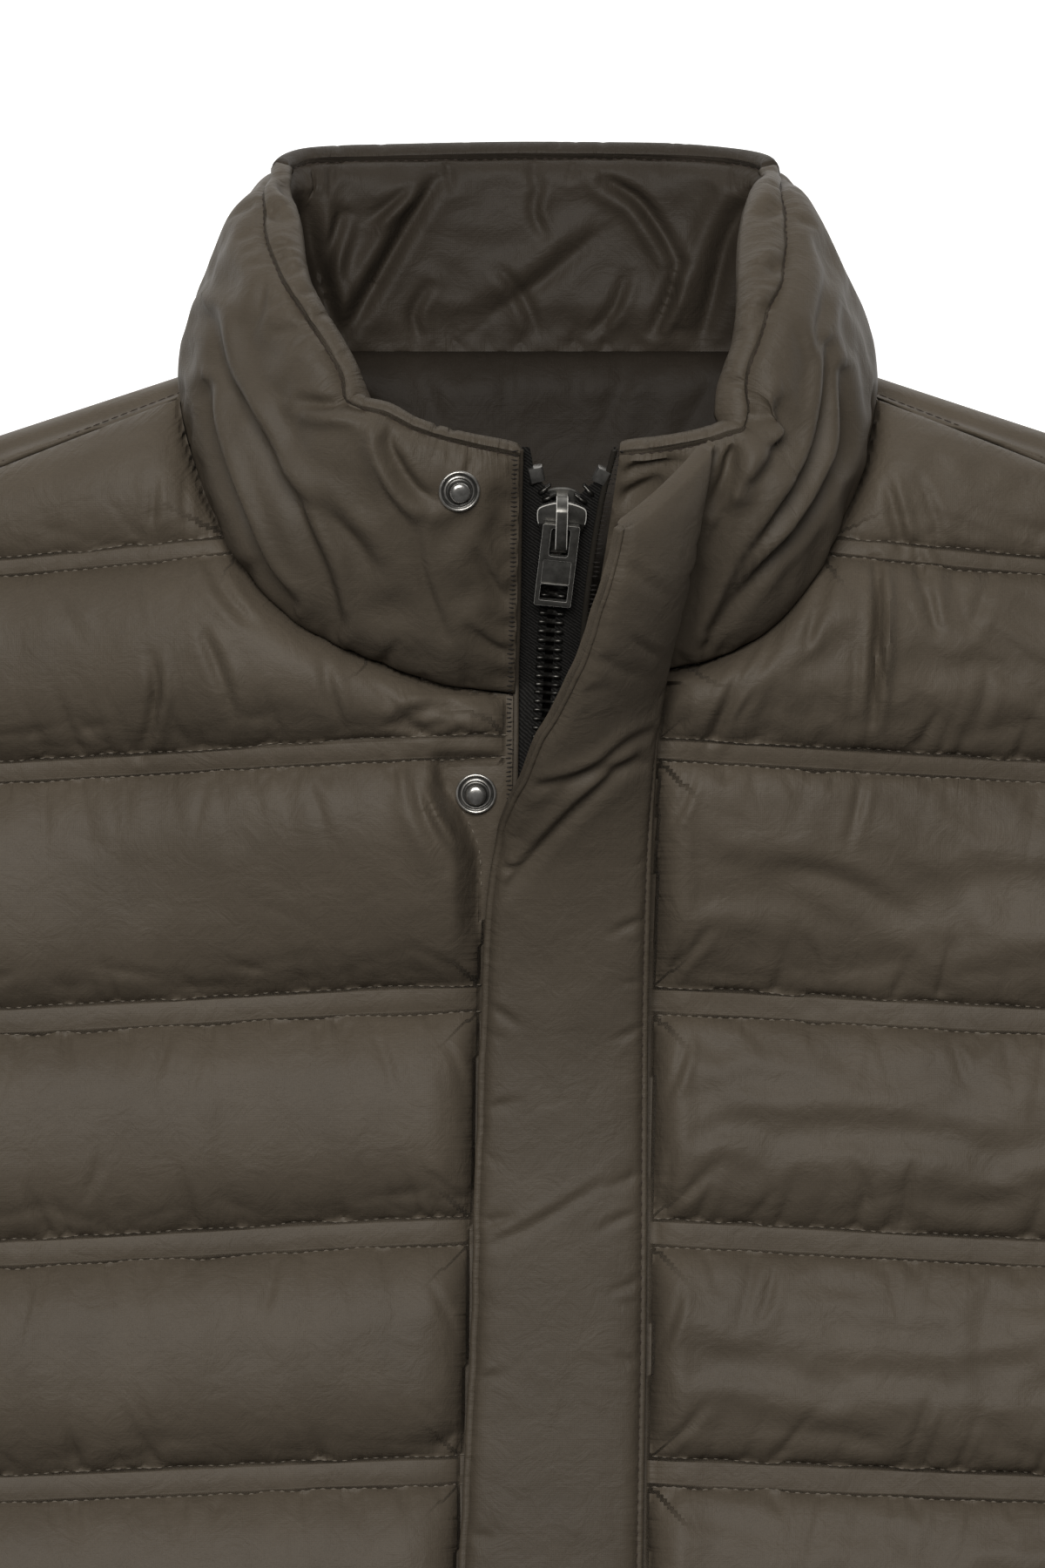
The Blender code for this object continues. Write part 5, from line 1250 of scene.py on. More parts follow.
RIM = (  # section, the topstitched row's x, y, z and the top edge's x, y, z, both in the wall's middle: the band above the row turns over towards the neck in front and outwards at the nape
    (0.0, -2.4, 290.9, 93.0, -2.1, 291.8, 84.0),
    (1.0, -18.0, 294.1, 96.0, -17.8, 293.9, 87.0),
    (2.0, -33.4, 298.6, 97.0, -33.0, 298.6, 88.0),
    (2.5, -42.1, 303.0, 97.0, -41.5, 303.1, 88.0),
    (3.0, -49.1, 304.9, 96.5, -47.7, 304.9, 88.0),
    (3.4, -53.2, 307.0, 95.0, -46.6, 307.0, 87.5),
    (4.0, -54.3, 312.7, 93.0, -49.8, 313.6, 84.0),
    (5.0, -59.0, 322.3, 90.0, -55.0, 323.0, 81.0),
    (6.0, -65.8, 332.6, 85.0, -60.8, 333.5, 76.5),
    (7.0, -73.5, 345.7, 76.0, -65.3, 345.2, 70.0),
    (8.0, -77.7, 359.1, 62.0, -66.8, 358.7, 60.0),
    (8.5, -78.2, 368.3, 52.0, -69.2, 367.2, 48.0),
    (9.0, -76.4, 374.0, 40.0, -71.9, 373.7, 31.5),
    (9.4, -74.3, 378.2, 30.0, -73.7, 379.6, 21.0),
    (10.0, -66.1, 381.6, 18.5, -66.3, 384.0, 9.5),
    (11.0, -40.9, 382.6, 14.5, -41.0, 385.8, 5.5),
    (12.0, 0.0, 383.4, 14.0, 0.0, 386.5, 5.0),
    (13.0, 38.3, 383.0, 14.5, 38.4, 386.2, 5.5),
    (14.0, 62.0, 381.6, 18.5, 62.2, 383.7, 9.5),
    (14.6, 73.0, 378.5, 29.0, 73.0, 380.1, 20.0),
    (15.0, 74.9, 374.0, 40.0, 72.7, 375.0, 31.5),
    (15.5, 75.1, 371.0, 50.0, 67.7, 371.6, 44.0),
    (16.0, 76.5, 364.0, 59.0, 64.3, 364.3, 57.5),
    (17.0, 76.4, 351.6, 72.0, 62.4, 352.4, 71.0),
    (18.0, 74.9, 342.3, 81.0, 62.0, 342.1, 80.0),
    (19.0, 71.1, 333.7, 88.0, 61.9, 333.2, 84.0),
    (20.0, 67.9, 323.5, 92.0, 60.8, 322.8, 85.5),
    (20.5, 65.3, 316.8, 93.5, 58.5, 316.3, 87.0),
    (21.0, 64.2, 308.8, 94.5, 55.9, 309.0, 89.5),
    (21.4, 64.7, 302.0, 96.0, 55.3, 303.5, 91.0),
    (21.7, 63.4, 298.7, 97.0, 57.4, 300.3, 90.5),
    (22.0, 59.8, 297.4, 97.5, 58.2, 298.5, 89.0),
    (22.5, 51.6, 294.8, 98.0, 51.0, 295.9, 89.0),
    (23.0, 41.8, 293.0, 97.0, 41.5, 293.8, 88.0),
    (23.5, 35.7, 292.2, 95.0, 35.8, 293.2, 86.5),
    (24.0, 27.6, 291.7, 93.0, 27.7, 293.0, 85.0),
)
OUTER_HALF = (  # section, the outer padding's half thickness
    (0.0, 3.6),
    (1.0, 8.5),
    (3.0, 9.5),
    (4.0, 9.0),
    (5.0, 8.5),
    (6.0, 7.5),
    (7.0, 7.5),
    (8.0, 7.5),
    (9.0, 6.0),
    (10.0, 6.0),
    (12.0, 8.0),
    (14.0, 6.0),
    (15.0, 7.0),
    (16.0, 8.0),
    (17.0, 8.5),
    (18.0, 8.5),
    (19.0, 8.5),
    (20.0, 9.5),
    (22.0, 9.0),
    (23.0, 6.0),
    (24.0, 3.6),
)


def rim_at(at):
    s = column(RIM, 0)
    row, top = (np.stack([smooth_curve(at, s, column(RIM, c)) for c in cs], -1) for cs in ((1, 2, 3), (4, 5, 6)))
    return row, top


def collar_rows():
    """(at, length): sections round the neck about a step apart, and the length of the line they divide."""
    fine = np.linspace(0, len(COLLAR) - 1, 1500)
    mid = 0.4 * rails(fine)[0] + 0.6 * rim_at(fine)[0]
    s = np.concatenate([[0], np.cumsum(np.linalg.norm(np.diff(mid, axis=0), axis=1))])
    n = int(s[-1] / (FINE * 0.95))
    at = np.interp(np.linspace(0, s[-1], n + 1), s, fine)
    return at, s[-1]


def collar_surfaces():
    at, length = collar_rows()
    base, _, bow, half = rails(at)
    row, top = rim_at(at)
    t_row = 1 - TOPSTITCH / 76.0
    levels = rows_between([0.0, t_row, 1.0], lambda t: FINE * 0.92 / 76.0)
    along = np.gradient(0.5 * (base + row), axis=0)
    out = np.cross(row - base, along)
    out /= np.linalg.norm(out, axis=1)[:, None]
    u = np.clip(levels / t_row, 0, 1)[None, :, None]
    w = np.clip((levels - t_row) / (1 - t_row), 0, 1)[None, :, None]
    control = 0.5 * (base + row) + 2 * bow[:, None] * out
    middle = (1 - u) ** 2 * base[:, None] + 2 * u * (1 - u) * control[:, None] + u * u * row[:, None]
    # the band above the row bends over it
    knee = row + 0.35 * (row - base) * (TOPSTITCH / 70.0) + 0.25 * (top - row)
    bent = (1 - w) ** 2 * row[:, None] + 2 * w * (1 - w) * knee[:, None] + w * w * top[:, None]
    middle = np.where(levels[None, :, None] > t_row, bent, middle)
    du, dv = np.gradient(middle, axis=0), np.gradient(middle, axis=1)
    normal = np.cross(dv, du)
    normal /= np.linalg.norm(normal, axis=-1)[..., None]
    for _ in range(2):
        soft = normal.copy()
        soft[1:-1] += 0.5 * (normal[:-2] + normal[2:])
        soft[:, 1:-1] += 0.5 * (normal[:, :-2] + normal[:, 2:])
        normal = soft / np.linalg.norm(soft, axis=-1)[..., None]
    return at, levels, t_row, middle, normal, half, smooth_curve(at, column(OUTER_HALF, 0), column(OUTER_HALF, 1))


C_AT, C_LEVELS, C_ROW, C_MID, C_NORMAL, C_HALF, C_OUT = collar_surfaces()


def collar_layer(name, sign, material, table, seed):
    rng = np.random.default_rng(seed)
    n = len(C_AT)
    level = C_LEVELS[None]
    s_mm = np.concatenate([[0], np.cumsum(np.linalg.norm(np.diff(C_MID[:, C_MID.shape[1] // 2], axis=0), axis=1))])[:, None]
    t_mm = 76.0 * level
    # the wall's padding, then a narrower roll over the topstitching
    low = np.clip(level / C_ROW, 0, 1)
    foot = np.interp(C_AT, [4.0, 6.5, 9.0, 15.0, 17.5, 20.0], [15.0, 62.0, 62.0, 62.0, 62.0, 15.0])[:, None]
    swell = dome(low * 66.0 / foot * 15.0, 15.0) ** np.interp(foot, [15.0, 62.0], [1.0, 1.5]) * dome((1 - low) * 66.0, 13.0)
    half = C_OUT if sign > 0 else np.minimum(C_HALF, 9.0)
    at_row = 1.7
    wall = 0.6 + (at_row - 0.6) * np.clip(low / 0.25, 0, 1) + np.maximum(half[:, None] - at_row, 0.4) * swell
    top_u = np.clip((level - C_ROW) / (1 - C_ROW), 0, 1)
    puff = np.interp(C_AT, [0, 3.0, 5.0, 19.5, 21.5, 24.0], [0.5, 0.6, 1.3, 1.3, 0.9, 0.6])[:, None]
    roll = at_row * np.sqrt(np.maximum(1 - top_u ** 4, 0.0)) + puff * np.sin(np.pi * np.clip(top_u, 0, 1)) ** 0.8 + 0.2
    thick = np.where(level <= C_ROW, wall, roll)
    ends = np.minimum(s_mm, s_mm[-1] - s_mm)
    thick = 1.2 + (thick - 1.2) * dome(ends + 1.0, 13.0)
    lump = 1 + 0.09 * noise(s_mm, t_mm, (42, 34), seed) + 0.04 * noise(s_mm, t_mm, (17, 15), seed + 1)
    thick = thick * np.where(level <= C_ROW, lump, 1.0)
    P = np.moveaxis(C_MID + sign * C_NORMAL * thick[..., None], -1, 0)
    inner = (level > 0) & (np.abs(level - C_ROW) > 1e-9) & (level < 1) & (ends > 0.5)
    fade = np.clip(np.minimum(t_mm, np.abs(t_mm - 76.0 * C_ROW)) / 5.0, 0, 1) * np.clip(ends / 4.0, 0, 1)
    table = [(a, b, c, d, bow, max(0.50 * w, 1.5), 0.95 * dep, r) for a, b, c, d, bow, w, dep, r in table]
    wrinkle = creases(P[0], P[1], table) * np.where(level < C_ROW, fade, 0.0)
    if sign < 0:
        inside_folds = [(points, max(0.82 * w, 1.8), 1.15 * dep, r) for points, w, dep, r in INNER_FOLDS]
        wrinkle = wrinkle + folds(P[0], P[1], inside_folds) * np.where(level < C_ROW, np.clip(np.abs(t_mm - 76.0 * C_ROW) / 6.0, 0, 1) * np.clip(t_mm / 4.0, 0.25, 1), 0.0)
    if sign > 0:
        bold = [(points, 1.2 * w, 1.75 * dep, r) for points, w, dep, r in OUTER_FOLDS]
        wrinkle = wrinkle + folds(P[0], P[1], bold) * np.where(level < C_ROW, np.clip(fade * 1.6, 0, 1), 0.0)
        wrinkle = wrinkle + folds(P[0], P[1], RIM_FOLDS) * np.clip((t_mm - 76.0 * C_ROW + 1.0) / 2.0, 0, 1) * np.clip((76.5 - t_mm) / 3.0, 0, 1)
        wrinkle = wrinkle + folds(P[0], P[1], LEDGE_FOLDS) * np.clip(t_mm / 20.0 - 1.2, 0, 1) * np.where(level > C_ROW, 0.4, 1.0)
    u_s = s_mm + 0 * t_mm
    low_pleats = drawn_in(rng, 4.0, s_mm[-1, 0] - 4, (5.0, 15.0), (3.0, 16.0), (-0.7, 0.7), (1.4, 3.6), (0.6, 2.4), missing=0.25)
    top_pleats = drawn_in(rng, 4.0, s_mm[-1, 0] - 4, (4.0, 12.0), (3.0, 13.0), (-0.6, 0.6), (1.0, 2.6), (0.6, 2.2), missing=0.25)
    roll_pleats = drawn_in(rng, 4.0, s_mm[-1, 0] - 4, (3.0, 9.0), (3.0, 9.5), (-0.5, 0.5), (0.9, 2.0), (0.6, 2.0), missing=0.2)
    wrinkle = wrinkle - notches(u_s, t_mm + 0 * s_mm, low_pleats) * (level < C_ROW)
    wrinkle = wrinkle - notches(u_s, 76.0 * C_ROW - t_mm + 0 * s_mm, top_pleats) * (level < C_ROW)
    at_nape = np.interp(C_AT, [8.6, 9.8, 14.2, 15.2], [1.0, 0.15, 0.15, 1.0])[:, None]
    wrinkle = wrinkle - notches(u_s, t_mm - 76.0 * C_ROW + 0 * s_mm, roll_pleats) * (level > C_ROW) * at_nape
    wrinkle = wrinkle * np.clip(ends / 4.0, 0, 1)
    N = np.moveaxis(sign * C_NORMAL, -1, 0)
    P = P + N * wrinkle
    # the stitched row wanders a little, and is drawn in
    on_row = np.abs(level - C_ROW) < 1e-9
    P = P + N * np.where(on_row, -0.45 + 0.25 * noise(s_mm, 0 * t_mm, (6, 9), seed + 3), 0)
    free = np.broadcast_to(inner, P[0].shape).copy()
    used = np.ones_like(free)
    d_seam = np.minimum(t_mm, np.abs(t_mm - 76.0 * C_ROW))
    d_edge = ends
    vary = 1 + 0.40 * noise(s_mm, t_mm, (18, 11), seed + 5)
    over = level > C_ROW
    along_t = 1 + (0.004 + 0.045 * np.exp(-d_edge / 7.0)) * np.ones_like(vary)
    along_s = 1 + np.where(over, 0.022 * vary, 0.002 + 0.024 * np.exp(-d_seam / 7.0) * vary)
    # rows run round the neck, columns up the wall; the normal has to point out of the padding
    if sign > 0:
        G, free_g = P[:, :, ::-1], free[:, ::-1]
        a_x, a_y = along_t[:, ::-1], along_s[:, ::-1]
    else:
        G, free_g, a_x, a_y = P, free, along_t, along_s
    jolt = np.where(free_g, rng.normal(0, 0.10, G[0].shape), 0)
    G = settle(G, free_g, used, a_x, a_y, ITERS, pressure=0.0004, bend=0.03, cap=6.0, jolt=jolt)
    P = G[:, :, ::-1] if sign > 0 else G
    # the two layers meet under their stitches and at the top edge
    back = np.moveaxis(C_MID + sign * C_NORMAL * 0.12, -1, 0)
    keep = np.ones((n - 1, len(C_LEVELS) - 1), bool)
    plan = np.stack(np.broadcast_arrays(t_mm + 0 * s_mm, s_mm + 0 * t_mm))
    obj = closed_panel(name, P, back, keep, material, flip=sign > 0, coarse=4, sharp=70.0, plan=plan)
    pull = np.maximum(np.exp(-d_seam / 4.0), np.exp(-ends / 3.5))
    pull = np.where(over, 0.8, pull) * (0.5 + 0.5 * np.clip(noise(s_mm, t_mm, 17, seed + 8) + 0.4, 0, 1.5))
    seam_marks(obj, s_mm + np.where(over, 61.0, 0.0), d_seam + 0 * s_mm, 0.52 * pull, np.ones(P[0].shape, bool))
    return obj, P


# the collar's outer piece wears the darker copy of the shell cloth, a painted shade
COLLAR_OUTER, CO = collar_layer("collar_outer", 1, SHELL_SHADED, OUTER_CREASES, 71)
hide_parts("collar_outer")
COLLAR_INNER, CI = collar_layer("collar_inner", -1, LINING, (), 77)
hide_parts("collar_inner")


def outward(P, centre_normal):
    n = grid_normals(P)
    s = np.sign((n * centre_normal).sum(0))
    return n * s


row = int(np.argmin(np.abs(C_LEVELS - C_ROW)))
ON = outward(CO, np.moveaxis(C_NORMAL, -1, 0))
IN = outward(CI, np.moveaxis(-C_NORMAL, -1, 0))
stitches("topstitch_collar_outer", [(CO[:, 2:-2, row].T, ON[:, 2:-2, row].T)], THREAD_DARK, pitch=3.0, length=2.4, radius=0.30)
stitches("topstitch_collar_inner", [(CI[:, 2:-2, row].T, IN[:, 2:-2, row].T)], THREAD_DARK, pitch=3.0, length=2.4, radius=0.28)
say("collar", tri_count(COLLAR_OUTER), tri_count(COLLAR_INNER))


# ================================================================ the storm flap
FLAP_CREASES = (
    (22.0, 60.5, 34.5, 65.7, 0.6, 2.4, 0.8, 0.5),
    (-2.0, 193.5, 4.0, 196.0, 0.2, 1.8, 1.2, 0.5),
    (-10.0, 167.0, -3.0, 170.0, 0.3, 1.8, 1.1, 0.5),
    (2.0, 216.0, 22.0, 222.0, 0.8, 3.6, 0.9, 0.5),
    (14.0, 236.0, 33.0, 226.0, -0.8, 3.6, 0.9, 0.5),
    (26.0, 262.0, 40.0, 250.0, -0.6, 3.2, 0.9, 0.5),
    (30.0, 238.0, 39.0, 232.0, -0.4, 2.4, 0.9, 0.5),
    (-12.0, 128.0, -3.0, 122.0, 0.3, 2.4, 0.8, 0.4),
    (-13.0, 96.0, -4.0, 99.0, 0.3, 2.4, 0.7, 0.4),
    (27.0, 118.0, 36.0, 121.0, 0.3, 2.4, 0.8, 0.4),
    (26.0, 150.0, 36.5, 154.0, 0.3, 2.4, 0.9, 0.4),
    (27.0, 22.0, 35.5, 19.0, 0.3, 2.4, 0.7, 0.4),
    (-17.0, 14.0, -8.0, 17.0, 0.3, 2.4, 0.7, 0.4),
)
FLAP_FOLDS = (
    (((-4.5, 192.5), (8.0, 194.5), (20.0, 199.0), (30.0, 206.5), (37.0, 210.0)), 1.6, 1.7, 0.7),
    (((-6.0, 163.0), (2.0, 173.0), (14.0, 186.0), (26.0, 197.0), (34.0, 203.5)), 1.9, 1.9, 0.7),
    (((6.0, 189.0), (18.0, 197.0), (31.0, 200.0), (36.5, 200.5)), 1.3, 1.0, 0.6),
    (((-10.0, 56.0), (4.0, 63.0), (22.0, 74.0)), 1.5, 0.9, 0.5),
)
FLAP_T, FLAP_EDGE_T = 5.2, 2.6


def flap():
    k = np.arange(len(FLAP))
    fine = np.linspace(0, len(FLAP) - 1, 3000)
    mid = np.stack([0.5 * (spline(fine, k, column(FLAP, c)) + spline(fine, k, column(FLAP, c + 3))) for c in (0, 1, 2)], -1)
    s = np.concatenate([[0], np.cumsum(np.linalg.norm(np.diff(mid, axis=0), axis=1))])
    s_low = float(np.interp(14.35, fine, s))
    marks = rows_between([0.0, s_low, s[-1]], lambda m: FINE if m < s_low else COARSE)
    at = np.interp(marks, s, fine)
    sewn = np.stack([spline(at, k, column(FLAP, c)) for c in (0, 1, 2)], -1)
    free_edge = np.stack([spline(at, k, column(FLAP, c)) for c in (3, 4, 5)], -1)
    bow = spline(at, k, column(FLAP, 6))
    # small puckers let the free edge wander
    free_edge[:, 0] += 0.22 * noise(marks, 0 * marks, (9, 9), 61) * np.clip(marks / 20, 0, 1)
    width = np.linalg.norm(free_edge - sewn, axis=1)
    wide = 51.5
    row_a, row_b = 1.7 / wide, 1 - 1.9 / wide
    u = rows_between([0.0, row_a, row_b, 1.0], lambda m: (0.6 if m < row_a or m > row_b else FINE) / wide)
    along = np.gradient(0.5 * (sewn + free_edge), axis=0)
    out = np.cross(along, free_edge - sewn)
    out /= np.linalg.norm(out, axis=1)[:, None]
    out *= np.sign(out[:, 2])[:, None]
    t = u[None, :, None]
    low = (1 - t) * sewn[:, None] + t * free_edge[:, None]
    low = low + (4 * t * (1 - t)) * (bow[:, None] * out)[:, None]
    seam = np.minimum(u - row_a, row_b - u) * wide
    swell = np.maximum(np.minimum(dome(np.maximum(u - row_a, 0) * wide, 4.5), dome(np.maximum(row_b - u, 0) * wide, 4.0)), 0)
    ends = dome(np.minimum(marks, s[-1] - marks) + 0.5, 9.0)[:, None]
    M, U = np.meshgrid(marks, u * wide, indexing="ij")
    lump = 1 + 0.03 * noise(M, U, (60, 30), 63)
    lip = np.where(seam[None] < 0, 0.5 * np.sin(np.pi * np.clip(np.minimum(u, 1 - u) * wide / 1.8, 0, 1)), 0)
    t_up = FLAP_EDGE_T + (FLAP_T - FLAP_EDGE_T) * swell[None] * ends * lump + lip
    P = low + out[:, None] * t_up[..., None]
    P = np.moveaxis(P, -1, 0)
    N = np.moveaxis(np.broadcast_to(out[:, None], low.shape), -1, 0)
    rng = np.random.default_rng(64)
    table = list(FLAP_CREASES)
    for _ in range(26):
        y = rng.uniform(-370, -45)
        left = rng.random() < 0.5
        x0, x1 = (-24.0, -24.0 + rng.uniform(5, 14)) if left else (33.0 - rng.uniform(5, 14), 33.0)
        table.append((x0, y, x1, y + rng.normal(0, 3), rng.normal(0, 0.4), rng.uniform(2.0, 3.4), rng.uniform(0.5, 1.0), 0.4))
    fade = np.clip(seam / 3.0, 0, 1)[None]
    table = [(a, b, c, d, bw, 0.55 * w, dep, r) for a, b, c, d, bw, w, dep, r in table]
    wrinkle = creases(P[0], P[1], table) * fade
    edge_a, edge_b = U - 1.7, u[-1] * wide - 1.9 - U
    wrinkle = wrinkle - notches(M, edge_a, drawn_in(rng, 3.0, s[-1] - 3, (6.0, 20.0), (2.5, 12.0), (-0.5, 0.8), (1.2, 2.6), (0.5, 1.6), missing=0.3))
    wrinkle = wrinkle - notches(M, edge_b, drawn_in(rng, 3.0, s[-1] - 3, (6.0, 22.0), (2.5, 14.0), (-0.8, 0.5), (1.2, 2.6), (0.5, 1.8), missing=0.3))
    wrinkle = wrinkle + folds(P[0], P[1], FLAP_FOLDS) * fade
    P = P + N * wrinkle
    free = (seam[None] > 1e-6) & (ends > 0) & (M > 0) & (M < s[-1])
    free = np.broadcast_to(free, P[0].shape).copy()
    jolt = np.where(free, rng.normal(0, 0.07, P[0].shape), 0)
    used = np.ones_like(free)
    vary = 1 + 0.45 * noise(M, U, (15, 12), 65)
    along_len = 1 + (0.001 + 0.022 * np.exp(-np.maximum(seam, 0)[None] / 4.5) * vary)
    along_wide = 1 + 0.003 * np.ones_like(vary)
    P = settle(P, free, used, along_wide, along_len, ITERS, pressure=0.00012, bend=0.04, cap=3.0, jolt=jolt)
    bottom = np.moveaxis(low, -1, 0)
    # the underside is padded too where the flap stands off the front
    lifted = np.clip((low[..., 2] - 45.0) / 20.0, 0, 1)
    bottom = bottom - N * (1.6 * swell[None] * lifted)
    keep = np.ones((len(marks) - 1, len(u) - 1), bool)
    flip = np.cross(P[:, 10, 12] - P[:, 10, 10], P[:, 12, 10] - P[:, 10, 10])[2] < 0
    # the flap wears the darker copy of the shell cloth, a painted shade
    obj = closed_panel("storm_flap", P, bottom, keep, SHELL_SHADED, flip=not flip, coarse=3, sharp=65.0, plan=np.stack([U, M]))
    pull = np.exp(-np.abs(np.minimum(U, u[-1] * wide - U) - 1.8) / 3.2) * (0.45 + 0.55 * np.clip(noise(M, U, 16, 68) + 0.4, 0, 1.5))
    seam_marks(obj, M + np.where(U > 25, 91.0, 0.0), np.minimum(U, u[-1] * wide - U), 0.34 * pull, np.ones(P[0].shape, bool))
    n = grid_normals(P)
    n *= np.sign((n * N).sum(0))
    ja, jb = int(np.argmin(np.abs(u - row_a))), int(np.argmin(np.abs(u - row_b)))
    return obj, P, n, bottom, ja, jb, marks


FLAP_OBJ, FP, FN, FB, FLAP_A, FLAP_B, FLAP_S = flap()
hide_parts("storm_flap")
stitches(
    "stitching_storm_flap",
    [(FP[:, 2:-2, FLAP_A].T, FN[:, 2:-2, FLAP_A].T)],
    THREAD_DARK, pitch=3.2, length=2.5, radius=0.30,
)
say("flap", tri_count(FLAP_OBJ))


# ================================================================ the back, and the lining inside the neck
def back_top(x):
    x = np.abs(x)
    neck_y = np.interp(x, [0.0, 60.0, 90.0, 104.0], [324.6, 324.2, 321.0, 316.5])
    shoulder = 318.0 - (x - 104.0) * (43.0 / 131.0)
    return np.where(x < 104.0, neck_y - 0.6, shoulder - 0.6)


def grooves(v, lines, depth):
    """How far the underside stands off the table: not at all under a baffle's middle, and more beside each quilting row."""
    out = np.full(np.shape(v), depth)
    for a, b in zip(lines[0::2], lines[1::2]):
        d = np.minimum(a - v, v - b)
        out = np.where(d > 0, depth * (1 - dome(d, 11.0)), out)
    return out


def back():
    rng = np.random.default_rng(81)
    side = [(x_back(y) - SEAM_GAP, y) for y in column(OUTLINE, 0) if 275.5 > y > HEM_Y]
    top = [(x, float(back_top(x))) for x in np.linspace(-234.7, 234.7, 90)]
    outline = np.array(top + side + [(278.7, HEM_Y), (-278.7, HEM_Y)] + [(-x, y) for x, y in side[::-1]])
    step = 4.6
    v = rows_between([326.0] + [e for q in QUILT for e in q[:2]] + [HEM_Y], lambda m: step)
    c = np.linspace(-291.0, 291.0, int(582 / step) | 1)
    V, X = np.meshgrid(v, c, indexing="ij")
    Y = V - drop_of(V) * drop_at(X)
    X, Y, used, rim = fit_grid(X, Y, outline)
    V = np.where(rim, Y + drop_of(Y) * drop_at(X), V)
    side_d = x_back(Y) - np.abs(X)
    top_d = back_top(X) - Y
    hem_d = Y - HEM_Y
    lines = [326.0] + [e for q in QUILT for e in q[:2]] + [HEM_Y - 4.0]
    under = grooves(V, lines, 5.0)
    under = np.maximum(under, 13.0 * (1 - dome(side_d, 30.0)))
    under = np.maximum(under, 10.0 * (1 - dome(top_d, 26.0)))
    under = np.maximum(under, 9.0 * (1 - dome(hem_d, 17.0)))
    table = scattered(rng, 90, -270, 270, -370, 300, SEWN_V, (12, 34), (0.8, 2.0))
    under = under + np.clip(-creases(X, Y, table) * 1.2, 0, 3) * np.clip(side_d / 12, 0, 1)
    for k, (hi, lo, _) in enumerate(QUILT):
        under = under + 0.9 * notches(X, V - hi, drawn_in(rng, -280.0, 280.0, (7.0, 18.0), (6.0, 22.0), (-0.5, 0.5), (3.0, 5.0), (0.8, 2.6)))
        under = under + 0.9 * notches(X, lo - V, drawn_in(rng, -280.0, 280.0, (7.0, 18.0), (5.0, 18.0), (-0.5, 0.5), (3.0, 5.0), (0.8, 2.4)))
    under[under < 0.15] = 0.0
    under = np.minimum(under, 15.0)
    upper = BACK_TOP - 0.2 - 10.5 * (1 - dome(np.maximum(top_d, 0), 15.0)) * (np.abs(X) < 112) - 7.5 * (1 - dome(np.maximum(top_d, 0), 9.0)) * (np.abs(X) >= 112)
    upper = np.maximum(upper, under + 2.0)
    keep = used[1:, 1:] & used[:-1, 1:] & used[1:, :-1] & used[:-1, :-1]
    inner = ~rim
    keep &= inner[1:, 1:] | inner[:-1, 1:] | inner[1:, :-1] | inner[:-1, :-1]
    obj = closed_panel("back", np.stack([X, Y, under]), np.stack([X, Y, upper]), keep, SHELL, flip=True, coarse=2, plan=np.stack([X, -Y]))
    # stitches on the underside
    runs = []
    P = np.stack([X, Y, under])
    down = np.zeros_like(P)
    down[2] = -1
    for e_v in SEWN_V:
        r = int(np.argmin(np.abs(v - e_v)))
        m = used[r] & ~rim[r]
        runs.append((P[:, r, m].T, down[:, r, m].T))
    stitches("quilting_back", runs, THREAD, pitch=3.6, length=2.6, sides=3)
    return obj


BACK_OBJ = back()


def shoulder_wrap(side):
    """The back's padded shoulder edge, which comes over to the front as far as the shoulder seam."""
    n = 150
    x = np.linspace(92.0, 235.0, n)
    top = back_top(x)
    ys = column(OUTLINE, 0)
    seam_x = np.array([x_front(y) for y in ys[::-1]])
    front_line = np.interp(x, [86.0, 104.0, 157.3, 197.0, 235.0], [318.0, 310.9, 290.3, 275.0, 260.0]) + 0.25
    rng = np.random.default_rng(83)
    k = np.linspace(0, 1, 17)
    X, Kk = np.meshgrid(x, k, indexing="ij")
    T, S = np.broadcast_to(top[:, None], X.shape), np.broadcast_to(front_line[:, None], X.shape)
    wide = T - S
    # round the silhouette from underneath, then over to the seam
    ang = np.pi * (-0.30 + 0.80 * np.clip(Kk / 0.45, 0, 1))
    mid_z, r_y, r_z = 13.5, 5.5, 10.0
    Y1 = T + 0.9 - r_y * (1 - np.cos(ang))
    Z1 = mid_z + r_z * np.sin(ang)
    f = np.clip((Kk - 0.45) / 0.55, 0, 1)
    y_end = T + 0.9 - r_y
    Y2 = y_end + (S - y_end) * f
    lump = 1 + 0.35 * noise(X * side, Y2, (19, 30), 85 + side)
    Z2 = (mid_z + r_z) + (28.0 - mid_z - r_z) * f + 2.6 * np.sin(np.pi * f ** 1.2) * lump
    Y = np.where(Kk < 0.45, Y1, Y2)
    Z = np.where(Kk < 0.45, Z1, Z2)
    d_seam = (1 - Kk) * 12.0
    Z = Z - 0.9 * notches(X, d_seam, drawn_in(rng, 92.0, 235.0, (5.0, 14.0), (2.5, 9.0), (-0.4, 0.4), (1.2, 2.6), (0.4, 1.4), missing=0.3)) * (Kk < 0.999)
    pts = np.stack([side * X, Y, Z])
    # the folded-in edge under the seam closes the strip
    low = pts.copy()
    low[1] = np.minimum(low[1], T - 1.5)
    low[2] = np.minimum(Z - 1.6, 23.0) * (1 - 0) 
    low[2] = np.where(Kk < 0.2, Z + 1.4, low[2])
    low[1] = np.where(Kk < 0.2, pts[1] - 1.6, low[1])
    keep = np.ones((n - 1, len(k) - 1), bool)
    obj = closed_panel("back_shoulder_left" if side > 0 else "back_shoulder_right", pts, low, keep, SHELL, flip=side > 0)
    strength = 0.34 * np.exp(-d_seam / 4.0) * (0.6 + 0.4 * noise(X, Y, 13, 4))
    seam_marks(obj, X, d_seam, np.maximum(strength, 0), np.ones(X.shape, bool))
    return obj, pts


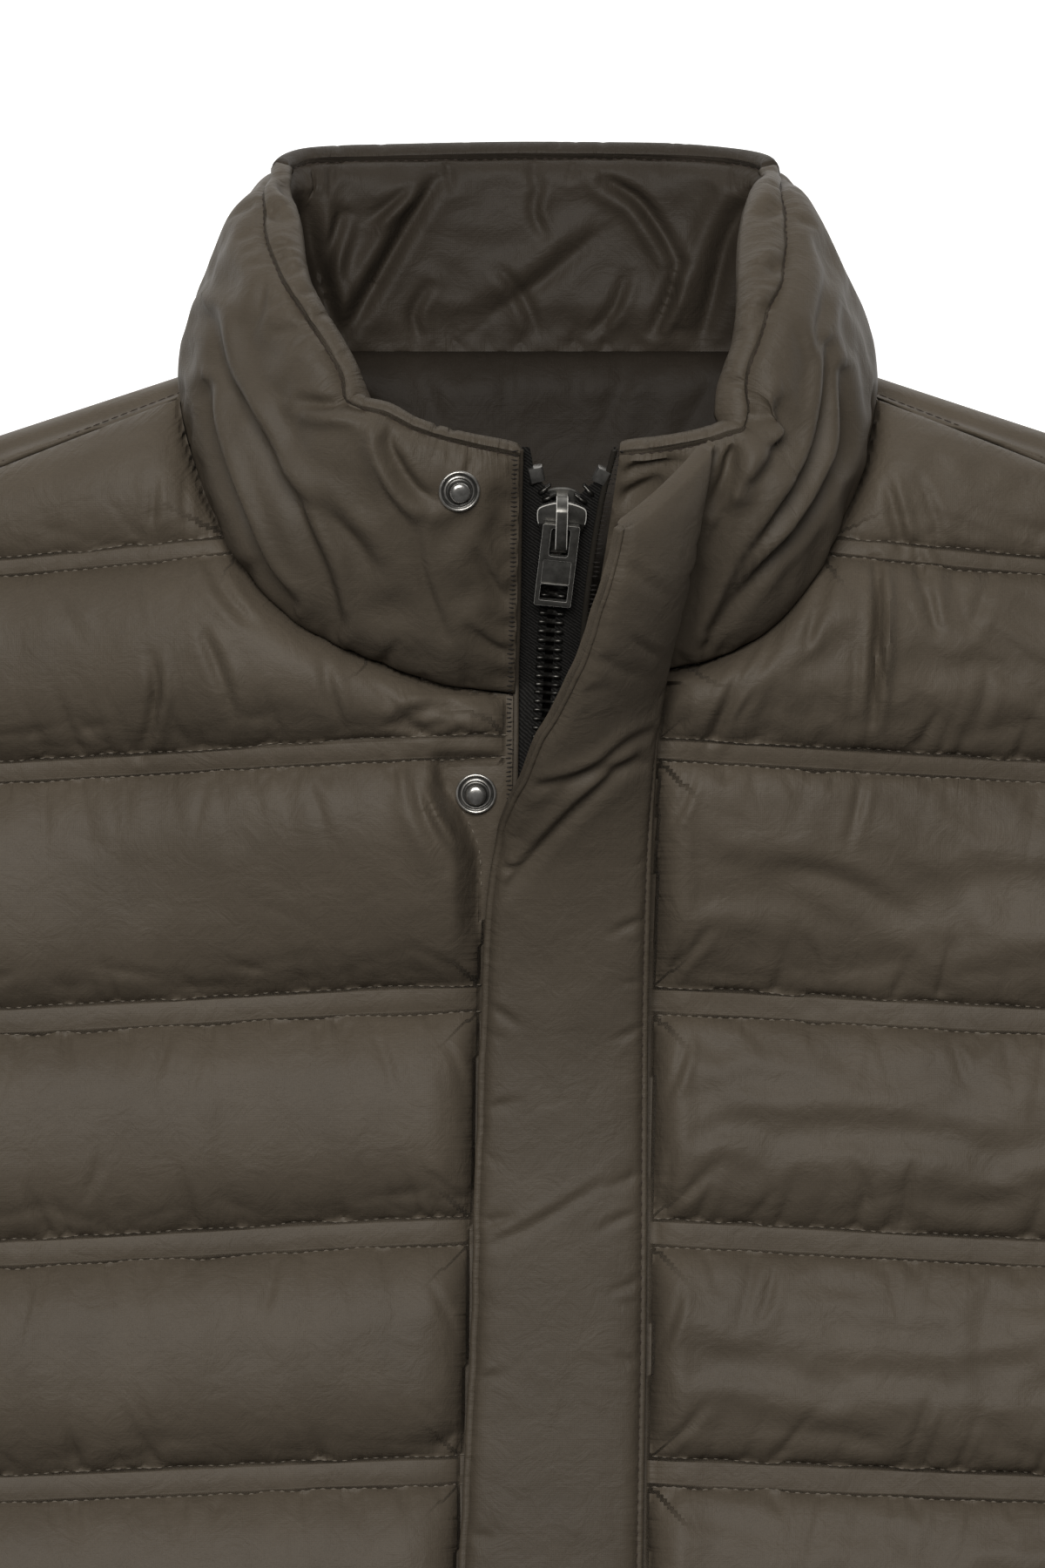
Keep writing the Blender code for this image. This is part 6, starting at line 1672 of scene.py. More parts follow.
WRAPS = {side: shoulder_wrap(side) for side in (-1, 1)}
bpy.context.view_layer.update()
for side in (-1, 1):
    wrap, pts = WRAPS[side]
    up = np.zeros((pts.shape[1], 3))
    up[:, 2] = 1
    line = pts[:, :, -1].T + np.array([0.0, 1.6, 0.25])
    stitches("shoulder_seam_left" if side > 0 else "shoulder_seam_right", [(line, up)], THREAD_DARK, pitch=3.0, length=2.3, radius=0.26)

# the shoulder edges are part of the back's own cloth
bm = bmesh.new()
bm.from_mesh(BACK_OBJ.data)
for side in (-1, 1):
    bm.from_mesh(WRAPS[side][0].data)
bm.to_mesh(BACK_OBJ.data)
bm.free()
for side in (-1, 1):
    bpy.data.objects.remove(WRAPS[side][0])
BACK_OBJ.data.shade_smooth()
BACK_OBJ.data.set_sharp_from_angle(angle=math.radians(60))
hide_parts("back")


def lining():
    rng = np.random.default_rng(91)
    step = 1.9
    y = rows_between([325.4, 322.0, 172.0], lambda m: 1.0 if m > 322 else step)
    half = np.interp(y, [172.0, 215.0, 260.0, 300.0, 314.5, 325.4], [90.0, 92.0, 92.0, 91.0, 88.0, 84.0])
    u = np.linspace(-1, 1, int(180 / step) | 1)
    Y, U = np.meshgrid(y, u, indexing="ij")
    X = U * half[:, None]
    fall = 11.0 * (1 - dome(np.maximum(325.4 - Y, 0), 16.0))
    Z = BACK_TOP + 0.5 + 2.2 - fall
    edge = dome(np.minimum(325.4 - Y, 30.0), 14.0) * dome((1 - np.abs(U)) * 90.0, 12.0) * dome(Y - 172.0, 12.0)
    Z = Z + edge * (2.6 + 0.5 * noise(X, Y, (34, 22), 92))
    table = [
        (-36.0, 324.0, -26.0, 300.0, 1.0, 2.6, 1.1, 0.6), (34.0, 324.0, 22.0, 298.0, -1.0, 2.6, 1.1, 0.6),
        (-58.0, 318.0, -40.0, 288.0, 2.0, 3.4, 1.3, 0.6), (60.0, 318.0, 44.0, 290.0, -2.0, 3.4, 1.3, 0.6),
        (-8.0, 324.0, -5.0, 306.0, 0.5, 2.2, 0.8, 0.5), (12.0, 324.0, 15.0, 308.0, 0.5, 2.2, 0.8, 0.5),
        (-70.0, 290.0, -30.0, 270.0, 2.0, 4.0, 1.0, 0.5), (66.0, 286.0, 24.0, 272.0, 2.0, 4.0, 0.9, 0.5),
    ]
    Z = Z + creases(X, Y, table) * np.clip(edge, 0, 1)
    Z = Z - edge * notches(X, 325.4 - Y, drawn_in(rng, -84.0, 84.0, (4.0, 11.0), (3.0, 12.0), (-0.4, 0.4), (1.2, 3.0), (0.5, 1.8)))
    free = np.ones(X.shape, bool)
    free[0] = free[-1] = False
    free[:, 0] = free[:, -1] = False
    d = 325.4 - Y
    P = settle(np.stack([X, Y, Z + np.where(free, rng.normal(0, 0.1, X.shape), 0)]), free, np.ones_like(free), 1 + 0.002 + 0.03 * np.exp(-d / 8.0), 1 + 0.002 + 0 * d, ITERS // 2, bend=0.03, floor=(Z * 0 + BACK_TOP - 12.0).astype(F), cap=4.0)
    low = np.stack([X, Y, P[2] - 1.4])
    # the back lining wears the lining's darker copy, a painted shade of the hollow
    obj = closed_panel("lining_back", P, low, np.ones((len(y) - 1, len(u) - 1), bool), BODY_LINING_SHADED, flip=False)
    seam_marks(obj, X, d, 0.34 * np.exp(-d / 5.0), np.ones(X.shape, bool))
    return obj


LINING_OBJ = lining()
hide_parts("lining_back")
say("back and lining", tri_count(BACK_OBJ), tri_count(LINING_OBJ))


# ================================================================ the sleeves
def sleeve_to_world(side, down, out):
    s, c = math.sin(SLEEVE_TILT), math.cos(SLEEVE_TILT)
    return side * (SLEEVE_ORIGIN[0] + down * s + out * c), SLEEVE_ORIGIN[1] - down * c + out * s


def world_to_sleeve(x, y):
    s, c = math.sin(SLEEVE_TILT), math.cos(SLEEVE_TILT)
    dx, dy = x - SLEEVE_ORIGIN[0], y - SLEEVE_ORIGIN[1]
    return dx * s - dy * c, dx * c + dy * s


def sleeve(side, top, name):
    rng = np.random.default_rng(100 + 3 * side + 7 * top)
    ys = [y for y in column(OUTLINE, 0) if 29.0 < y < 262.0]
    reach = x_front if top else x_back
    if not top:
        ys = [y for y in column(OUTLINE, 0) if 29.0 < y < 270.0]
    arm = [SHOULDER_TIP] + [(float(reach(y)) + 0.3, y - 0.2 if top else y) for y in ys]
    seam = [world_to_sleeve(x, y) for x, y in arm]
    seam = [(a, c + SEAM_GAP - 2.2) for a, c in seam]
    last = seam[-1][0]
    a_s, inner, outer = (column(SLEEVE_EDGES, k) for k in (0, 1, 2))
    down = [a for a in np.linspace(last + 6, CUFF, 40)]
    inside_edge = [(a, max(float(smooth_curve(a, a_s, inner)), -13.6)) for a in down]
    outside = [(a, float(smooth_curve(a, a_s, outer))) for a in np.linspace(CUFF, seam[0][0], 90)]
    outline = np.array(seam + inside_edge + outside)
    step = 3.9
    lines_a = [-30.0] + [e for q in SLEEVE_QUILT for e in q] + [CUFF + 4.0]
    rows = rows_between([-12.0] + [e for q in SLEEVE_QUILT for e in q] + [CUFF], lambda m: step)
    cols = np.arange(-56.0, 184.0, step)
    A, C = np.meshgrid(rows, cols, indexing="ij")
    A2, C2, used, rim = fit_grid(A, C, outline)
    lines_v = [-a for a in lines_a]
    V = -A2
    d_rim = nearest(A2, C2, np.vstack([outline, outline[:1]]))[0]
    thin = 1 - (1 - SLEEVE_THIN) * ease(A2 / CUFF)
    X, Y = sleeve_to_world(side, A2, C2)
    table = scattered(rng, 46, -10, 165, -640, -20, -np.array([e for q in SLEEVE_QUILT for e in q]), (10, 30), (0.8, 2.0))
    # the cloth folds across the inside of the elbow
    table += [(-8.0 + 14 * k, -330.0 + rng.normal(0, 8) - 6 * k, 40.0 + 14 * k, -345.0 - 8 * k + rng.normal(0, 6), 3.0, 4.5, 1.8, 0.7) for k in range(5)]
    if top:
        fill = dome(d_rim, 30.0) * thin
        full = EDGE_T + fill * (STITCH_T - EDGE_T + (LOFT + 1.5) * pillow(V, lines_v) * (1 + 0.08 * noise(A2, C2, (50, 34), 5 + side)))
        soft = np.clip(fill, 0, 1)
        rough = creases(C2, V, table) * soft
        for lo_a, hi_a in SLEEVE_QUILT:
            rough -= soft ** 0.5 * notches(C2, V + lo_a, drawn_in(rng, -40.0, 180.0, (7.0, 17.0), (4.0, 16.0), (-0.6, 0.6), (3.0, 5.5), (0.8, 3.2)))
            rough -= soft ** 0.5 * notches(C2, -hi_a - V, drawn_in(rng, -40.0, 180.0, (6.0, 15.0), (3.0, 12.0), (-0.5, 0.5), (2.5, 4.5), (0.5, 1.8)))
        Z = np.maximum(FRONT_BASE + full + rough, FRONT_BASE + 1.6)
        d_row = np.min(np.abs(A2[..., None] - np.array([e for q in SLEEVE_QUILT for e in q])), axis=-1)
        free = ~(rim | (d_row < 1e-6))
        P = np.stack([X, Y, Z + np.where(free, rng.normal(0, 0.12, X.shape), 0)])
        grow = 1 + (0.002 + 0.03 * np.exp(-d_row / 8.0) + 0.03 * np.exp(-d_rim / 9.0))
        grid = P[:, :, ::-1] if side < 0 else P
        flipper = (lambda a: a[:, ::-1]) if side < 0 else (lambda a: a)
        grid = settle(grid, flipper(free), flipper(used), flipper(grow), flipper(1 + 0.004 + 0 * grow), ITERS // 2, bend=0.03, floor=(flipper(Z) * 0 + FRONT_BASE + 1.2).astype(F), cap=6.0)
        P = grid[:, :, ::-1] if side < 0 else grid
        bottom = np.stack([X, Y, np.full_like(X, FRONT_BASE)])
    else:
        under = grooves(V, lines_v, 5.0)
        under = np.maximum(under, 13.0 * (1 - dome(d_rim, 30.0)))
        under = under + np.clip(-creases(C2, V, table) * 1.2, 0, 3)
        for lo_a, hi_a in SLEEVE_QUILT:
            under = under + 0.9 * notches(C2, V + lo_a, drawn_in(rng, -40.0, 180.0, (7.0, 18.0), (6.0, 20.0), (-0.5, 0.5), (3.0, 5.0), (0.8, 2.4)))
            under = under + 0.9 * notches(C2, -hi_a - V, drawn_in(rng, -40.0, 180.0, (7.0, 18.0), (5.0, 16.0), (-0.5, 0.5), (3.0, 5.0), (0.8, 2.2)))
        under[under < 0.15] = 0.0
        under = np.minimum(under, 15.0)
        P = np.stack([X, Y, np.maximum(BACK_TOP - 0.1, under + 2)])
        bottom = np.stack([X, Y, under])
    keep = used[1:, 1:] & used[:-1, 1:] & used[1:, :-1] & used[:-1, :-1]
    within = ~rim
    keep &= within[1:, 1:] | within[:-1, 1:] | within[1:, :-1] | within[:-1, :-1]
    i, j = np.argwhere(keep)[len(np.argwhere(keep)) // 2]
    turn = np.cross(P[:, i, j + 1] - P[:, i, j], P[:, i + 1, j] - P[:, i, j])[2] > 0
    obj = closed_panel(name, P, bottom, keep, SHELL, flip=turn, coarse=None)
    if top:
        keep_top = np.zeros(X.shape, bool)
        for oa in (slice(None, -1), slice(1, None)):
            for ob in (slice(None, -1), slice(1, None)):
                keep_top[oa, ob] |= keep
        pull = np.maximum(np.exp(-d_row / 4.0), np.exp(-d_rim / 4.5))
        seam_marks(obj, C2 + 3 * A2 * 0, d_row, 0.30 * pull, keep_top)
    face = P if top else bottom
    sign = 1.0 if top else -1.0
    up = np.zeros_like(face)
    up[2] = sign
    if top:
        up = grid_normals(face)
        up *= np.sign(up[2])[None]
    runs = []
    for e in [e for q in SLEEVE_QUILT for e in q]:
        r = int(np.argmin(np.abs(rows - e)))
        m = used[r] & ~rim[r]
        if m.sum() > 4:
            runs.append((face[:, r, m].T, up[:, r, m].T))
    stitches(f"quilting_{name}", runs, THREAD, pitch=3.6, length=2.6, sides=3)
    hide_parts(name)
    return obj


for side, word in ((-1, "right"), (1, "left")):
    a = sleeve(side, True, f"sleeve_{word}_upper")
    b = sleeve(side, False, f"sleeve_{word}_under")
    say("sleeve", word, tri_count(a), tri_count(b))


# ================================================================ the zip: two woven tapes, two rows of teeth, stops, a slider and its pull
ROW_AT = (  # y, how far each row of teeth stands from the zip's middle line: right row, left row
    (297.0, 11.6, 14.0),
    (290.0, 9.4, 12.4),
    (286.0, 8.0, 10.4),
    (284.0, 5.9, 8.0),
    (282.3, 4.1, 5.7),
    (279.5, 2.4, 3.6),
    (276.5, 1.2, 1.5),
    (273.5, 0.5, 0.5),
    (271.0, 0.3, 0.3),
    (262.0, 0.15, 0.15),
    (-379.0, 0.15, 0.15),
)
PITCH = 2.65
CHAIN_HALF = 3.9
TAPE_T = 1.2
SLIDER_Y = 277.0


ZIP_Y = np.concatenate([np.arange(-384.0, 150.0, 4.0), np.arange(150.0, 297.0, 0.5)])
ZIP_X, ZIP_Z = zip_x(ZIP_Y), zip_z(ZIP_Y)
EDGE = {side: edge_x(side, ZIP_Y) for side in (-1, 1)}


def row_x(side, y):
    k = 1 if side < 0 else 2
    return np.interp(y, ZIP_Y, ZIP_X) + side * np.interp(y, column(ROW_AT, 0)[::-1], column(ROW_AT, k)[::-1])


def row_frame(side, y):
    """Position and axes of the row at a height: across it towards the other row, along it, and out of it."""
    at = np.array([y - 1.0, y, y + 1.0])
    line = np.stack([row_x(side, at), at, np.interp(at, ZIP_Y, ZIP_Z)], -1)
    o, a = line[1], line[2] - line[0]
    a /= np.linalg.norm(a)
    across = np.array([-side * 1.0, 0.0, 0.0])
    across -= a * (across @ a)
    across /= np.linalg.norm(across)
    out = np.cross(across, a)
    if out[2] < 0:
        out = -out
    return o, across, a, out


def tape(side, name):
    top_y = 294.0
    ys = np.concatenate([np.arange(-380.0, 180.0, 6.0), np.arange(180.0, top_y, 1.2), [top_y]])
    start = row_x(side, ys) + side * (1.1 - np.clip((ys - 287.5) / 3.0, 0, 1) * 0.3)
    edge = edge_x(side, ys) - side * np.where(ys < NECK_Y, SEAM_GAP, NECK_GAP)
    cols = np.array([0.0, 0.08, 0.3, 0.6, 0.85, 1.0])
    X = start[:, None] + (edge - start)[:, None] * cols
    z = zip_z(ys)[:, None] + 0 * X
    round_top = np.clip((ys - (top_y - 3.0)) / 3.0, 0, 1)[:, None]
    half = 0.42 * np.sqrt(np.maximum(1 - round_top ** 2, 0.02)) * np.array([0.5, 1, 1, 1, 1, 0.8])
    Y = ys[:, None] + 0 * X - round_top * 0.0
    ribs = 0.05 * np.sin(ys * 2.6)[:, None]
    top = np.stack([X, Y, z + half + ribs])
    bottom = np.stack([X, Y, z - half])
    keep = np.ones((len(ys) - 1, len(cols) - 1), bool)
    obj = closed_panel(name, top, bottom, keep, TAPE_MAT, flip=side > 0)
    bm = bmesh.new()
    bm.from_mesh(obj.data)
    bmesh.ops.recalc_face_normals(bm, faces=bm.faces)
    bm.to_mesh(obj.data)
    bm.free()
    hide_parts(name)
    return obj


TAPES = {side: tape(side, name) for side, name in ((-1, "zip_tape_right"), (1, "zip_tape_left"))}

TOOTH = (  # from the row's line outwards, half width along the row, half height
    (-0.75, 0.30, 0.70),
    (-0.45, 0.50, 1.05),
    (0.95, 0.50, 1.15),
    (1.25, 0.62, 1.55),
    (3.20, 0.66, 1.62),
    (3.62, 0.50, 1.30),
    (3.75, 0.25, 0.80),
)


def teeth(side, name, ys, sides):
    verts, faces = [], []
    ang = np.arange(sides) * 2 * math.pi / sides + math.pi / sides
    sec = np.stack([np.sign(np.cos(ang)) * np.abs(np.cos(ang)) ** 0.6, np.sign(np.sin(ang)) * np.abs(np.sin(ang)) ** 0.6], -1)
    rng = np.random.default_rng(9 + side)
    for y in ys:
        o, across, along, out = row_frame(side, float(y))
        tip = rng.normal(0, 0.03)
        base = len(verts)
        for a, hy, hz in TOOTH:
            for cy, cz in sec:
                verts.append(o - across * a + along * (cy * hy + tip) + out * cz * hz)
        for r in range(len(TOOTH) - 1):
            for k in range(sides):
                k2 = (k + 1) % sides
                f = (base + r * sides + k, base + (r + 1) * sides + k, base + (r + 1) * sides + k2, base + r * sides + k2)
                faces.append(f if side < 0 else f[::-1])
        a = tuple(base + k for k in range(sides))
        b = tuple(base + (len(TOOTH) - 1) * sides + k for k in range(sides))[::-1]
        faces.append(a if side < 0 else a[::-1])
        faces.append(b if side < 0 else b[::-1])
    obj = new_object(name, np.array(verts), faces, GUN_DARK)
    bm = bmesh.new()
    bm.from_mesh(obj.data)
    bmesh.ops.recalc_face_normals(bm, faces=bm.faces)
    bm.to_mesh(obj.data)
    bm.free()
    obj.data.set_sharp_from_angle(angle=math.radians(50))
    return obj


for side, word, phase in ((-1, "right", 0.0), (1, "left", 0.5)):
    all_y = 285.4 - (1.4 if side > 0 else 0.0) - (np.arange(250) + phase) * PITCH
    open_y = all_y[all_y > 279.0]
    closed_y = all_y[(all_y < 271.5) & (all_y > -378.0)]
    teeth(side, f"zip_teeth_{word}_top", list(open_y) + list(closed_y[closed_y > 180.0]), 10)
    teeth(side, f"zip_teeth_{word}_low", closed_y[closed_y <= 180.0], 4)


def bevelled(name, bm, material, bevel, matrix, body="jacket", segments=2, angle=35.0, edge=None, shade=None):
    """A hard piece in its own frame (mm), its sharp edges rounded."""
    bmesh.ops.recalc_face_normals(bm, faces=bm.faces)
    sharp = [e for e in bm.edges if len(e.link_faces) == 2 and e.calc_face_angle(0.0) > math.radians(angle)]
    if bevel > 0:
        # the bevel faces go to slot 1, the edges' painted highlight when one is given
        bmesh.ops.bevel(bm, geom=sharp, offset=bevel, offset_type="OFFSET", segments=segments, profile=0.6, affect="EDGES", clamp_overlap=True, material=1)
    bmesh.ops.recalc_face_normals(bm, faces=bm.faces)
    # faces looking out of the plate below the shade line take the dark metal, slot 2: a painted shadow of the pull and
    # the bridge
    if shade is not None:
        bmesh.ops.bisect_plane(bm, geom=bm.verts[:] + bm.edges[:] + bm.faces[:], plane_co=(0, shade, 0), plane_no=(0, 1, 0))
        for f in bm.faces:
            if f.normal.z > 0.9 and f.calc_center_median().y < shade:
                f.material_index = 2
    M3 = np.array(matrix)
    pts = np.array([v.co[:] for v in bm.verts])
    pts = pts @ M3[:3, :3].T + M3[:3, 3] / MM
    bm.verts.index_update()
    faces = [[v.index for v in f.verts] for f in bm.faces]
    painted_light_slot = np.array([f.material_index for f in bm.faces], np.int32)
    bm.free()
    obj = new_object(name, pts, faces, material, body)
    # slot 1 holds the edges' painted highlight, slot 2 the dark metal as a painted shadow
    if edge is not None and len(obj.data.polygons) == len(painted_light_slot):
        obj.data.materials.append(edge)
        obj.data.materials.append(GUN_DARK)
        obj.data.polygons.foreach_set("material_index", painted_light_slot)
    obj.data.set_sharp_from_angle(angle=math.radians(40))
    return obj


def plate(bm, outline, z0, z1, crown=0.0):
    low = [bm.verts.new((x, y, z0)) for x, y in outline]
    high = [bm.verts.new((x, y, z1 + crown)) for x, y in outline]
    bm.faces.new(low[::-1])
    bm.faces.new(high)
    for i in range(len(outline)):
        j = (i + 1) % len(outline)
        bm.faces.new((low[i], low[j], high[j], high[i]))


def box(bm, x0, x1, y0, y1, z0, z1):
    plate(bm, [(x0, y0), (x1, y0), (x1, y1), (x0, y1)], z0, z1)


def mirrored(half_outline):
    """A closed outline from its right half, listed from the nose down."""
    right = list(half_outline)
    left = [(-x, y) for x, y in right[::-1]]
    return (right + left)[::-1]


# the top stops, folded round each tape above the last tooth
for side, word, x, y, tilt in ((-1, "right", 2.9, 286.3, 13.0), (1, "left", 22.0, 285.9, -29.0)):
    _, _, _, out = row_frame(side, y)
    o = np.array([x, y, float(zip_z(y))])
    across = np.array([math.cos(math.radians(tilt)), math.sin(math.radians(tilt)), 0.0]) * -side
    across -= out * (across @ out)
    across /= np.linalg.norm(across)
    along = np.cross(out, across) * -side
    m = Matrix.Identity(4)
    for r in range(3):
        m[r][0], m[r][1], m[r][2], m[r][3] = across[r], along[r], out[r], o[r] * MM
    bm = bmesh.new()
    side_view = [(-1.7, -1.4), (1.9, -1.7), (2.3, -1.0), (2.3, 1.0), (1.9, 1.7), (-1.7, 1.4), (-2.1, 0.9), (-2.1, -0.9)]
    lo = [bm.verts.new((-x, -2.35, z)) for x, z in side_view]
    hi = [bm.verts.new((-x, 2.35, z)) for x, z in side_view]
    bm.faces.new(lo)
    bm.faces.new(hi[::-1])
    for i in range(len(side_view)):
        j = (i + 1) % len(side_view)
        bm.faces.new((lo[i], hi[i], hi[j], lo[j]))
    bevelled(f"zip_stop_{word}", bm, STEEL, 0.26, m)

# the slider and its pull share a frame: X across the zip, Y up along it, Z out of it
lean = math.radians(-3.0)
along_v = Vector((math.sin(-lean) * 0.6, math.cos(lean), ZIP_SLOPE)).normalized()
across_v = Vector((1.0, 0.0, 0.0))
across_v = (across_v - along_v * across_v.dot(along_v)).normalized()
out_v = across_v.cross(along_v)
SLIDER_AT = Vector((float(zip_x(SLIDER_Y)), SLIDER_Y, float(zip_z(SLIDER_Y)))) * MM
SLIDER_FRAME = Matrix.Translation(SLIDER_AT) @ Matrix((across_v, along_v, out_v)).transposed().to_4x4()
BODY_FRAME = SLIDER_FRAME @ Matrix.Translation(Vector((0.0, -2.0, 0.0)) * MM)
PLATE_GAP, PLATE_T = 2.0, 1.3
BAR_Y, PIN_R, PULL_T = -4.6, 0.7, 1.7
PULL_WIDTH, PULL_LENGTH = 11.0, 26.2
PIN_Z = PLATE_GAP + PLATE_T + 0.5 + PULL_T / 2
BRIDGE_LOW = PIN_Z + PIN_R + 0.50
BRIDGE_HIGH = BRIDGE_LOW + 1.2

TOP_PLATE = ((0.0, 4.3), (2.4, 4.15), (4.6, 3.55), (6.4, 2.75), (7.1, 2.0), (7.35, 0.9), (7.2, -1.8), (6.3, -4.4), (5.3, -6.8), (4.9, -9.0), (4.6, -11.6), (4.2, -12.2))
LOW_PLATE = ((0.0, 6.5), (1.8, 6.4), (3.6, 5.9), (4.6, 5.3), (6.3, 4.0), (7.2, 2.6), (7.3, 0.6), (7.2, -1.8), (6.3, -4.4), (5.3, -6.8), (4.9, -9.0), (4.6, -11.6), (4.2, -12.2))


def curved(half_outline, steps=4):
    """The outline's corners softened by a curve through its points."""
    pts = np.array(half_outline, float)
    at = np.linspace(0, len(pts) - 1, (len(pts) - 1) * steps + 1)
    return [(float(x), float(y)) for x, y in zip(spline(at, None, pts[:, 0]), spline(at, None, pts[:, 1]))]


def slider_pieces():
    objs = []
    bm = bmesh.new()
    outline = mirrored(curved(TOP_PLATE)[1:])
    plate(bm, outline, PLATE_GAP, PLATE_GAP + PLATE_T)
    # the top plate's face below y -2.6 takes the painted shadow of the pull and bridge
    objs.append(bevelled("zip_slider", bm, GUN, 0.32, BODY_FRAME, angle=50.0, edge=GUN_GLINT, shade=-2.6))
    bm = bmesh.new()
    plate(bm, mirrored(curved(LOW_PLATE)[1:]), -PLATE_GAP - PLATE_T, -PLATE_GAP)
    objs.append(bevelled("zip_slider_base", bm, GUN, 0.32, BODY_FRAME, angle=50.0))
    # the post between the plates, and the side walls that close on the tapes
    bm = bmesh.new()
    plate(bm, [(-0.8, 2.6), (0.8, 2.6), (1.7, 5.4), (-1.7, 5.4)], -PLATE_GAP - 0.3, PLATE_GAP + 0.3)
    objs.append(bevelled("zip_slider_post", bm, GUN, 0.15, BODY_FRAME))
    for s, word in ((-1, "right"), (1, "left")):
        outer = [(x, y) for x, y in curved(TOP_PLATE) if y < 0.8]
        inner = [(x - 0.95, y) for x, y in outer][::-1]
        loop = [(s * x, y) for x, y in outer + inner]
        for k, (z0, z1) in enumerate(((0.75, PLATE_GAP + 0.3), (-PLATE_GAP - 0.3, -0.75))):
            bm = bmesh.new()
            plate(bm, loop if s > 0 else loop[::-1], z0, z1)
            objs.append(bevelled(f"zip_slider_wall_{word}_{'upper' if k == 0 else 'lower'}", bm, GUN, 0.12, BODY_FRAME, angle=60.0))
    # the bridge that the pull swings under
    low = PLATE_GAP + PLATE_T - 0.4
    side_view = [
        (5.4, PLATE_GAP - 1.4), (5.5, low), (4.4, BRIDGE_LOW - 0.6), (3.4, BRIDGE_HIGH - 0.25), (2.7, BRIDGE_HIGH), (-8.1, BRIDGE_HIGH),
        (-9.3, BRIDGE_HIGH - 0.35), (-10.2, BRIDGE_LOW - 0.2), (-10.5, low), (-9.1, low), (-8.9, BRIDGE_LOW - 0.5), (-8.0, BRIDGE_LOW), (2.3, BRIDGE_LOW), (3.2, low), (3.4, PLATE_GAP - 1.4),
    ]
    bm = bmesh.new()
    left = [bm.verts.new((-1.75, y, z)) for y, z in side_view]
    right = [bm.verts.new((1.75, y, z)) for y, z in side_view]
    bm.faces.new(left)
    bm.faces.new(right[::-1])
    n = len(side_view)
    for i in range(n):
        j = (i + 1) % n
        bm.faces.new((left[i], right[i], right[j], left[j]))
    objs.append(bevelled("zip_slider_bridge", bm, GUN, 0.22, BODY_FRAME, angle=40.0, edge=GUN_GLINT))
    return objs


SLIDER = slider_pieces()
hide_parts("zip_slider")

PULL_FRAME = SLIDER_FRAME @ Matrix.Translation(Vector((0.0, BAR_Y, PIN_Z)) * MM) @ Matrix.Rotation(math.radians(-4.5), 4, "Z")


def rounded(x0, x1, y0, y1, r, n=4):
    """A rectangle with round corners, anticlockwise."""
    pts = []
    for cx, cy, a0 in ((x1 - r, y1 - r, 0), (x0 + r, y1 - r, 90), (x0 + r, y0 + r, 180), (x1 - r, y0 + r, 270)):
        for k in range(n + 1):
            a = math.radians(a0 + 90 * k / n)
            pts.append((cx + r * math.cos(a), cy + r * math.sin(a)))
    return pts


def plate_with_windows(bm, outer, holes, z0, z1):
    for loop in [outer] + holes:
        verts = [bm.verts.new((x, y, z0)) for x, y in loop]
        for i in range(len(verts)):
            bm.edges.new((verts[i], verts[(i + 1) % len(verts)]))
    bmesh.ops.triangle_fill(bm, use_beauty=True, use_dissolve=False, edges=bm.edges[:])
    out = bmesh.ops.extrude_face_region(bm, geom=bm.faces[:])
    bmesh.ops.translate(bm, vec=(0, 0, z1 - z0), verts=[g for g in out["geom"] if isinstance(g, bmesh.types.BMVert)])


def pull_pieces():
    half, tip = PULL_WIDTH / 2, -PULL_LENGTH
    bm = bmesh.new()
    outer = rounded(-half, half, tip, 0.60, 0.60)
    upper = rounded(-2.9, 2.9, -9.8, -0.58, 0.9)
    middle = rounded(-4.15, 4.15, -18.8, -11.2, 0.35)
    lower = rounded(-4.15, 4.15, tip + 1.7, -19.15, 0.35)
    plate_with_windows(bm, outer, [upper, middle, lower], -PULL_T / 2, PULL_T / 2)
    objs = [bevelled("zip_pull", bm, GUN, 0.24, PULL_FRAME, body="pull", angle=50.0, edge=GUN_GLINT)]
    # the panel, sunk a little into its frame on both faces
    bm = bmesh.new()
    plate(bm, rounded(-4.3, 4.3, -19.0, -11.0, 0.3), -PULL_T / 2 + 0.35, PULL_T / 2 - 0.35)
    objs.append(bevelled("zip_pull_panel", bm, GUN, 0.08, PULL_FRAME, body="pull", angle=50.0))
    return objs


PULL = pull_pieces()
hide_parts("zip_pull")


# ================================================================ the snap studs
STUD_PROFILE = (  # radius, height
    (0.0, 0.05),
    (5.6, 0.05),
    (6.05, 0.30),
    (6.15, 0.65),
    (6.00, 1.00),
    (5.72, 1.16),
    (5.40, 1.10),
    (5.05, 0.72),
    (4.78, 0.66),
    (4.60, 0.92),
    (4.30, 1.16),
    (4.02, 1.12),
    (3.85, 0.86),
    (3.65, 0.80),
    (3.35, 0.95),
    (3.10, 1.18),
    (2.90, 1.55),
    (2.88, 2.60),
    (3.04, 3.10),
    (3.10, 3.50),
    (2.98, 3.95),
    (2.60, 4.32),
    (1.90, 4.53),
    (1.00, 4.62),
    (0.0, 4.64),
)


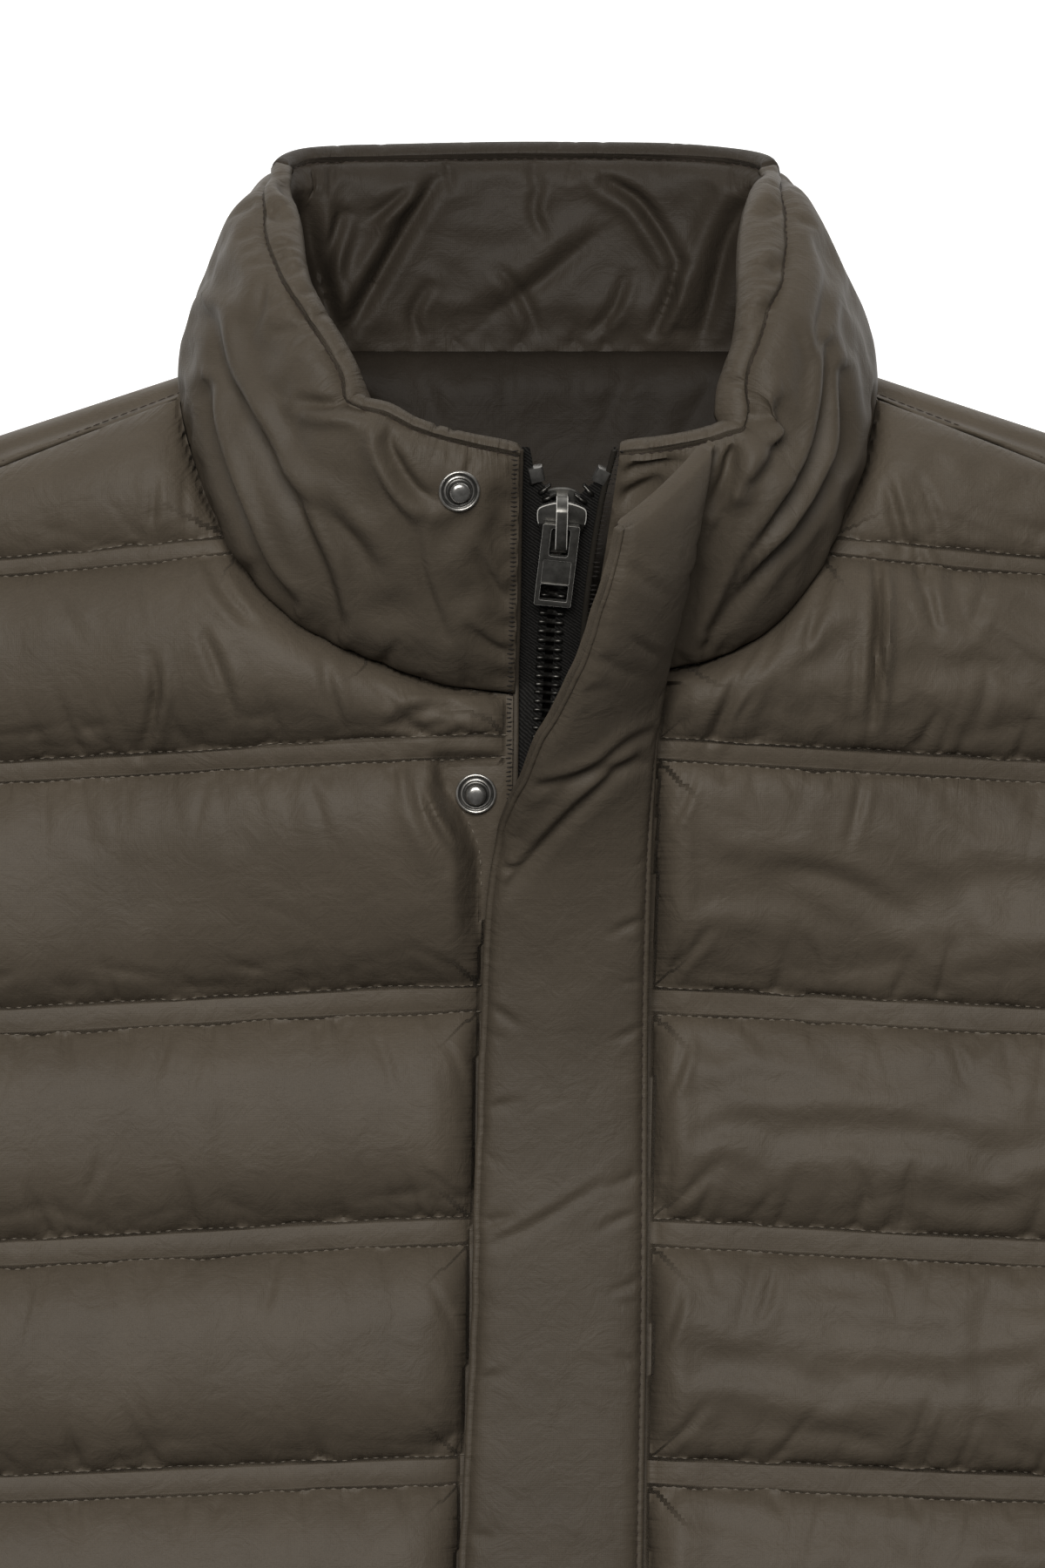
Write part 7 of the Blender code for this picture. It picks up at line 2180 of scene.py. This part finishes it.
def stud(name, panel, x, y, radius=6.1, steps=64):
    """A turned stud on a panel's face, seated on a plane fitted to the face's upper points under it, just below the
    highest few of them.
    """
    V = np.array([v.co[:] for v in panel.data.vertices]) / MM
    near = (np.hypot(V[:, 0] - x, V[:, 1] - y) < radius + 0.6)
    pts = V[near]
    top = pts[pts[:, 2] > np.median(pts[:, 2])] if len(pts) else pts
    centre = top.mean(0)
    _, _, v = np.linalg.svd(top - centre)
    n = v[2] * np.sign(v[2][2])
    rise = np.percentile((top - centre) @ n, 96) - 0.10
    origin = np.array([x, y, 0.0])
    origin[2] = centre[2] - ((origin - centre)[:2] @ n[:2]) / n[2]
    origin = origin + n * rise
    ex = np.array([1.0, 0, 0]) - n * n[0]
    ex /= np.linalg.norm(ex)
    ey = np.cross(n, ex)
    verts, faces = [], []
    rows = []
    for r, h in STUD_PROFILE:
        if r == 0:
            rows.append([len(verts)])
            verts.append(origin + n * h)
        else:
            rows.append(list(range(len(verts), len(verts) + steps)))
            for k in range(steps):
                a = 2 * math.pi * k / steps
                verts.append(origin + ex * r * math.cos(a) + ey * r * math.sin(a) + n * h)
    for a, b in zip(rows[:-1], rows[1:]):
        for k in range(steps):
            j = (k + 1) % steps
            if len(a) == 1:
                faces.append((a[0], b[j], b[k]))
            elif len(b) == 1:
                faces.append((a[k], a[j], b[0]))
            else:
                faces.append((a[k], a[j], b[j], b[k]))
    obj = new_object(name, np.array(verts), faces, STUD_MAT)
    obj.data.materials.append(STUD_RIM_HIGHLIGHT)
    obj.data.materials.append(STUD_CAP_HIGHLIGHT)
    if len(obj.data.polygons) == len(faces):
        # the rim rings take the rim's painted highlight, the cap's rows the cap's painted highlight
        part = np.repeat([0, 0, 1, 1, 1, 1, 0, 0, 0, 1, 1] + [0] * 7 + [2] * 6, steps)
        obj.data.polygons.foreach_set("material_index", part[: len(faces)].astype(np.int32))
    obj.data.set_sharp_from_angle(angle=math.radians(60))
    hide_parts(name)
    return obj


STUD_MAT = metal("gunmetal_polished", (0.085, 0.082, 0.076), (0.17, 0.165, 0.155), 0.34)
# paler copies of the stud's metal for its rim rings and its cap: painted highlights for the bright rim lines and the
# glint on the cap
STUD_RIM_HIGHLIGHT = metal("gunmetal_rim_painted_highlight", (0.30, 0.29, 0.27), (0.55, 0.53, 0.50), 0.30)
STUD_CAP_HIGHLIGHT = metal("gunmetal_cap_painted_highlight", (0.26, 0.25, 0.235), (0.46, 0.45, 0.43), 0.26)
stud("stud_collar", COLLAR_OUTER, *STUD_COLLAR)
stud("stud_front", FRONTS[-1]["obj"], *STUD_FRONT)


# ================================================================ the piping strips between each front edge and its tape
def piping(side, word):
    top_y = 293.6
    ys = np.concatenate([np.arange(-380.0, 150.0, 4.0), np.arange(150.0, top_y, 0.75)])
    edge = edge_x(side, ys) + side * 0.35
    crest = np.interp(ys, [215.0, 232.0], [2.7, 3.7]) if side < 0 else 1.8 + 0 * ys
    z = zip_z(ys) + 0.5 * (crest + 0.5)
    tall = 0.5 * (crest - 0.5)
    wide = 1.9
    ang = np.linspace(0, 2 * math.pi, 11)[:-1]
    scallop = 0.10 * np.sin(ys * 2 * math.pi / 1.5)
    fine = ys > 150.0
    verts = []
    for k, y in enumerate(ys):
        c = np.array([edge[k] - side * wide / 2, y, z[k]])
        for a in ang:
            bump = scallop[k] * (math.cos(a) * side > 0.2) * fine[k]
            verts.append(c + np.array([math.cos(a) * (wide / 2 + bump), 0, math.sin(a) * tall[k]]))
    n = len(ang)
    faces = []
    for r in range(len(ys) - 1):
        for k in range(n):
            j = (k + 1) % n
            faces.append((r * n + k, r * n + j, (r + 1) * n + j, (r + 1) * n + k))
    faces.append(tuple(range(n)))
    faces.append(tuple((len(ys) - 1) * n + k for k in range(n))[::-1])
    obj = new_object(f"piping_{word}", np.array(verts), faces, PIPING)
    bm = bmesh.new()
    bm.from_mesh(obj.data)
    bmesh.ops.recalc_face_normals(bm, faces=bm.faces)
    bm.to_mesh(obj.data)
    bm.free()
    # the dark stitches over its outer half
    runs = []
    rng = np.random.default_rng(6)
    for y in np.arange(top_y - 1.0, 150.0, -1.35):
        x0 = float(np.interp(y, ZIP_Y, EDGE[side]))
        lean = rng.normal(0, 0.16)
        line = []
        for w, off in ((0.0, 2.1 + rng.uniform(-0.3, 0.5)), (0.5, 1.0), (1.0, -0.2)):
            at = (x0 + side * off, y + lean * (2 * w - 1))
            hits = [h.z / MM for t in TREES[side] for h in [t.ray_cast(Vector((at[0], at[1], 200.0)) * MM, Vector((0, 0, -1)))[0]] if h is not None]
            line.append([at[0], at[1], (max(hits) if hits else float(np.interp(y, ZIP_Y, ZIP_Z)) + 2.0) + 0.05])
        line = np.array(line)
        runs.append((line[[0, 2]] + np.array([0, 0, max(0.0, line[1, 2] - 0.5 * (line[0, 2] + line[2, 2]))]), np.tile([0.0, 0.0, 1.0], (2, 1))))
    stitches(f"piping_stitches_{word}", runs, THREAD_BLACK, pitch=2.2, length=2.1, radius=0.30, rise=0.15)
    return obj


def tree_of(obj):
    n = len(obj.data.vertices)
    co = np.empty(3 * n, np.float32)
    obj.data.vertices.foreach_get("co", co)
    return BVHTree.FromPolygons(co.reshape(-1, 3).tolist(), [tuple(p.vertices) for p in obj.data.polygons])


OUTER_TREE = tree_of(COLLAR_OUTER)
TREES = {side: (OUTER_TREE, tree_of(FRONTS[side]["obj"])) for side in (-1, 1)}
# the right piping keeps its own light brown; the left one's near-black colour is painted shade, for the shadow of the
# flap over it
for side, word, colour in ((-1, "right", (0.070, 0.057, 0.043)), (1, "left", (0.020, 0.017, 0.013))):
    PIPING = nylon(f"piping_nylon_{word}", colour, 0.6, 0.0, bump=0.6, specular=0.25)
    piping(side, word)
say("zip and hardware done")


# ================================================================ the stage: a white sheet, a large soft light from beyond the collar and a pale surround
def area_light(name, at, aim, size_x, size_y, power, colour=(1, 1, 1)):
    data = bpy.data.lights.new(name, "AREA")
    data.shape = "RECTANGLE"
    data.size, data.size_y = size_x, size_y
    data.energy = power
    data.color = colour
    obj = bpy.data.objects.new(name, data)
    bpy.context.scene.collection.objects.link(obj)
    obj.location = Vector(at)
    obj.rotation_mode = "QUATERNION"
    obj.rotation_quaternion = (Vector(aim) - Vector(at)).to_track_quat("-Z", "Y")
    return obj


bm = bmesh.new()
bmesh.ops.create_grid(bm, x_segments=1, y_segments=1, size=6.0)
mesh = bpy.data.meshes.new("floor")
bm.to_mesh(mesh)
bm.free()
floor = bpy.data.objects.new("floor", mesh)
floor.location = (0, 0, -0.0006)
bpy.context.scene.collection.objects.link(floor)
white = plain("floor_white", (0.7, 0.7, 0.695), 0.9, specular=0.0)
white.node_tree.nodes["Principled BSDF"].inputs["Emission Color"].default_value = (1.0, 1.0, 1.0, 1)
white.node_tree.nodes["Principled BSDF"].inputs["Emission Strength"].default_value = 0.80
mesh.materials.append(white)

KEY = area_light("key", (-0.30, 1.35, 3.45), (0.0, 0.15, 0.03), 2.2, 1.6, 121.0, (1.0, 0.985, 0.955))

world = bpy.data.worlds.new("surround")
bpy.context.scene.world = world
world.use_nodes = True
bg = world.node_tree.nodes["Background"]
bg.inputs["Color"].default_value = (1.0, 1.0, 1.0, 1)
bg.inputs["Strength"].default_value = 0.055

cam_data = bpy.data.cameras.new("camera")
cam_data.type = "PERSP"
cam_data.sensor_fit = "AUTO"
cam_data.sensor_width = 36.0
cam_data.lens = 230.8
cam_data.clip_start, cam_data.clip_end = 0.05, 20.0
cam = bpy.data.objects.new("camera", cam_data)
bpy.context.scene.collection.objects.link(cam)
cam.location = (-0.0013, 0.1944, 3.06)
cam.rotation_mode = "XYZ"
cam.rotation_euler = (0, 0, 0)
bpy.context.scene.camera = cam
bpy.context.scene.view_settings.view_transform = "Standard"
bpy.context.scene.view_settings.look = "None"
bpy.context.scene.view_settings.exposure = 0.0
bpy.context.scene.view_settings.gamma = 1.0

bpy.context.view_layer.update()
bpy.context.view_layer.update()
say("triangles", sum(sum(len(p.vertices) - 2 for p in o.data.polygons) for o in bpy.context.scene.objects if o.type == "MESH" and not o.hide_render))
